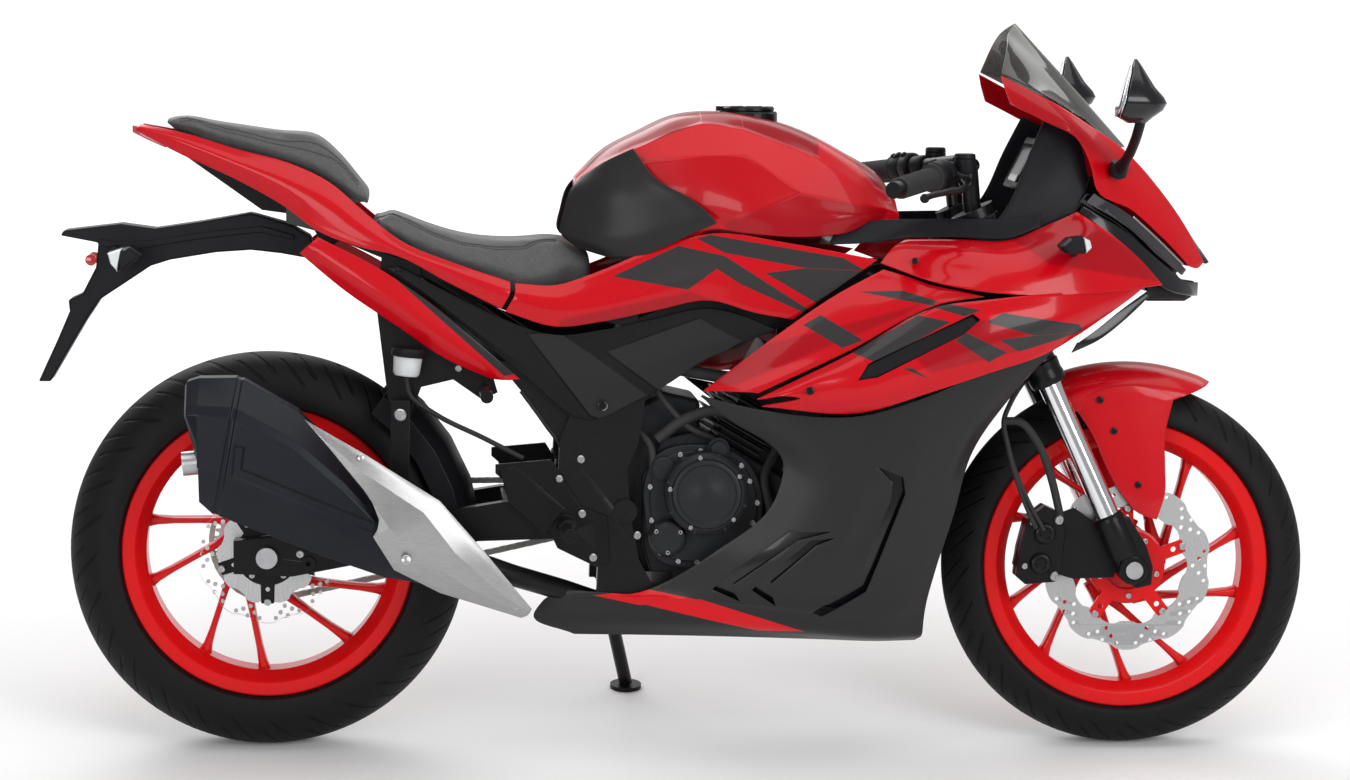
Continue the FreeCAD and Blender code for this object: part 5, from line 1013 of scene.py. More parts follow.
def turned(mesh, section, centre, around):
    """A closed section of distance along the axle and radius, turned about the axle."""
    rings = [[about(centre, r, turn, y) for y, r in section] for turn in turns(around)]
    add_grid(mesh, rings + [rings[0]], closed=True)


def rim_section(rim_width):
    edge = rim_width / 2
    bed = rim_width / 4
    half = [(edge - 1.5, 230), (edge, 228), (edge, 223), (edge - 1, 210), (edge - 4, 206), (bed + 8, 198),
            (bed, 192.5)]
    outer = [(bed, 204), (edge - 8, 216), (edge - 6, 229)]
    left = [(-y, r) for y, r in half]
    return half + left[::-1] + [(-y, r) for y, r in outer[::-1]] + outer


def spoke(mesh, turn, sweep, hub_radius, hub_depth, rim_depth):
    """One spoke, offset from the middle by its sweep, wider at the hub and at the rim."""
    reach = math.sqrt(SPOKE_END ** 2 - sweep ** 2)
    start = math.sqrt(max(hub_radius ** 2 - sweep ** 2, 64.0)) * 0.7
    rings = []
    for share, wide in SPOKE_WIDTHS:
        along = start + (reach - start) * share
        half = look().spoke_width * wide / 2
        depth = (hub_depth + (rim_depth - hub_depth) * share) / 2
        ring = []
        for side, level, cut in SPOKE_SECTION:
            across = half * side - sweep
            ring.append(Vector((along * math.cos(turn) - across * math.sin(turn), level * (depth - cut),
                                along * math.sin(turn) + across * math.cos(turn))))
        rings.append(ring)
    add_rings(mesh, rings)


def cast_wheel(name, body, node, rim_width, hub_radius, hub_half, sweep, depths, first_pair):
    """The rim and hub are turned, and one pair of spokes is repeated round the axle."""
    centre = WHEEL_PLACE[body]
    waist = hub_radius * 0.62
    half = [(hub_half - 30, waist), (hub_half - 20, waist + 6), (hub_half - 12, hub_radius),
            (hub_half - 3, hub_radius), (hub_half, hub_radius - 14), (hub_half, AXLE_HOLE)]
    hub = [(-y, r) for y, r in reversed(half)] + half
    mesh = drawn((turned, rim_section(rim_width), centre, 128), (turned, hub, centre, 64))
    piece(name, mesh, "wheel_paint", body, (node,), 32)
    pair = drawn(*[(spoke, math.radians(way * PAIR_ANGLE / 2), sweep, hub_radius, *depths) for way in (-1, 1)])
    bmesh.ops.recalc_face_normals(pair, faces=pair.faces[:])
    spokes = round_recipe("wheel_paint").grow(
        name + "_spokes", pair, PLACE @ Matrix.Translation(centre), Count=SPOKE_PAIRS,
        First=-math.radians(first_pair), Step=2 * math.pi / SPOKE_PAIRS)
    soften(settle(name + "_spokes", spokes, "wheel_paint", body), 1.6, 30)


def flat_loops(loops, thickness):
    """A mesh in the XY plane from closed loops, the inner ones being holes."""
    curve = bpy.data.curves.new("loops", "CURVE")
    curve.dimensions = "2D"
    curve.fill_mode = "BOTH"
    curve.extrude = thickness / 2
    for loop in loops:
        spline = curve.splines.new("POLY")
        spline.points.add(len(loop) - 1)
        for point, (x, y) in zip(spline.points, loop):
            point.co = (x, y, 0, 1)
        spline.use_cyclic_u = True
    holder = linked("loops", curve)
    bpy.context.view_layer.update()
    data = bpy.data.meshes.new_from_object(holder.evaluated_get(bpy.context.evaluated_depsgraph_get()))
    bpy.data.objects.remove(holder)
    mesh = bmesh.new()
    mesh.from_mesh(data)
    bmesh.ops.remove_doubles(mesh, verts=mesh.verts[:], dist=0.01)
    return mesh


def wavy_loop(radius, waves, depth, first=0.0):
    """A closed loop whose radius dips between its petals."""
    loop = []
    for turn in turns(240):
        swing = math.cos(waves * (turn - first))
        size = radius - depth * (1 - math.copysign(abs(swing) ** 0.5, swing)) / 2
        loop.append((size * math.cos(turn), size * math.sin(turn)))
    return loop


def round_loop(reach, way, radius, steps=14):
    """A circle whose middle lies at a distance and an angle from the axle."""
    return [(reach * math.cos(way) + radius * math.cos(turn), reach * math.sin(way) + radius * math.sin(turn))
            for turn in turns(steps)]


def arm_loop(hub, reach, arms, half_width, first):
    """The outline of a carrier: a round middle with arms."""
    loop = []
    for turn in turns(300):
        off = (turn - first + math.pi / arms) % (2 * math.pi / arms) - math.pi / arms
        along = abs(math.sin(off))
        size = reach
        if along * reach >= half_width or math.cos(off) <= 0:
            size = hub + (max(hub, min(reach, half_width / max(along, 1e-3))) - hub) * 0.9
        loop.append((size * math.cos(turn), size * math.sin(turn)))
    return loop


def charted(mesh, outer):
    """Charts a flat round piece by its distance from the middle and its angle."""
    chart = mesh.loops.layers.uv.new("UVMap")
    for face in mesh.faces:
        for loop in face.loops:
            x, y = loop.vert.co.x, loop.vert.co.y
            loop[chart].uv = (math.hypot(x, y) / outer, math.atan2(y, x) / (2 * math.pi))


DISC_ARMS = 5
# Holes of one petal: shares of the ring's width, shifts round the axle and radii
PETAL_HOLES = ((0.22, 0.00, 3.4), (0.46, 0.10, 3.4), (0.46, -0.10, 3.4), (0.68, 0.19, 3.2), (0.68, 0.0, 3.2),
               (0.68, -0.19, 3.2))


def brake_disc(name, body, node, outer, inner, side, carrier_finish, hub, arm_hole, bolt_circle, first):
    """The ground ring with its petals and holes, and the carrier with its arms and bolts."""
    middle = WHEEL_PLACE[body] + SIDEWAYS * side
    petals = look().disc_holes
    loops = [wavy_loop(outer, petals, outer * 0.055, math.pi / petals), wavy_loop(inner + 5, petals, 7.0)]
    for turn in turns(petals):
        for share, shift, size in PETAL_HOLES:
            loops.append(round_loop(inner + (outer - inner) * share + 4, turn + shift, size))
    ring = flat_loops(loops, 4.5)
    charted(ring, outer)
    arms = [arm_loop(hub, inner + 4, DISC_ARMS, 11, first), round_loop(0, 0, hub - 20, 48)]
    arms += [round_loop(arm_hole[0], turn, arm_hole[1], 16) for turn in turns(DISC_ARMS, first)]
    carrier = flat_loops(arms, 5.5)
    for mesh in (ring, carrier):
        bmesh.ops.transform(mesh, matrix=Matrix.Translation(middle) @ ALONG_Y, verts=mesh.verts[:])
    piece(name + "_ring_0", ring, "disc_steel", body, (node,), 30, bevel=0.4)
    piece(name + "_carrier_0", carrier, carrier_finish, body, (), 30, bevel=0.8)
    places = [(about(middle, bolt_circle, turn, -2.6), OUTWARD, 1.0)
              for turn in turns(DISC_ARMS, first + math.pi / DISC_ARMS)]
    places += [(about(middle, inner + 1, turn, -2.6), OUTWARD, 1.25) for turn in turns(DISC_ARMS, first)]
    scattered(name + "_bolts_0", bolt_head(4.6, 3.6), places, "steel", body)


class BIKE_OT_tyres(bpy.types.Operator):
    """Make both tyres, with the chart that their tread follows"""
    bl_idname = "bike.tyres"
    bl_label = "Tyres"

    def execute(self, context):
        tyre("front_tyre_tread", "front_wheel", "front_tyre", 293, 110, 88)
        tyre("rear_tyre_tread", "rear_wheel", "rear_tyre", 314, 140, 116)
        return {"FINISHED"}


class BIKE_OT_wheels(bpy.types.Operator):
    """Make the two cast wheels with their pairs of spokes"""
    bl_idname = "bike.wheels"
    bl_label = "Cast wheels"

    def execute(self, context):
        cast_wheel("front_wheel_rim", "front_wheel", "front_rim", 88, 62, 55, 58, (34, 26), 17)
        cast_wheel("rear_wheel_rim", "rear_wheel", "rear_rim", 116, 60, 77, 46, (44, 32), 195)
        return {"FINISHED"}


class BIKE_OT_discs(bpy.types.Operator):
    """Make the brake discs and their carriers"""
    bl_idname = "bike.discs"
    bl_label = "Brake discs"

    def execute(self, context):
        brake_disc("front_disc", "front_wheel", "front_brake_disc", 136, 92, -60, "wheel_paint", 58, (78, 4.5),
                   48, math.radians(20))
        brake_disc("rear_disc", "rear_wheel", "rear_brake_disc", 110, 75, -82, "black_metal", 50, (56, 3.5),
                   42, math.radians(54))
        return {"FINISHED"}


# Chain drive

CHAIN_PITCH = 12.7
ROLLER = CHAIN_PITCH / 2
REAR_TEETH, FRONT_TEETH = 47, 14
REAR_PITCH_RADIUS = CHAIN_PITCH / (2 * math.sin(math.pi / REAR_TEETH))
FRONT_PITCH_RADIUS = CHAIN_PITCH / (2 * math.sin(math.pi / FRONT_TEETH))
FRONT_SPROCKET = PIVOT + Vector((70, 0, 0))
CHAIN_SIDE = 83.5


def chain_places():
    """Each link's middle, the way it looks and its kind, round both sprockets."""
    span = FRONT_SPROCKET - REAR_AXLE
    base = math.atan2(span.z, span.x)
    spread = math.acos((REAR_PITCH_RADIUS - FRONT_PITCH_RADIUS) / span.length)
    run = span.length * math.sin(spread)
    rear_wrap, front_wrap = 2 * (math.pi - spread), 2 * spread
    front_end = run + front_wrap * FRONT_PITCH_RADIUS
    total = front_end + run + rear_wrap * REAR_PITCH_RADIUS
    links = int(round(total / CHAIN_PITCH))
    places = []
    for i in range(links):
        travel = total * (i + 0.5) / links
        along = 0.0
        if travel < run:
            centre, radius, angle, along = REAR_AXLE, REAR_PITCH_RADIUS, base + spread, travel
        elif travel < front_end:
            centre, radius = FRONT_SPROCKET, FRONT_PITCH_RADIUS
            angle = base + spread - (travel - run) / radius
        elif travel < front_end + run:
            centre, radius, angle = FRONT_SPROCKET, FRONT_PITCH_RADIUS, base - spread
            along = travel - front_end
        else:
            centre, radius = REAR_AXLE, REAR_PITCH_RADIUS
            angle = base - spread - (travel - front_end - run) / radius
        onward = Vector((math.sin(angle), 0, -math.cos(angle)))
        places.append((about(centre, radius, angle, CHAIN_SIDE) + onward * along, onward, i % 2))
    return places


def link_shape(outer):
    """One link along X: two waisted plates, with pins outside or rollers inside."""
    inner_face = 5.4 if outer else 3.6
    outline = []
    for turn in turns(16):
        x = ROLLER if math.cos(turn) > 0 else -ROLLER
        waist = 0.82 if abs(math.cos(turn)) < 0.45 else 1.0
        outline.append((x + 5.3 * math.cos(turn), 5.3 * math.sin(turn) * waist))
    steps = []
    for way in (-1, 1):
        steps.append((add_slab, outline, way * inner_face, way * (inner_face + 1.6)))
        if outer:
            steps += [(add_lathe, [(0, 2.2), (1.4, 2.2)], (x, way * (inner_face + 1.5), 0), (0, way, 0), 8)
                      for x in (-ROLLER, ROLLER)]
        else:
            steps.append((add_lathe, [(-3.6, 4.2), (3.6, 4.2)], (way * ROLLER, 0, 0), (0, 1, 0), 10))
    mesh = drawn(*steps)
    bmesh.ops.recalc_face_normals(mesh, faces=mesh.faces[:])
    return mesh


class BIKE_OT_chain(bpy.types.Operator):
    """Make the drive chain link by link, and finish the sprocket"""
    bl_idname = "bike.chain"
    bl_label = "Drive chain"

    def execute(self, context):
        for outer, name in enumerate(("chain_inner_links", "chain_outer_links")):
            rows = [(middle, (0.0, math.atan2(-onward.z, onward.x), 0.0), 1.0)
                    for middle, onward, kind in chain_places() if kind == outer]
            links = scattered(name, link_shape(outer), rows, "chain_steel")
        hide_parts("drive_chain")
        refined("rear_sprocket", "steel", 0.6)
        return {"FINISHED"}


# Fork, bars and front brake

FORK_FOOT = fork_point(0, FORK_SIDE)
FORK_TUBE = [(326, 19), (326, 27), (330, 29), (340, 29.5), (346, 28), (352, 28.5), (362, 29), (365, 26.5),
             (372, 26), (440, 26), (620, 26), (622, 22), (622, 0)]
FORK_SLIDER = [(60, 0), (60, 18.5), (330, 18.5), (330, 0)]
FORK_SHOE = [(20, 0), (20, 21), (30, 24), (84, 24), (92, 23), (96, 20.5), (96, 0)]
FORK_CLAMP = [(-21, 0), (-21, 20), (-18, 24), (18, 24), (21, 20), (21, 0)]
FORK_CHEEK = [(-20, -14), (6, -30), (30, -24), (32, 4), (20, 40), (-8, 84), (-34, 78), (-30, 30)]


def by_axle(outline):
    """Corners that are given from the front axle."""
    return [(FRONT_AXLE.x + x, FRONT_AXLE.z + z) for x, z in outline]


class BIKE_OT_fork(bpy.types.Operator):
    """Make the fork with its bright tubes, black legs and yokes"""
    bl_idname = "bike.fork"
    bl_label = "Fork"

    def execute(self, context):
        tubes = both((add_lathe, FORK_TUBE, FORK_FOOT, FORK_UP))
        piece("fork_outer_tubes", tubes, "black_metal", "steering", ("fork_tubes",), 30)
        sliders = both((add_lathe, FORK_SLIDER, FORK_FOOT, FORK_UP, 64))
        piece("fork_sliders", sliders, "bright_plating", "steering", ("fork_legs",), 30)
        feet = both((add_lathe, FORK_SHOE, FORK_FOOT, FORK_UP), (add_lathe, FORK_CLAMP, FORK_FOOT, SIDEWAYS),
                    (add_slab, by_axle(FORK_CHEEK), 84, 112))
        piece("fork_feet", feet, "black_metal", "steering", (), 35, bevel=2.0)
        refined("steering_yokes", "black_metal", 2.0)
        refined("front_axle", "steel", 1.0)
        return {"FINISHED"}


FORK_TOP = fork_point(622, FORK_SIDE)
BAR_BASE = FORK_TOP + Vector((-7, -3, 76))
BAR_END = Vector((FORK_TOP.x - 159, -345, FORK_TOP.z + 46))
BAR_WAY = (BAR_END - BAR_BASE).normalized()
BAR_SPAN = (BAR_END - BAR_BASE).length
GRIP_LENGTH = 122
POD_END = BAR_SPAN - 22.6 - GRIP_LENGTH


def bar_at(distance, ahead=0.0):
    """A point along the right bar, and in front of it for the fingers."""
    return BAR_BASE + BAR_WAY * distance + Vector((0.82, -0.2, -0.25)) * ahead


LEVER_PIVOT = bar_at(POD_END - 56, 40)
POD = [(-46, 12), (-46, 20), (-43, 23), (-30, 24), (-27, 22.6), (-24, 24), (-4, 23.5), (0, 21), (0, 12)]
POD_COLLAR = [(-76, 12), (-76, 15), (-72, 17), (-50, 17), (-47, 15), (-47, 12)]
PERCH_CAP = [(-9, 0), (-9, 8), (9, 8), (11, 6), (11, 0)]
FLUID_TANK = [(0, 0), (0, 14), (3, 16), (24, 17), (26, 17), (26, 16), (28, 17), (34, 16), (35, 13), (35, 0)]
STOP_BUTTON = [(20, 0), (20, 6), (27, 6), (28.5, 4.5), (28.5, 0)]


def ribbed_grip(mesh):
    profile = [(0, 12), (0, 21), (2, 22), (5, 22), (6, 17)]
    for k in range(26):
        start = 9 + k * 4.1
        profile += [(start, 16.4), (start + 1.3, 17.2), (start + 2.6, 17.2), (start + 3.4, 16.2)]
    profile += [(120, 16.5), (GRIP_LENGTH, 15.5), (GRIP_LENGTH, 12)]
    add_lathe(mesh, profile, bar_at(POD_END + 0.3), BAR_WAY, 32)


def control_pod(mesh):
    add_lathe(mesh, POD, bar_at(POD_END), BAR_WAY, 36)
    add_lathe(mesh, POD_COLLAR, bar_at(POD_END), BAR_WAY, 28)
    way = Vector((0.3, 0.1, 1)).normalized() - Vector((0.9, 0, 0))
    for place, size in ((-36, 6), (-20, 8), (-10, 5)):
        knob = [(18, 0), (18, size), (25, size), (27, size * 0.7), (27, 0)]
        add_lathe(mesh, knob, bar_at(POD_END + place), way, 16)


def hand_lever(mesh):
    line = smooth_line([LEVER_PIVOT - BAR_WAY * 6, LEVER_PIVOT + BAR_WAY * 24, bar_at(POD_END - 10, 56),
                        bar_at(POD_END + 60, 54), bar_at(BAR_SPAN - 30, 50), bar_at(BAR_SPAN - 8, 52)], 6)
    sizes = [7.5 - 2.5 * min(1, k / 20) for k in range(len(line))]
    sizes[-2:] = [7.4, 7.0]
    add_tube(mesh, line, sizes, 14)


def lever_perch(mesh):
    line = smooth_line([bar_at(POD_END - 60), bar_at(POD_END - 58, 20), LEVER_PIVOT], 4)
    add_tube(mesh, line, [14, 13, 12, 11, 10, 10, 10, 10, 10], 14)
    add_lathe(mesh, PERCH_CAP, LEVER_PIVOT, (0.1, 0.2, 1), 20)


class BIKE_OT_controls(bpy.types.Operator):
    """Make the bars, grips, switch pods, levers and the fluid tank"""
    bl_idname = "bike.controls"
    bl_label = "Bars and controls"

    def execute(self, context):
        refined("handlebars", "black_metal", 1.5)
        fluid = (add_lathe, FLUID_TANK, LEVER_PIVOT + Vector((-5, 11, 6)), UPWARD, 32)
        for name, step, finish, hides, sharp in (
                ("ribbed_grips", (ribbed_grip,), "grip_rubber", ("grips",), 30),
                ("switch_pods", (control_pod,), "black_plastic", ("hand_controls",), 30),
                ("hand_levers", (hand_lever,), "black_metal", (), 50),
                ("lever_perches", (lever_perch,), "black_metal", (), 40),
                ("fluid_tanks", fluid, "black_plastic", (), 35)):
            piece(name, both(step), finish, "steering", hides, sharp)
        button = drawn((add_lathe, STOP_BUTTON, bar_at(POD_END - 34), (-0.7, 0, 0.7), 18))
        # The stop button takes the red lens finish, with its faint painted glow.
        piece("stop_button", button, "red_lens", "steering", (), 35)
        return {"FINISHED"}


MUDGUARD_SECTION = [(-73, -28), (-72, -4), (-57, 15), (-29, 27), (0, 31), (29, 27), (57, 15), (72, -4),
                    (73, -28)]
# Angles round the axle, each with its share of the width, the rise of its edges and the drop of its whole row
MUDGUARD_STATIONS = [(60, 0.50, 14, 6), (66, 0.86, 4, 0)]
MUDGUARD_STATIONS += [(angle, 1.0, 0, 0) for angle in (74, 84, 94, 104, 114, 124, 132, 139)]
MUDGUARD_CHEEK = [
    [(634, 72, 556), (690, 75, 580), (740, 76, 584), (800, 74, 568)],
    [(668, 74, 506), (706, 77, 508), (746, 78, 508), (786, 76, 506)],
    [(693, 74, 452), (723, 77, 452), (756, 78, 453), (787, 76, 455)],
    [(717, 74, 410), (742, 76, 408), (766, 77, 408), (788, 75, 412)],
    [(735, 73, 386), (748, 74, 378), (762, 74, 372), (776, 73, 369)]]
MUDGUARD_TAIL = ((950, 340, 60), (1040, 350, 60), (1066, 410, 60), (1050, 480, 60), (950, 490, 60))
MUDGUARD_TIP = ((1216, 385, 70), (1260, 385, 70), (1260, 450, 70), (1158, 450, 70), (1160, 408, 70),
                (1172, 400, 70))


def mudguard_grid():
    rows = []
    for angle, share, rise, drop in MUDGUARD_STATIONS:
        rows.append([about(FRONT_AXLE, FRONT_AXLE.z + z + (rise if abs(y) > 60 else 0) - drop,
                           math.radians(angle), y * share) for y, z in MUDGUARD_SECTION])
    return grid_of(rows, 4, 5)


class BIKE_OT_front_mudguard(bpy.types.Operator):
    """Make the front mudguard with its deep cheeks"""
    bl_idname = "bike.front_mudguard"
    bl_label = "Front mudguard"

    def execute(self, context):
        crown = drawn((add_grid, mudguard_grid()))
        open_up(crown, [flat_outline(MUDGUARD_TIP), flat_outline(MUDGUARD_TAIL)])
        shown_from(crown, UPWARD)
        piece("front_mudguard_crown", crown, "red_paint", "steering", ("front_mudguard",), 30, PANEL_WALL, 0.8,
              outwards=False)
        panels("front_mudguard_cheeks", grid_of(right_side(MUDGUARD_CHEEK)), "red_paint", body="steering")
        places = twin_places([(1114, 431, 78, 1.1), (1138, 485, 78, 1.1), (1100, 400, 78, 1.1)], gap=-0.5)
        scattered("mudguard_screws", bolt_head(5.0, 3.0), places, "black_metal", "steering")
        return {"FINISHED"}


CALIPER = [(-184, -14), (-170, -26), (-122, -22), (-112, 8), (-106, 60), (-118, 90), (-140, 100), (-168, 78),
           (-180, 30)]
CALIPER_BRIDGE = [(-186, 2), (-176, -8), (-160, -4), (-158, 60), (-148, 92), (-168, 78), (-180, 34)]
CALIPER_ARM = [(-120, -10), (-92, -18), (-26, -16), (-14, 24), (-40, 60), (-92, 96), (-124, 84)]
CALIPER_CAP = [(0, 17), (6, 17), (9, 14), (9, 9), (6, 8), (6, 0)]
CALIPER_BOLTS = ((-118, 78, 1.5), (-124, -12, 1.5), (-172, 4, 1.0), (-160, 74, 1.0))
# Radii of the front brake's hoses, each with its way past points of the photograph
BRAKE_HOSES = (
    (4.2, ((1038, 366, 62), (1022, 384, 88), (1010, 404, 104), (1004, 420, 112), (1008, 446, 118),
           (1014, 470, 120), (1024, 500, 112), (1036, 528, 100))),
    (3.2, ((1006, 436, 112), (1014, 466, 118), (1028, 500, 116), (1044, 530, 98))),
    (6.5, ((1003, 421, 112), (1020, 422, 116), (1036, 440, 116), (1050, 474, 108), (1058, 506, 92),
           (1061, 520, 84))))


class BIKE_OT_front_brake(bpy.types.Operator):
    """Make the front caliper with its caps, bolts and hose"""
    bl_idname = "bike.front_brake"
    bl_label = "Front caliper"

    def execute(self, context):
        caps = [(add_lathe, CALIPER_CAP, (x, -91, z), OUTWARD, 32) for x, z in by_axle([(-146, 8), (-140, 56)])]
        caliper = drawn((add_slab, by_axle(CALIPER), 66, 92), (add_slab, by_axle(CALIPER), 42, 54),
                        (add_slab, by_axle(CALIPER_BRIDGE), 50, 70), *caps)
        piece("front_caliper_body", caliper, "black_metal", "steering", ("front_caliper",), 35, bevel=2.2)
        hoses = drawn(*[(add_tube, smooth_line([seen(*point) for point in points], 8), radius, 12)
                        for radius, points in BRAKE_HOSES])
        piece("front_brake_hose", hoses, "grip_rubber", "steering", (), 60)
        bracket = drawn((add_slab, by_axle(CALIPER_ARM), 76.5, 84))
        piece("front_caliper_bracket", bracket, "black_metal", "steering", (), 35, bevel=1.2)
        places = [(FRONT_AXLE + Vector((x, -93, z)), OUTWARD, size) for x, z, size in CALIPER_BOLTS]
        scattered("front_caliper_bolts", bolt_head(5.0, 5.0), places, "steel", "steering")
        return {"FINISHED"}


# Frame, engine and exhaust

FRAME_FINISHES = (
    ("main_frame", "frame_paint", 2.2), ("swingarm", "black_metal", 2.5),
    ("rear_axle", "steel", 0.8), ("rear_caliper", "black_metal", 1.5), ("front_stay", "black_metal", 1.0),
    ("side_stand", "black_metal", 1.2), ("rider_footrests", "black_metal", 1.2),
    ("pillion_footrests", "black_metal", 1.8))
RAIL_END = -612
SPAR_PLATE = ((497, 362), (521, 391), (545, 424), (562, 450), (560, 490), (600, 500), (625, 440), (585, 380),
              (548, 352))
SHOCK_TOP, SHOCK_FOOT = Vector((-74, 0, 654)), Vector((-180, 0, 418.3))
SHOCK_WAY = (SHOCK_FOOT - SHOCK_TOP).normalized()
SHOCK_END = (SHOCK_FOOT - SHOCK_TOP).length - 14
DAMPER = [(16, 0), (16, 20), (50, 22), (56, 34), (60, 34), (62, 19), (150, 19), (152, 10), (212, 10), (212, 33),
          (218, 33), (224, 22), (SHOCK_END, 16), (SHOCK_END, 0)]
DAMPER_EYE = [(-22, 0), (-22, 15), (-20, 18), (20, 18), (22, 15), (22, 0)]
# Forward, up, distance from the middle and size of each bolt head
FRAME_BOLTS = (
    (-116, 555, 129.5, 1.6), (-150, 470, 129.5, 1.2), (-60, 350, 129.5, 1.2), (-342, 610, 101.5, 1.1),
    (-297, 580, 101.5, 1.1), (-433, 540, 141, 1.9), (-148, 385, 137.5, 1.2), (-130, 316, 137.5, 1.2),
    (-184, 440, 137.5, 1.1), (-588, 320, 128.5, 1.2), (-560, 325, 128.5, 0.9))


def spring(mesh):
    """A coil of seven and a half turns, of twenty points each."""
    other = SHOCK_WAY.cross(SIDEWAYS)
    line = []
    for k in range(151):
        angle = 2 * math.pi * k / 20
        line.append(SHOCK_TOP + SHOCK_WAY * (58 + 152 * k / 150)
                    + (SIDEWAYS * math.cos(angle) + other * math.sin(angle)) * 29)
    add_tube(mesh, line, 4.6, 8)


class BIKE_OT_frame(bpy.types.Operator):
    """Finish the frame, swingarm, stands and footrests, and make the spring"""
    bl_idname = "bike.frame"
    bl_label = "Frame"

    def execute(self, context):
        for node, finish, bevel in FRAME_FINISHES:
            refined(node, finish, bevel)
        rails = cad_copy("subframe")
        bmesh.ops.bisect_plane(rails, geom=rails.faces[:] + rails.edges[:] + rails.verts[:], dist=1e-6,
                               plane_co=PLACE @ Vector((RAIL_END, 0, 0)), plane_no=LEANED @ Vector((-1, 0, 0)),
                               clear_outer=True)
        bmesh.ops.holes_fill(rails, edges=[edge for edge in rails.edges if edge.is_boundary])
        settle("seat_rails", mesh_data("seat_rails", rails), "black_metal", hides=("subframe",))
        damper = drawn((add_lathe, DAMPER, SHOCK_TOP, SHOCK_WAY, 40),
                       (add_lathe, DAMPER_EYE, SHOCK_FOOT, SIDEWAYS, 32))
        piece("rear_damper", damper, "black_metal", hides=("rear_shock",), sharp=35)
        # The spring takes the red lens finish, with its faint painted glow.
        piece("rear_spring", drawn((spring,)), "red_lens", sharp=60)
        plates = both((add_slab, flat_outline(SPAR_PLATE, 120), 106, 119))
        piece("spar_plates", plates, "frame_paint", sharp=30, bevel=2.5)
        ribs = [seen(across, down, 119) for across, down in SPAR_PLATE[1:5]]
        edging = drawn(*[(add_tube, smooth_line([Vector((p.x, p.y * side, p.z)) for p in ribs], 8), 3.2, 12)
                         for side in (-1, 1)])
        piece("spar_edges", edging, "cast_grey", sharp=60)
        scattered("frame_bolts", bolt_head(5.2, 4.0), both_sides(FRAME_BOLTS), "steel")
        return {"FINISHED"}


COVER_OUTLINE = [(-46, 360), (-30, 312), (30, 297), (116, 331), (139, 400), (111, 469), (40, 493), (-30, 477),
                 (-50, 430)]
COVER_MIDDLE = Vector((45, 0, 400))
COVER_BOLTS = ((-43, 372), (-28, 318), (2, 304), (34, 302), (78, 318), (112, 336), (126, 368), (133, 402),
               (120, 438), (106, 464), (74, 482), (38, 488), (4, 482), (-28, 472), (-46, 428))
# Turned covers: profile outwards from the middle, forward, up and count of sides
TURNED_COVERS = (
    ([(126, 0), (126, 66), (150, 66), (158, 64.5), (162, 61), (164, 58), (164, 55.5), (167, 54.5), (169, 53),
      (170, 50), (170, 47), (168, 45), (168, 20), (169, 18), (169, 0)], 46, 419, 72),
    ([(126, 0), (126, 30), (142, 29), (150, 26), (153, 21), (153, 0)], -13, 347, 48),
    ([(126, 0), (126, 17), (138, 17), (138, 13), (146, 12), (146, 0)], 66, 488, 32),
    ([(126, 0), (126, 20), (134, 19), (136, 16), (136, 0)], -20, 455, 36))
GEARBOX_REAR = ((640, 404), (664, 392), (700, 400), (700, 590), (652, 592), (636, 560), (618, 500), (622, 452))
FIN_COUNT = 9
# Ways of the hoses over the engine, each with its radius
ENGINE_HOSES = (
    ([(120, -100, 520), (60, -112, 545), (10, -118, 530), (-30, -118, 500)], 9),
    ([(160, -90, 480), (140, -118, 440), (150, -120, 380), (130, -110, 320)], 7),
    ([(-40, -104, 590), (-10, -116, 550), (20, -118, 520), (60, -108, 500)], 5),
    ([(-70, -100, 520), (-40, -116, 490), (-36, -122, 450), (-30, -118, 420)], 6),
    ([(190, -70, 560), (130, -100, 590), (60, -100, 600), (0, -96, 610)], 10))


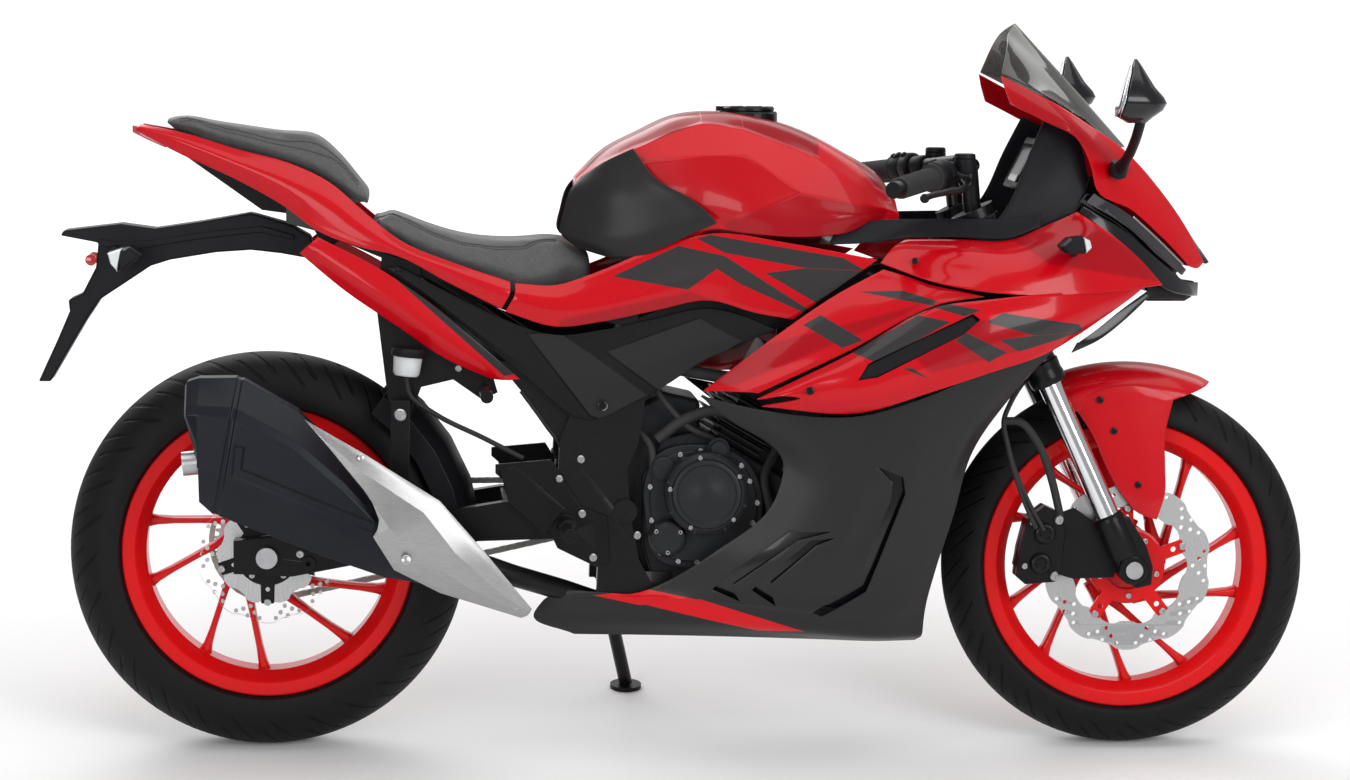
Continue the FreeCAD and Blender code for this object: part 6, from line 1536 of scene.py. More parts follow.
class BIKE_OT_engine(bpy.types.Operator):
    """Make the engine's covers, its fins, bolts and hoses, and finish its castings"""
    bl_idname = "bike.engine"
    bl_label = "Engine"

    def execute(self, context):
        refined("engine_case", "cast_grey", 3.0)
        refined("cylinder_head", "cast_grey", 1.5)
        corners = smooth_line([Vector((x, 0, z)) for x, z in COVER_OUTLINE + COVER_OUTLINE[:1]], 4)[:-1]
        inner = [COVER_MIDDLE + (p - COVER_MIDDLE) * 0.90 for p in corners]
        plate = drawn((add_slab, [(p.x, p.z) for p in corners], 104, 126),
                      (add_slab, [(p.x, p.z) for p in inner], 120, 130))
        piece("clutch_plate_cover", plate, "cast_grey", hides=("clutch_cover",), sharp=35, bevel=2.5)
        domes = drawn(*[(add_lathe, profile, (x, 0, z), OUTWARD, around)
                        for profile, x, z, around in TURNED_COVERS])
        piece("clutch_dome", domes, "cast_grey", sharp=28)
        rib = drawn((add_slab, [(52, -2.2), (65.5, -2.2), (65.5, 2.2), (52, 2.2)], 128, 163))
        ribs = round_recipe("cast_grey").grow("clutch_ribs", rib, PLACE @ Matrix.Translation((46, 0, 419)),
                                              Count=8, First=0.3, Step=2 * math.pi / 8)
        settle("clutch_ribs", ribs, "cast_grey")
        places = [(COVER_MIDDLE + (Vector((x, 0, z)) - COVER_MIDDLE) * 0.945 + OUTWARD * 129, OUTWARD, 1.0)
                  for x, z in COVER_BOLTS]
        for x, y, z, radius, count, size in ((46, -163.5, 419, 58, 5, 0.85), (-13, -150, 347, 22, 3, 0.8)):
            places += [(about(Vector((x, y, z)), radius, turn), OUTWARD, size) for turn in turns(count, 0.5)]
        scattered("engine_bolts", bolt_head(4.6, 5.0), places, "steel")
        rear = drawn((add_slab, flat_outline(GEARBOX_REAR, 84), -84, 84))
        piece("gearbox_rear", rear, "cast_grey", sharp=30, bevel=7.0)
        fin = drawn((add_block, (-12, -92, 0), (96, 92, 2.6)))
        bmesh.ops.rotate(fin, verts=fin.verts[:], cent=(0, 0, 0),
                         matrix=Matrix.Rotation(math.radians(30), 3, "Y"))
        bmesh.ops.translate(fin, verts=fin.verts[:], vec=(40, 0, 500))
        fins = row_recipe("cast_grey").grow("cylinder_fins", fin, PLACE, Count=FIN_COUNT, Step=(5.2, 0.0, 9.0))
        settle("cylinder_fins", fins, "cast_grey")
        hoses = drawn(*[(add_tube, smooth_line(points, 10), radius, 14) for points, radius in ENGINE_HOSES])
        piece("engine_hoses", hoses, "grip_rubber", sharp=60)
        return {"FINISHED"}


class BIKE_OT_radiator(bpy.types.Operator):
    """Make the radiator's core of fins between its tanks"""
    bl_idname = "bike.radiator"
    bl_label = "Radiator"

    def execute(self, context):
        refined("radiator", "core_fins", 1.5)
        pitch = look().fin_pitch
        for name, rear, front in (("radiator_fins_rear", 334.5, 338), ("radiator_fins_front", 366, 369.5)):
            fin = drawn((add_block, (rear, -149, 444), (front, 149, 445.2)))
            fins = row_recipe("core_fins").grow(name, fin, PLACE, Count=int(188 / pitch),
                                                Step=(0.0, 0.0, pitch))
            settle(name, fins, "core_fins")
        return {"FINISHED"}


PIPE_ROUTE = [(242.4, 0, 548.3), (274, 0, 530), (296, -10, 470), (296, -24, 390), (284, -46, 306),
              (218, -62, 240), (90, -70, 226), (-36, -74, 226), (-110, -80, 236), (-176, -106, 260),
              (-250, -156, 288), (-340, -186, 318), (-403, -186, 318)]
SILENCER_SECTION = ((0.15, 1.0), (0.60, 1.0), (0.95, 0.80), (1.0, 0.72), (1.0, 0.30), (0.94, 0.22), (0.68, 0.0),
                    (0.20, 0.0), (0.0, 0.16), (0.0, 0.84))
SILENCER_NOTCH = 26
SILENCER_RINGS = [
    (-763, 430, 588, 152, 238, 0.0, True), (-760, 424, 596, 146, 246, 0.0, True),
    (-742, 412, 602, 142, 250, 0.0), (-702, 392, 603, 142, 250, 0.17), (-700, 393, 601, 145, 247, 0.17),
    (-694, 391, 599, 145, 247, 0.17), (-692, 389, 600, 142, 250, 0.17), (-600, 350, 552, 142, 250, 0.10),
    (-520, 318, 476, 146, 250, 0.05), (-455, 294, 396, 156, 242, 0.0), (-403.3, 284, 352, 164, 220, 0.0)]
SHIELD_ROWS = [
    [(305, 420, 251), (361, 452, 252), (440, 501, 243), (484, 551, 227), (521, 596, 206), (532, 609, 198)],
    [(317, 434, 254), (365, 474, 257), (424, 513, 255), (456, 554, 243), (502, 595, 216), (530, 613, 198)],
    [(330, 449, 254), (364, 490, 256), (389, 528, 256), (420, 557, 246), (470, 589, 226), (527, 616, 198)],
    [(340, 462, 252), (385, 518, 252), (373, 537, 250), (394, 570, 239), (440, 593, 222), (521, 618, 198)]]
SHIELD_BOLTS = ((406, 560, 253, 1.4), (515, 605, 199, 1.4), (361, 458, 255, 1.0))


def silencer_ring(x, low, high, inner, outer, lean, notched=False):
    """A ring with flat faces: outwards from the inner side, and up."""
    ring = []
    for out, up in SILENCER_SECTION:
        forward = SILENCER_NOTCH if notched and up < 0.5 else 0
        ring.append(Vector((x + lean * (up - 0.5) * (high - low) + forward, -(inner + (outer - inner) * out),
                            low + (high - low) * up)))
    return ring


class BIKE_OT_exhaust(bpy.types.Operator):
    """Make the pipe, the faceted silencer with its end cap, and the brushed shield"""
    bl_idname = "bike.exhaust"
    bl_label = "Exhaust"

    def execute(self, context):
        pipe = drawn((add_tube, smooth_line(PIPE_ROUTE, 8), 17, 28))
        piece("exhaust_header", pipe, "black_metal", hides=("exhaust_pipe",), sharp=60)
        can = drawn((add_rings, [silencer_ring(*row) for row in SILENCER_RINGS]))
        soften(piece("silencer_can", can, "exhaust_black", hides=("muffler",), sharp=18), 5.0, 15, 3)
        strap = drawn((add_slab, [(-448, 350), (-418, 350), (-418, 562), (-448, 562)], 132.3, 140.3),
                      (add_slab, [(-450, 344), (-420, 344), (-420, 376), (-450, 376)], 132.3, 172))
        piece("silencer_strap", strap, "black_metal", sharp=35, bevel=1.0)
        outlet = drawn((add_lathe, [(0, 15), (26, 15), (26, 19), (0, 19)], (-742, -188, 470),
                        (-1, 0, -0.1), 36))
        piece("silencer_outlet", outlet, "steel", sharp=35)
        rows = [[seen(*point) for point in row] for row in SHIELD_ROWS]
        panels("brushed_shield", grid_of(rows, 3, 3, corners=(1, 2, 3, 4), creases=(1, 2)), "brushed_alloy",
               ("heat_shield",), wall=2.0, sides="right", sharp=9.0)
        outward = Vector((0.1, -1, 0.15)).normalized()
        places = [(seen(*point), outward, size) for *point, size in SHIELD_BOLTS]
        scattered("shield_bolts", bolt_head(5.6, 3.6, False), places, "steel")
        return {"FINISHED"}


# Bodywork

TANK_RINGS = [
    (-158, [(0, 908), (40, 906), (54, 900), (60, 880), (60, 830), (52, 800), (0, 800)]),
    (-110, [(0, 953), (60, 950), (88, 936), (100, 910), (104, 850), (96, 800), (0, 800)]),
    (-60, [(0, 980), (66, 976), (100, 958), (112, 930), (118, 862), (108, 800), (0, 800)]),
    (0, [(0, 1006), (70, 1003), (104, 986), (126, 940), (132, 872), (118, 800), (0, 800)]),
    (50, [(0, 1013), (72, 1010), (106, 996), (132, 946), (140, 862), (132, 831), (0, 800)]),
    (100, [(0, 1011), (72, 1006), (107, 985), (136, 944), (154, 852), (146, 827), (0, 800)]),
    (190, [(0, 990), (74, 980), (108, 951), (146, 890), (156, 856), (156, 822), (0, 800)]),
    (270, [(0, 951), (66, 940), (100, 913), (136, 875), (150, 856), (142, 828), (0, 806)]),
    (330, [(0, 912), (50, 900), (80, 876), (100, 864), (104, 856), (108, 840), (0, 816)]),
    (352, [(0, 880), (40, 874), (60, 864), (78, 858), (84, 852), (86, 842), (0, 826)])]
KNEE_ROWS = [
    [(-150, 66, 911), (-114, 96, 936), (-72, 116, 957)],
    [(-168, 72, 889), (-115, 114, 895), (-38, 136, 912)],
    [(-178, 74, 855), (-107, 121, 853), (30, 149, 871)],
    [(-183, 72, 823), (-119, 116, 809), (50, 152, 852)],
    [(-155, 84, 798), (-94, 116, 784), (58, 150, 842)]]
CAP_PLACE = Vector((118, 0, 1014.3))
FILLER_NECK = [(-34, 0), (-34, 47), (-3, 47), (-1.5, 45.5), (0, 45), (0, 0)]
CAP = [(0, 0), (0, 40), (1.5, 42), (5, 42), (7.6, 40), (7.6, 33), (5.6, 32), (5.6, 10), (7, 9), (7, 0)]


class BIKE_OT_tank(bpy.types.Operator):
    """Make the fuel tank with its creases, its cap and the knee panels"""
    bl_idname = "bike.tank"
    bl_label = "Fuel tank"

    def execute(self, context):
        rows = [[Vector((x, -y, z)) for y, z in half] for x, half in TANK_RINGS]
        tank = both((add_grid, grid_of(rows, 6, 6, corners=(2, 3, 5))))
        bmesh.ops.remove_doubles(tank, verts=tank.verts[:], dist=0.05)
        bmesh.ops.holes_fill(tank, edges=[e for e in tank.edges if e.is_boundary], sides=0)
        soften(piece("painted_tank", tank, "tank_paint", hides=("fuel_tank",), sharp=14), 2.2, 16, 3)
        panels("knee_pads", grid_of(right_side(KNEE_ROWS), 6, 5), "charcoal_paint", ("knee_panels",))
        neck = drawn((add_lathe, FILLER_NECK, (118, 0, 1014), UPWARD, 64))
        piece("filler_neck", neck, "black_metal", sharp=30)
        cap = drawn((add_lathe, CAP, CAP_PLACE, UPWARD, 64), (add_block, (67, -7, 1014.4), (80, 7, 1021.8)))
        piece("cap_lid", cap, "black_metal", "fuel_cap", ("fuel_cap",), 30)
        places = [(CAP_PLACE + Vector((36 * math.cos(turn), 36 * math.sin(turn), 6.8)), UPWARD, 0.7)
                  for turn in turns(7)]
        scattered("cap_screws", bolt_head(4.0, 2.0), places, "steel", "fuel_cap")
        return {"FINISHED"}


TAIL_ROWS = [
    [(-840, 35, 987), (-770, 55, 974), (-692, 70, 951), (-606, 82, 929), (-547, 92, 902), (-489, 100, 854),
     (-434, 108, 811), (-348, 118, 776), (-262, 122, 748)],
    [(-844, 45, 982), (-773, 68, 962), (-696, 86, 933), (-616, 100, 903), (-551, 110, 873), (-493, 118, 830),
     (-437, 124, 796), (-348, 130, 763), (-262, 134, 733)],
    [(-850, 42, 978), (-778, 60, 941), (-696, 76, 905), (-616, 92, 862), (-562, 108, 824), (-499, 118, 801),
     (-440, 122, 787), (-356, 126, 744), (-276, 130, 705)]]
STRUT_ROWS = [
    [(-562, 108, 820), (-470, 118, 774), (-403, 121, 731), (-325, 124, 669), (-246, 124, 600)],
    [(-577, 110, 807), (-504, 122, 757), (-426, 128, 706), (-340, 128, 645), (-265, 124, 598)],
    [(-591, 100, 794), (-520, 108, 736), (-441, 114, 683), (-359, 118, 629), (-290, 118, 599)]]
BAND_ROWS = [
    [(-255, 122, 746), (-192, 122, 743), (-127, 124, 764), (-44, 128, 799), (52, 142, 826), (173, 158, 812),
     (309, 172, 788)],
    [(-255, 134, 731), (-193, 136, 716), (-122, 138, 718), (-45, 142, 734), (51, 152, 762), (141, 162, 755),
     (247, 172, 744)],
    [(-270, 130, 701), (-192, 130, 678), (-114, 132, 687), (-36, 136, 704), (49, 146, 721), (119, 156, 703),
     (178, 162, 693)]]
COVER_ROWS = [
    [(-440, 112, 780), (-356, 116, 737), (-270, 122, 696), (-192, 126, 673), (-114, 128, 682), (-36, 132, 699),
     (50, 142, 716), (96, 148, 707), (153, 152, 684)],
    [(-446, 113, 777), (-376, 121, 728), (-294, 129, 665), (-215, 135, 618), (-129, 138, 608), (-51, 140, 635),
     (19, 146, 659), (68, 150, 668), (125, 152, 673)],
    [(-457, 111, 776), (-395, 117, 734), (-312, 123, 667), (-238, 131, 608), (-136, 134, 540), (-74, 134, 564),
     (-12, 138, 599), (42, 144, 636), (100, 150, 660)]]
TAIL_CLOSING = ((152, 134), (184, 155), (262, 210), (306, 216), (326, 250), (340, 240), (312, 196), (236, 158),
                (176, 132))
# The floor between the tail closings, across it and up from their foot
CLOSING_FLOOR = ((-35, 0), (0, 0), (35, 0), (35, 3), (0, 3), (-35, 3))


class BIKE_OT_side_panels(bpy.types.Operator):
    """Make the tail panels, the red bands over the frame and the dark side covers"""
    bl_idname = "bike.side_panels"
    bl_label = "Tail and side panels"

    def execute(self, context):
        for name, rows, drop, finish, hides in (
                ("tail_sides", TAIL_ROWS, 0, "tail_paint", ("tail_panels",)),
                ("tail_struts", STRUT_ROWS, 5, "tail_paint", ()),
                ("frame_bands", BAND_ROWS, 0, "upper_paint", ("frame_covers",)),
                ("dark_side_covers", COVER_ROWS, 8, "cover_plastic", ("side_covers",))):
            panels(name, grid_of(right_side(rows, drop), 5, 6), finish, hides)
        foot = [seen(across, down, 36) for across, down in TAIL_CLOSING[:4]]
        rings = [[Vector((p.x, y, p.z + up)) for y, up in CLOSING_FLOOR] for p in foot]
        closing = drawn((add_slab, flat_outline(TAIL_CLOSING, 36), 33, 36), (add_mirrored,), (add_rings, rings))
        piece("tail_closings", closing, "black_plastic", sharp=35, bevel=0.8)
        places = twin_places(((602, 405, 137, 1.5), (396, 270, 126, 0.9)), gap=0.5)
        scattered("cover_screws", bolt_head(5.2, 2.6), places, "black_metal")
        return {"FINISHED"}


UPPER_ROWS = [
    [(354, 150, 819), (439, 158, 820), (518, 162, 820), (573, 158, 842), (625, 150, 864)],
    [(333, 170, 808), (434, 196, 802), (520, 200, 798), (608, 190, 814), (677, 150, 831)],
    [(321, 180, 796), (417, 214, 767), (525, 222, 768), (639, 196, 778), (728, 140, 790)],
    [(311, 186, 784), (400, 222, 755), (524, 232, 738), (655, 200, 740), (769, 120, 748)]]
REAR_FAIRING_ROWS = [
    [(316, 186, 774), (349, 196, 765), (386, 208, 752), (432, 220, 743), (470, 226, 735)],
    [(249, 186, 738), (291, 200, 732), (332, 212, 728), (370, 220, 724), (403, 226, 724)],
    [(141, 182, 663), (178, 198, 656), (216, 208, 652), (243, 216, 648), (266, 220, 652)],
    [(36, 178, 582), (60, 192, 584), (85, 204, 584), (105, 212, 584), (120, 214, 582)]]
BLADE_END = ((1143, 288, 150), (1131, 298, 158), (1106, 316, 172), (1083, 332, 186))
BLADE_ROWS = [
    [(118, 222, 574), (260, 232, 645), (398, 238, 720), (468, 240, 730), (587, 222, 741), (727, 150, 744)],
    [(155, 236, 580), (259, 246, 631), (382, 250, 684), (475, 250, 708), (587, 230, 712), (715, 158, 718)],
    [(183, 238, 577), (278, 248, 572), (383, 252, 615), (476, 250, 646), (572, 230, 671), (690, 172, 688)],
    [(126, 222, 562), (280, 232, 554), (385, 238, 586), (479, 236, 617), (567, 220, 645), (655, 186, 664)]]
LOWER_ROWS = [
    [(33, 176, 574), (127, 206, 555), (282, 220, 548), (387, 226, 580), (481, 220, 622), (594, 194, 660)],
    [(79, 184, 538), (171, 212, 517), (294, 224, 511), (388, 226, 527), (459, 214, 545), (520, 176, 573)],
    [(162, 196, 473), (218, 214, 455), (311, 222, 448), (382, 220, 456), (431, 200, 470), (463, 174, 489)],
    [(150, 196, 414), (211, 212, 392), (297, 220, 378), (360, 214, 377), (402, 196, 382), (433, 176, 386)],
    [(59, 178, 330), (143, 200, 320), (252, 212, 298), (323, 206, 289), (373, 192, 290), (405, 172, 294)],
    [(-56, 140, 261), (67, 176, 257), (191, 196, 249), (286, 192, 237), (359, 176, 235), (394, 154, 237)],
    [(-206, 116, 246), (-40, 142, 240), (120, 172, 234), (250, 182, 222), (336, 172, 216), (392, 150, 217)],
    [(-222, 112, 222), (-55, 132, 216), (101, 152, 211), (226, 166, 202), (322, 160, 194), (391, 142, 195)],
    [(-157, 100, 189), (-37, 104, 188), (105, 112, 186), (232, 118, 183), (327, 118, 180), (384, 112, 181)]]
COCKPIT_ROWS = [
    [(232, 164, 812), (300, 162, 815), (354, 154, 821), (439, 158, 823), (518, 163, 823), (566, 158, 840)],
    [(250, 128, 838), (320, 134, 849), (380, 144, 851), (450, 150, 852), (520, 152, 853), (568, 150, 862)]]
SIDE_SLOT = ((857, 380, 244), (868, 363, 244), (972, 313, 236), (979, 319, 236), (962, 334, 240),
             (877, 377, 246))
CHEVRONS = (
    ((713, 591, 192), (723, 581, 194), (788, 533, 212), (832, 532, 216), (798, 541, 212), (731, 588, 194),
     (741, 603, 192)),
    ((752, 591, 196), (761, 581, 198), (811, 541, 214), (836, 538, 216), (816, 546, 214), (769, 586, 198),
     (776, 607, 194)))
SCOOP_EDGE = ((878, 467, 222), (892, 482, 219), (890, 499, 217), (856, 580, 205), (812, 614, 198))
SCOOP_SLOT = SCOOP_EDGE + ((822, 618, 196), (866, 592, 204), (905, 494, 216), (903, 477, 218))
LIP_WIDTH, LIP_HEIGHT = 46.0, 7.0
STAND_CUT = [(-400, 100), (-34, 100), (-34, 420), (-400, 420)]
SCOOP_LINE = flat_outline(SCOOP_EDGE)


def ended(rows, points):
    """Rows of corners, each led on to a point of the photograph."""
    ends = [seen(*point) for point in points]
    return [row[:-1] + [(p.x, -p.y, p.z)] for row, p in zip(rows, ends)]


def scoop_lip(point):
    """How far the lower fairing rises towards the edge of its scoop."""
    top, foot = SCOOP_LINE[0][1], SCOOP_LINE[-1][1]
    for (ax, az), (bx, bz) in zip(SCOOP_LINE, SCOOP_LINE[1:]):
        if bz <= point.z <= az:
            gap = ax + (bx - ax) * (point.z - az) / (bz - az) - point.x
            if -0.8 < gap < LIP_WIDTH:
                ends = min(1.0, (top - point.z) / 30, (point.z - foot) / 30)
                return LIP_HEIGHT * max(0.0, ends) * (1 - max(gap, 0.0) / LIP_WIDTH)
    return 0.0


def sunk(grid, depth):
    """The same surface, moved in from the right side."""
    return [[point + SIDEWAYS * depth for point in row] for row in grid]


class BIKE_OT_fairings(bpy.types.Operator):
    """Make the upper, middle and lower fairings with their slots"""
    bl_idname = "bike.fairings"
    bl_label = "Fairings"

    def execute(self, context):
        panels("upper_fairing_skins", grid_of(right_side(UPPER_ROWS), 6, 5), "upper_paint", ("upper_fairings",))
        panels("rear_fairing_skins", grid_of(right_side(REAR_FAIRING_ROWS), 6, 5), "upper_paint",
               ("rear_fairings",))
        blade_grid = grid_of(right_side(ended(BLADE_ROWS, BLADE_END)), 6, 5)
        panels("blade_fairing_skins", blade_grid, "upper_paint", ("blade_fairings",),
               holes=[flat_outline(SIDE_SLOT)])
        lower_grid = grid_of(right_side(LOWER_ROWS), 10, 9)
        openings = [flat_outline(outline) for outline in (SCOOP_SLOT, *CHEVRONS)]
        panels("lower_fairing_right", lower_grid, "belly_paint", ("lower_fairings",), sides="right",
               holes=openings, press=scoop_lip)
        panels("lower_fairing_left", lower_grid, "belly_paint", sides="left", holes=openings + [STAND_CUT],
               press=scoop_lip)
        panels("cockpit_covers", grid_of(right_side(COCKPIT_ROWS), 6, 4), "black_plastic")
        panels("slot_backs", sunk(blade_grid, 12), "gloss_black", wall=1.5)
        panels("scoop_backs", [row[1:-1] for row in sunk(lower_grid, 15)[3:46]], "gloss_black", wall=1.5)
        places = twin_places(((915, 261, 201, 1.0), (810, 391, 245, 1.2), (1064, 318, 176, 0.9)), rise=0.1)
        scattered("fairing_screws", bolt_head(5.4, 2.6), places, "black_metal")
        return {"FINISHED"}


NOSE_ROWS = [
    [(505, 122, 1076), (550, 130, 1053), (598, 130, 1029), (644, 122, 1001), (705, 90, 963), (773, 60, 896),
     (817, 45, 839), (854, 20, 779)],
    [(510, 132, 1056), (556, 142, 1032), (603, 148, 1009), (652, 144, 968), (697, 118, 926), (751, 92, 873),
     (801, 68, 820), (842, 34, 770)],
    [(518, 138, 1031), (571, 150, 1005), (626, 156, 975), (646, 156, 933), (655, 152, 900), (718, 116, 866),
     (768, 92, 826), (825, 52, 774)]]
LAMP_ROWS = [
    [(652, 148, 892), (716, 112, 858), (766, 88, 818), (820, 50, 768)],
    [(640, 144, 878), (708, 124, 842), (766, 96, 794), (812, 58, 760)]]
BEAK_ROWS = [
    [(636, 144, 872), (704, 124, 834), (768, 98, 784), (814, 60, 752), (846, 18, 746)],
    [(628, 142, 862), (697, 132, 814), (772, 104, 744), (833, 40, 726), (846, 12, 724)]]
BEAK_TIP = ((1146, 262), (1160, 254), (1177, 275), (1193, 296), (1184, 301), (1144, 301))
SCREEN_ROWS = [
    [(545, 0, 1158), (632, 0, 1065), (726, 0, 962)],
    [(528, 44, 1142), (606, 52, 1066), (706, 44, 968)],
    [(521, 80, 1123), (581, 90, 1061), (692, 68, 972)],
    [(507, 120, 1079), (560, 128, 1054), (640, 118, 1009)]]
NOSE_MIDDLE = [
    [(700, 0, 966), (740, 0, 930), (800, 0, 868), (846, 0, 806), (866, 0, 778)],
    [(716, 44, 950), (756, 40, 912), (806, 30, 854), (844, 20, 800), (858, 12, 776)],
    [(706, 82, 955), (766, 56, 897), (806, 42, 846), (830, 32, 812), (848, 17, 780)]]
COWL_ROWS = [
    [(576, 116, 1008), (548, 132, 948), (520, 146, 880), (466, 152, 812)],
    [(630, 120, 975), (600, 134, 930), (566, 145, 868), (520, 150, 806)],
    [(646, 122, 920), (640, 130, 890), (620, 136, 850), (590, 138, 800)]]
LAMP_BAR = [[(1134, 216, 134), (1158, 238, 112), (1184, 264, 78)],
            [(1133, 217.3, 135), (1157, 239.3, 114), (1183, 265.3, 80)]]
# The light strip runs from the blade's edge to a ridge, and its dark frame from there to a foot
STRIP_LINES = (((1140, 289), (1119, 304), (1098, 319), (1083, 332)),
               ((1147, 291), (1121, 310), (1095, 331), (1078, 343)),
               ((1152, 294), (1127, 318), (1099, 340), (1072, 353)))
STRIP_SIDES = (130, 148, 162, 174)
DASH_BACK = Vector((-0.9, 0, 0.43))


def centre_sheet(name, rows, finish, hides, wall):
    """A sheet over the middle, from the rows of its right half with the middle row first."""
    left = [[Vector((x, y, z)) for x, y, z in row] for row in rows[1:]]
    mesh = drawn((add_grid, grid_of(right_side(rows)[::-1] + left, 6, 6)))
    shown_from(mesh, UPWARD)
    piece(name, mesh, finish, "frame", hides, 30, wall, 0.8, outwards=False)


class BIKE_OT_nose(bpy.types.Operator):
    """Make the nose, lamps, beak, screen, cowls and instrument"""
    bl_idname = "bike.nose"
    bl_label = "Nose and screen"

    def execute(self, context):
        centre_sheet("nose_middle", NOSE_MIDDLE, "gloss_black", ("nose_centre",), PANEL_WALL)
        centre_sheet("smoked_windscreen", SCREEN_ROWS, "screen_glass", ("windscreen",), 2.5)
        lamp_grid = grid_of(right_side(LAMP_ROWS), 8, 6)
        bowl_grid = [[p + Vector((-10, 9, 0)) for p in row] for row in lamp_grid]
        bar_grid = grid_of([[seen(*point) for point in row] for row in LAMP_BAR], 8, 2)
        edge, ridge, foot = [[seen(*at, side) for at, side in zip(line, STRIP_SIDES)] for line in STRIP_LINES]
        for name, grid, finish, hides, wall, bevel in (
                ("nose_cheeks", grid_of(right_side(NOSE_ROWS), 6, 6), "nose_paint", ("nose_panels",), 2.6, 0.9),
                ("lamp_lenses", lamp_grid, "dark_lens", ("headlamps",), 3.0, 0.9),
                ("lamp_bowls", bowl_grid, "gloss_black", (), 2.0, 0.9),
                ("lamp_bars", bar_grid, "steel", (), 1.5, 0.4),
                ("dark_beak", grid_of(right_side(BEAK_ROWS), 6, 5), "gloss_black", ("beak",), 2.6, 0.9),
                ("dash_side_cowls", grid_of(right_side(COWL_ROWS), 6, 6), "black_plastic", ("dash_cowls",),
                 2.6, 0.9),
                ("light_strips", grid_of([edge, ridge], 8, 2), "light_strip", (), 3.0, 0.6),
                ("light_strip_frames", grid_of([ridge, foot], 8, 2), "gloss_black", (), 3.0, 0.6)):
            panels(name, grid, finish, hides, wall=wall, bevel=bevel)
        tip = drawn((add_slab, flat_outline(BEAK_TIP, 20), -26, 26))
        piece("beak_tip", tip, "gloss_black", sharp=35, bevel=5.0)
        rings = [[Vector((x, y, z)) + DASH_BACK * depth
                  for y, depth in ((-half, 0), (-half, 24), (half, 24), (half, 0))]
                 for x, z, half in ((560, 886, 70), (600, 966, 74))]
        piece("instrument_case", drawn((add_rings, rings)), "black_plastic", hides=("instrument",), sharp=35,
              bevel=4.0)
        up = Vector((40, 0, 80)).normalized()
        middle = Vector((580, 0, 926)) + DASH_BACK * 24.6
        low, high = [[middle + SIDEWAYS * (half * way) + up * rise for way in (-1, 1)]
                     for half, rise in ((60, -34), (62, 32))]
        glass = drawn((add_grid, [high, low]))
        bmesh.ops.subdivide_edges(glass, edges=glass.edges[:], cuts=4, use_grid_fill=True)
        piece("instrument_glass", glass, "gloss_black", sharp=35, wall=1.0)
        return {"FINISHED"}


MIRROR_LEVELS = ((59, 1135.5, 1137, 2), (66, 1133.5, 1142, 12), (76, 1130.5, 1148, 22), (87, 1127, 1155, 31),
                 (97, 1124.5, 1164, 37), (103, 1123, 1167, 38), (110, 1121, 1163, 33), (117, 1119.5, 1153, 22),
                 (123, 1129, 1146, 8))
MIRROR_SIDE = 316


def mirror_head(mesh):
    rings = []
    for down, rear, front, half in MIRROR_LEVELS:
        back, ahead = seen(rear, down, MIRROR_SIDE), seen(front, down, MIRROR_SIDE)
        ring = []
        for turn in turns(28):
            c = math.cos(turn)
            x = back.x + (ahead.x - back.x) * c ** 0.85 if c > 0 else back.x + 2 * c
            ring.append(Vector((x, -MIRROR_SIDE + half * math.sin(turn), back.z)))
        rings.append(ring)
    add_rings(mesh, rings)


def mirror_stalk(mesh):
    line = smooth_line([Vector((690, -138, 926)), seen(1126, 160, 176), seen(1133, 146, 240),
                        seen(1139, 128, 300), seen(1142, 116, 316)], 8)
    add_tube(mesh, line, [13 - 5 * min(1.0, k / 8) for k in range(len(line))], 18)
    add_lathe(mesh, [(-6, 0), (-6, 14), (10, 16), (16, 12), (16, 0)], (690, -141, 926), (0.1, -0.3, 1), 28)


def mirror_face(mesh):
    grid = []
    for down, rear, _, half in MIRROR_LEVELS[1:-1]:
        back = seen(rear, down, MIRROR_SIDE)
        grid.append([Vector((back.x - 2.6, -MIRROR_SIDE + (half - 3) * share, back.z)) for share in (-1, 0, 1)])
    add_grid(mesh, grid)


class BIKE_OT_mirrors(bpy.types.Operator):
    """Make the mirrors on their stalks"""
    bl_idname = "bike.mirrors"
    bl_label = "Mirrors"

    def execute(self, context):
        piece("mirror_heads", both((mirror_head,)), "gloss_black", hides=("mirrors",), sharp=40)
        piece("mirror_stalks", both((mirror_stalk,)), "black_plastic", sharp=40)
        piece("mirror_faces", both((mirror_face,)), "mirror_glass", sharp=40, wall=1.5)
        return {"FINISHED"}


CARRIER_OUTLINE = [(-961, 819), (-872, 830), (-818, 823), (-747, 834), (-670, 848), (-660, 846), (-610, 832),
                   (-574, 812), (-570, 776), (-621, 785), (-668, 790), (-723, 786), (-794, 774), (-825, 764),
                   (-904, 711), (-927, 676), (-982, 581), (-1001, 581), (-971, 647), (-952, 692), (-954, 710),
                   (-932, 720), (-911, 761), (-907, 800), (-966, 811)]
CARRIER_LEDGE = [(-905, 806), (-860, 800), (-812, 806), (-740, 818), (-650, 828), (-600, 814), (-600, 806),
                 (-655, 818), (-742, 808), (-815, 796), (-862, 788), (-905, 796)]
FRONT_SIGNAL = ((1061, 247), (1071, 238), (1085, 236), (1088, 254), (1066, 254))
FRONT_SIGNAL_LENS = ((1083, 236.5), (1090, 240), (1092, 248), (1086, 254))
REAR_SIGNAL = ((110, 252), (128, 247), (142, 256), (120, 275))
REAR_SIGNAL_LENS = ((107, 253), (122, 248), (117, 272), (110, 264))
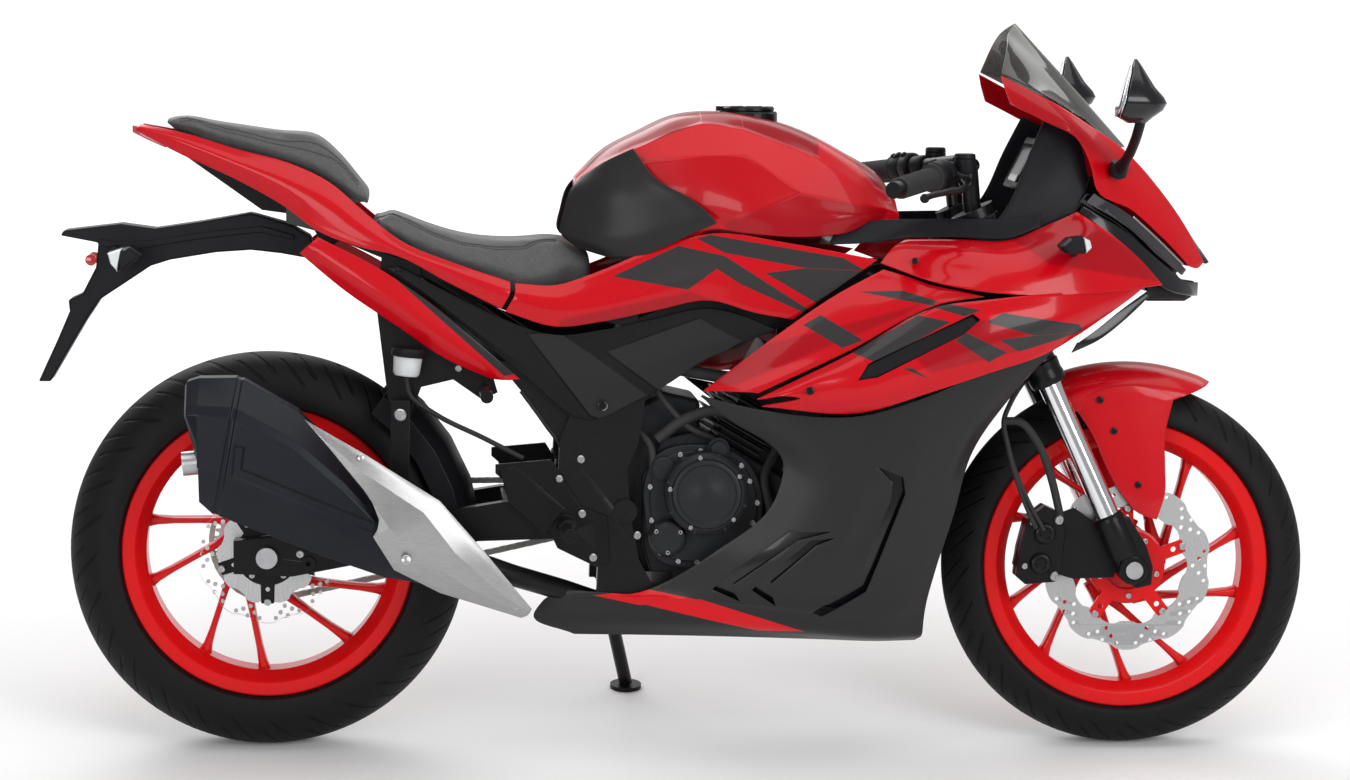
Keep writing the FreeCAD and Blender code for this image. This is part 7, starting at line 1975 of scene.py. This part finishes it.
# Stations of the tail lamp: forward, half the width, foot and top
TAIL_LAMP = ((-853, 38, 974, 985), (-830, 46, 963, 980), (-800, 50, 950, 968))
BOTTLE_FOOT = Vector((-424, -126, 600))
BOTTLE_UP = (0.1, 0, 1)
BOTTLE = [(0, 0), (0, 18), (4, 21), (30, 23), (31, 0)]
BOTTLE_LID = [(30, 0), (30, 26), (32, 27), (40, 27), (43, 24), (43, 0)]


def drum_of(mesh, corners, side, stations):
    """A shape seen from the right side, swelling and closing between distances from the middle."""
    outline = [seen(across, down, side) for across, down in corners]
    middle = sum(outline, Vector()) / len(outline)
    add_rings(mesh, [[Vector((middle.x + (p.x - middle.x) * size, -out, middle.z + (p.z - middle.z) * size))
                      for p in outline] for out, size in stations])


class BIKE_OT_tail(bpy.types.Operator):
    """Make the plate carrier, tail lamp, turn signals, guards and reflector"""
    bl_idname = "bike.tail"
    bl_label = "Tail end"

    def execute(self, context):
        refined("hugger", "black_plastic", 1.0)
        lamp = [[Vector((x, y, z)) for y, z in ((-half, low), (-half, high), (half, high), (half, low))]
                for x, half, low, high in TAIL_LAMP]
        signals = both((drum_of, FRONT_SIGNAL, 280, ((216, 0.5), (226, 0.9), (276, 1.0), (284, 0.75))),
                       (drum_of, REAR_SIGNAL, 120, ((50, 0.5), (58, 0.9), (116, 1.0), (124, 0.7))),
                       (add_tube, [Vector((612, -198, 806)), Vector((608, -222, 804))], 8, 14),
                       (add_tube, [Vector((-880, -33, 790)), Vector((-882, -56, 788))], 8, 14))
        caps = both((drum_of, FRONT_SIGNAL_LENS, 280, ((228, 0.8), (234, 1.0), (278, 1.0), (286, 0.8))),
                    (drum_of, REAR_SIGNAL_LENS, 120, ((62, 0.8), (66, 1.0), (118, 1.0), (126, 0.8))))
        point = seen(91, 260, 36)
        reflectors = both((add_lathe, [(0, 0), (0, 9), (3, 9), (4, 7), (4, 0)], (point.x, -34, point.z),
                           OUTWARD, 28))
        bottle = drawn((add_lathe, BOTTLE, BOTTLE_FOOT, BOTTLE_UP, 32))
        branch = smooth_line([(-424, -100, 606), (-424, -112, 600), (-424, -126, 598)], 6)
        lid = drawn((add_lathe, BOTTLE_LID, BOTTLE_FOOT, BOTTLE_UP, 40), (add_tube, branch, 8, 16))
        hose = drawn((add_tube, smooth_line([(-424, -126, 600), (-418, -120, 570), (-380, -112, 540),
                                             (-300, -110, 500), (-240, -120, 470)], 8), 4, 12))
        for name, mesh, finish, hides, sharp, bevel in (
                ("plate_carrier", drawn((add_slab, CARRIER_OUTLINE, -34, 34)), "black_plastic",
                 ("rear_mudguard",), 30, 3.0),
                ("carrier_ledges", both((add_slab, CARRIER_LEDGE, 34, 37.5)), "black_plastic", (), 30, 1.5),
                ("tail_lamp_lens", drawn((add_rings, lamp)), "red_lens", ("tail_lamp",), 30, 2.0),
                ("signal_bodies", signals, "black_plastic", ("turn_signals",), 30, 1.6),
                ("signal_lenses", caps, "amber_lens", (), 30, 1.0),
                # The side reflectors take the red lens finish, with its faint painted glow.
                ("side_reflectors", reflectors, "red_lens", (), 35, 0.0),
                ("brake_fluid_bottle", bottle, "amber_lens", ("brake_reservoir",), 35, 0.0),
                ("brake_fluid_lid", lid, "black_plastic", (), 35, 0.0),
                ("brake_fluid_hose", hose, "grip_rubber", (), 60, 0.0)):
            piece(name, mesh, finish, "frame", hides, sharp, bevel=bevel)
        return {"FINISHED"}


# Seats

SEAT_STATIONS = [(-478, 862, 98, 848), (-434, 848, 104, 817), (-386, 830, 110, 798), (-339, 817, 114, 778),
                 (-291, 811, 116, 764), (-243, 811, 115, 750), (-200, 815, 106, 750), (-166, 812, 84, 756),
                 (-136, 800, 70, 764)]
PILLION_STATIONS = [(-805, 994, 44, 989), (-789, 999, 54, 987), (-718, 991, 72, 967), (-624, 978, 84, 942),
                    (-566, 972, 92, 920), (-529, 941, 97, 895), (-506, 913, 98, 876), (-484, 886, 98, 864)]
RAIL_LINE = [(-60.3, 700), (-150, 716), (-255, 722), (-348, 752), (-434, 796), (-560, 848), (-700, 884),
             (-770, 900)]
RIDER_SEAMS = [[(-470, -60, 0), (-400, -74, 0), (-320, -82, 0), (-240, -80, 0), (-190, -62, 0)],
               [(-470, 60, 0), (-400, 74, 0), (-320, 82, 0), (-240, 80, 0), (-190, 62, 0)]]
PILLION_SEAMS = [[(-780, -34, 0), (-700, -52, 0), (-620, -64, 0), (-560, -72, 0), (-500, -74, 0)],
                 [(-780, 34, 0), (-700, 52, 0), (-620, 64, 0), (-560, 72, 0), (-500, 74, 0)]]
SEAT_INSET = 5


def rail_top(x):
    for (front, front_z), (back, back_z) in zip(RAIL_LINE, RAIL_LINE[1:]):
        if x >= back:
            return front_z + (back_z - front_z) * (x - front) / (back - front)
    return RAIL_LINE[-1][1]


def seat_source(stations, low_of):
    """The seat before it swells, set in from its outside."""
    rings = []
    for x, top, side, edge in stations:
        low = low_of(x, edge)
        side -= SEAT_INSET
        top -= SEAT_INSET
        half = [(0, top), (side * 0.6, top - 2), (side * 0.88, top - 9), (side, edge + 6), (side - 2, edge + 1),
                (side * 0.8, low + 2), (side * 0.5, low), (0, low)]
        rings.append([Vector((x, -y, z)) for y, z in half]
                     + [Vector((x, y, z)) for y, z in reversed(half) if y > 0])
    columns = [smooth_line([ring[i] for ring in rings], 4) for i in range(len(rings[0]))]
    mesh = drawn((add_rings, [[column[j] for column in columns] for j in range(len(columns[0]))]))
    bmesh.ops.recalc_face_normals(mesh, faces=mesh.faces[:])
    return mesh


def swollen(name, mesh, hides, cap, seams):
    """A cover blown up by a cloth simulation, then pressed in along its seams."""
    data = mesh_data(name, mesh)
    data.transform(PLACE)
    pad = linked(name, data)
    remesh = pad.modifiers.new("Voxels", "REMESH")
    remesh.mode = "VOXEL"
    remesh.voxel_size = 0.006
    remesh.use_smooth_shade = True
    baked(pad)
    relax = pad.modifiers.new("Relax", "SMOOTH")
    relax.factor = 0.5
    relax.iterations = 6
    baked(pad)
    start = [vertex.co.copy() for vertex in pad.data.vertices]
    cloth = pad.modifiers.new("Cover", "CLOTH")
    cloth.settings.quality = 5
    cloth.settings.mass = 0.3
    cloth.settings.tension_stiffness = 12
    cloth.settings.compression_stiffness = 12
    cloth.settings.bending_stiffness = 0.8
    cloth.settings.use_pressure = True
    cloth.settings.uniform_pressure_force = look().seat_pressure
    cloth.settings.effector_weights.gravity = 0
    cloth.collision_settings.use_collision = False
    cloth.point_cache.frame_start = 1
    cloth.point_cache.frame_end = 20
    for step in range(1, 21):
        bpy.context.scene.frame_set(step)
    baked(pad)
    bpy.context.scene.frame_set(1)
    free = cap * 0.001
    for vertex, first in zip(pad.data.vertices, start):
        move = vertex.co - first
        if move.length > free:
            move = move.normalized() * free
        vertex.co = first + move
    round_off = pad.modifiers.new("Rounding", "SUBSURF")
    round_off.levels = round_off.render_levels = 1
    baked(pad)
    sew(pad, seams)
    thing = settle(name, pad.data, "seat_cover", "frame", hides, 60)
    bpy.data.objects.remove(pad)
    return thing


def sew(pad, seams):
    """Presses a groove along each seam into the upper side of a cover."""
    back = PLACE.inverted()
    sink = PLACE.to_3x3() @ UPWARD * 2.6
    world = [vertex.co.copy() for vertex in pad.data.vertices]
    local = [back @ point for point in world]
    for line in seams:
        points = smooth_line(line, 10)
        for i, point in enumerate(local):
            if point.z >= 760:
                near = min(Vector((point.x - p.x, point.y - p.y)).length for p in points)
                if near < 9:
                    world[i] -= sink * math.exp(-(near / 3.5) ** 2)
    for vertex, point in zip(pad.data.vertices, world):
        vertex.co = point


def stitched(name, thing, seams):
    """Stitches along the seams, each on the cover below it."""
    bpy.context.view_layer.update()
    back = PLACE.inverted()
    places = []
    down = (PLACE.to_3x3() @ Vector((0, 0, -1))).normalized()
    for line in seams:
        points = smooth_line(line, 16)
        for before, after in zip(points, points[1:]):
            middle = (before + after) / 2
            for side in (-3.2, 3.2):
                spot = Vector((middle.x, middle.y + side, 1100))
                hit, point, normal, _ = thing.ray_cast(PLACE @ spot, down)
                if hit:
                    up = (back.to_3x3() @ normal).normalized()
                    way = (after - before).normalized()
                    way = (way - up * way.dot(up)).normalized()
                    turn = Matrix((way, up.cross(way), up)).transposed().to_euler()
                    places.append((back @ point - up * 0.2, (turn.x, turn.y, turn.z), 1.0))
    line = [Vector((x, 0, 0.9 * math.cos(x / 2.6 * 1.2))) for x in (-2.6, -1.3, 0, 1.3, 2.6)]
    stitch = drawn((add_tube, line, 0.55, 6))
    bmesh.ops.recalc_face_normals(stitch, faces=stitch.faces[:])
    scattered(name, stitch, places, "thread")


class BIKE_OT_seats(bpy.types.Operator):
    """Make both seats as padded covers with sewn seams"""
    bl_idname = "bike.seats"
    bl_label = "Seats"

    def execute(self, context):
        rider = swollen("rider_seat_cover", seat_source(SEAT_STATIONS, lambda x, edge: rail_top(x) + 6),
                        ("rider_seat",), 7.0, RIDER_SEAMS)
        pillion = swollen("pillion_seat_cover", seat_source(PILLION_STATIONS, lambda x, edge: edge - 7),
                          ("pillion_seat",), 6.0, PILLION_SEAMS)
        stitched("rider_seat_stitches", rider, RIDER_SEAMS)
        stitched("pillion_seat_stitches", pillion, PILLION_SEAMS)
        return {"FINISHED"}


# Stage

# Name, place, aim, width, height and share of the key light of each lamp
LAMPS = (
    ("light_over", (0.2, -0.6, 3.4), (0, 0, 0.5), 4.5, 2.0, 0.22),
    ("light_front", (2.6, -3.6, 2.4), (0.2, 0, 0.5), 2.2, 2.2, 0.40),
    ("light_side", (-2.4, -4.2, 1.6), (0, 0, 0.5), 2.4, 1.6, 0.25),
    ("light_rear", (-1.5, 3.4, 2.6), (0, 0, 0.6), 3.0, 2.0, 0.25),
    ("light_floor", (0, 6.5, 4.5), (0, 6.8, 0), 14.0, 7.0, 2.2))


class BIKE_OT_stage(bpy.types.Operator):
    """Set the camera of the photograph, the pale floor and the soft light"""
    bl_idname = "bike.stage"
    bl_label = "Stage"

    def execute(self, context):
        scene = context.scene
        axes = camera_axes()
        photo_lens = bpy.data.cameras.new("photo_camera")
        photo_lens.sensor_width = 36
        photo_lens.lens = CAMERA_ZOOM / PHOTO_WIDTH * 36
        photo_lens.clip_end = 60
        camera = linked("photo_camera", photo_lens)
        spot = PLACE @ (CAMERA_AIM + axes[2] * CAMERA_FAR)
        camera.matrix_world = Matrix.Translation(spot) @ LEANED @ Matrix(axes).transposed().to_4x4()
        scene.camera = camera
        mesh = bmesh.new()
        bmesh.ops.create_grid(mesh, x_segments=4, y_segments=4, size=40)
        floor = linked("floor", mesh_data("floor", mesh))
        pale = bpy.data.materials.new("pale_floor")
        pale.use_nodes = True
        shader = pale.node_tree.nodes["Principled BSDF"]
        shader.inputs["Base Color"].default_value = (0.86, 0.86, 0.86, 1)
        shader.inputs["Roughness"].default_value = 0.75
        floor.data.materials.append(pale)
        world = bpy.data.worlds.new("studio")
        world.use_nodes = True
        world.node_tree.nodes["Background"].inputs["Color"].default_value = (1, 1, 1, 1)
        world.node_tree.nodes["Background"].inputs["Strength"].default_value = 0.42
        scene.world = world
        scene.view_settings.view_transform = "Standard"
        for name, spot, aim, wide, tall, share in LAMPS:
            lamp = bpy.data.lights.new(name, "AREA")
            lamp.shape = "RECTANGLE"
            lamp.size, lamp.size_y, lamp.energy = wide, tall, look().key_light * share
            holder = linked(name, lamp)
            holder.visible_camera = False
            way = Vector(aim) - Vector(spot)
            holder.matrix_world = Matrix.Translation(spot) @ way.to_track_quat("-Z", "Y").to_matrix().to_4x4()
        return {"FINISHED"}


STEPS = (
    BIKE_OT_stage, BIKE_OT_tyres, BIKE_OT_wheels, BIKE_OT_discs, BIKE_OT_chain, BIKE_OT_fork,
    BIKE_OT_controls, BIKE_OT_front_mudguard, BIKE_OT_front_brake, BIKE_OT_frame, BIKE_OT_engine,
    BIKE_OT_radiator, BIKE_OT_exhaust, BIKE_OT_tank, BIKE_OT_side_panels, BIKE_OT_fairings, BIKE_OT_nose,
    BIKE_OT_mirrors, BIKE_OT_tail, BIKE_OT_seats)


class BIKE_PT_pieces(bpy.types.Panel):
    bl_label = "Sport motorcycle"
    bl_idname = "BIKE_PT_pieces"
    bl_space_type = "VIEW_3D"
    bl_region_type = "UI"
    bl_category = "Motorcycle"

    def draw(self, context):
        for key in BikeLook.__annotations__:
            self.layout.prop(context.scene.bike_look, key)
        for step in STEPS:
            self.layout.operator(step.bl_idname)


CLASSES = (BikeLook, BIKE_PT_pieces) + STEPS


def register():
    for kind in CLASSES:
        bpy.utils.register_class(kind)
    bpy.types.Scene.bike_look = PointerProperty(type=BikeLook)


def unregister():
    del bpy.types.Scene.bike_look
    for kind in reversed(CLASSES):
        bpy.utils.unregister_class(kind)


def main():
    register()
    for step in STEPS:
        group, name = step.bl_idname.split(".")
        getattr(getattr(bpy.ops, group), name)()


if __name__ == "__main__":
    main()
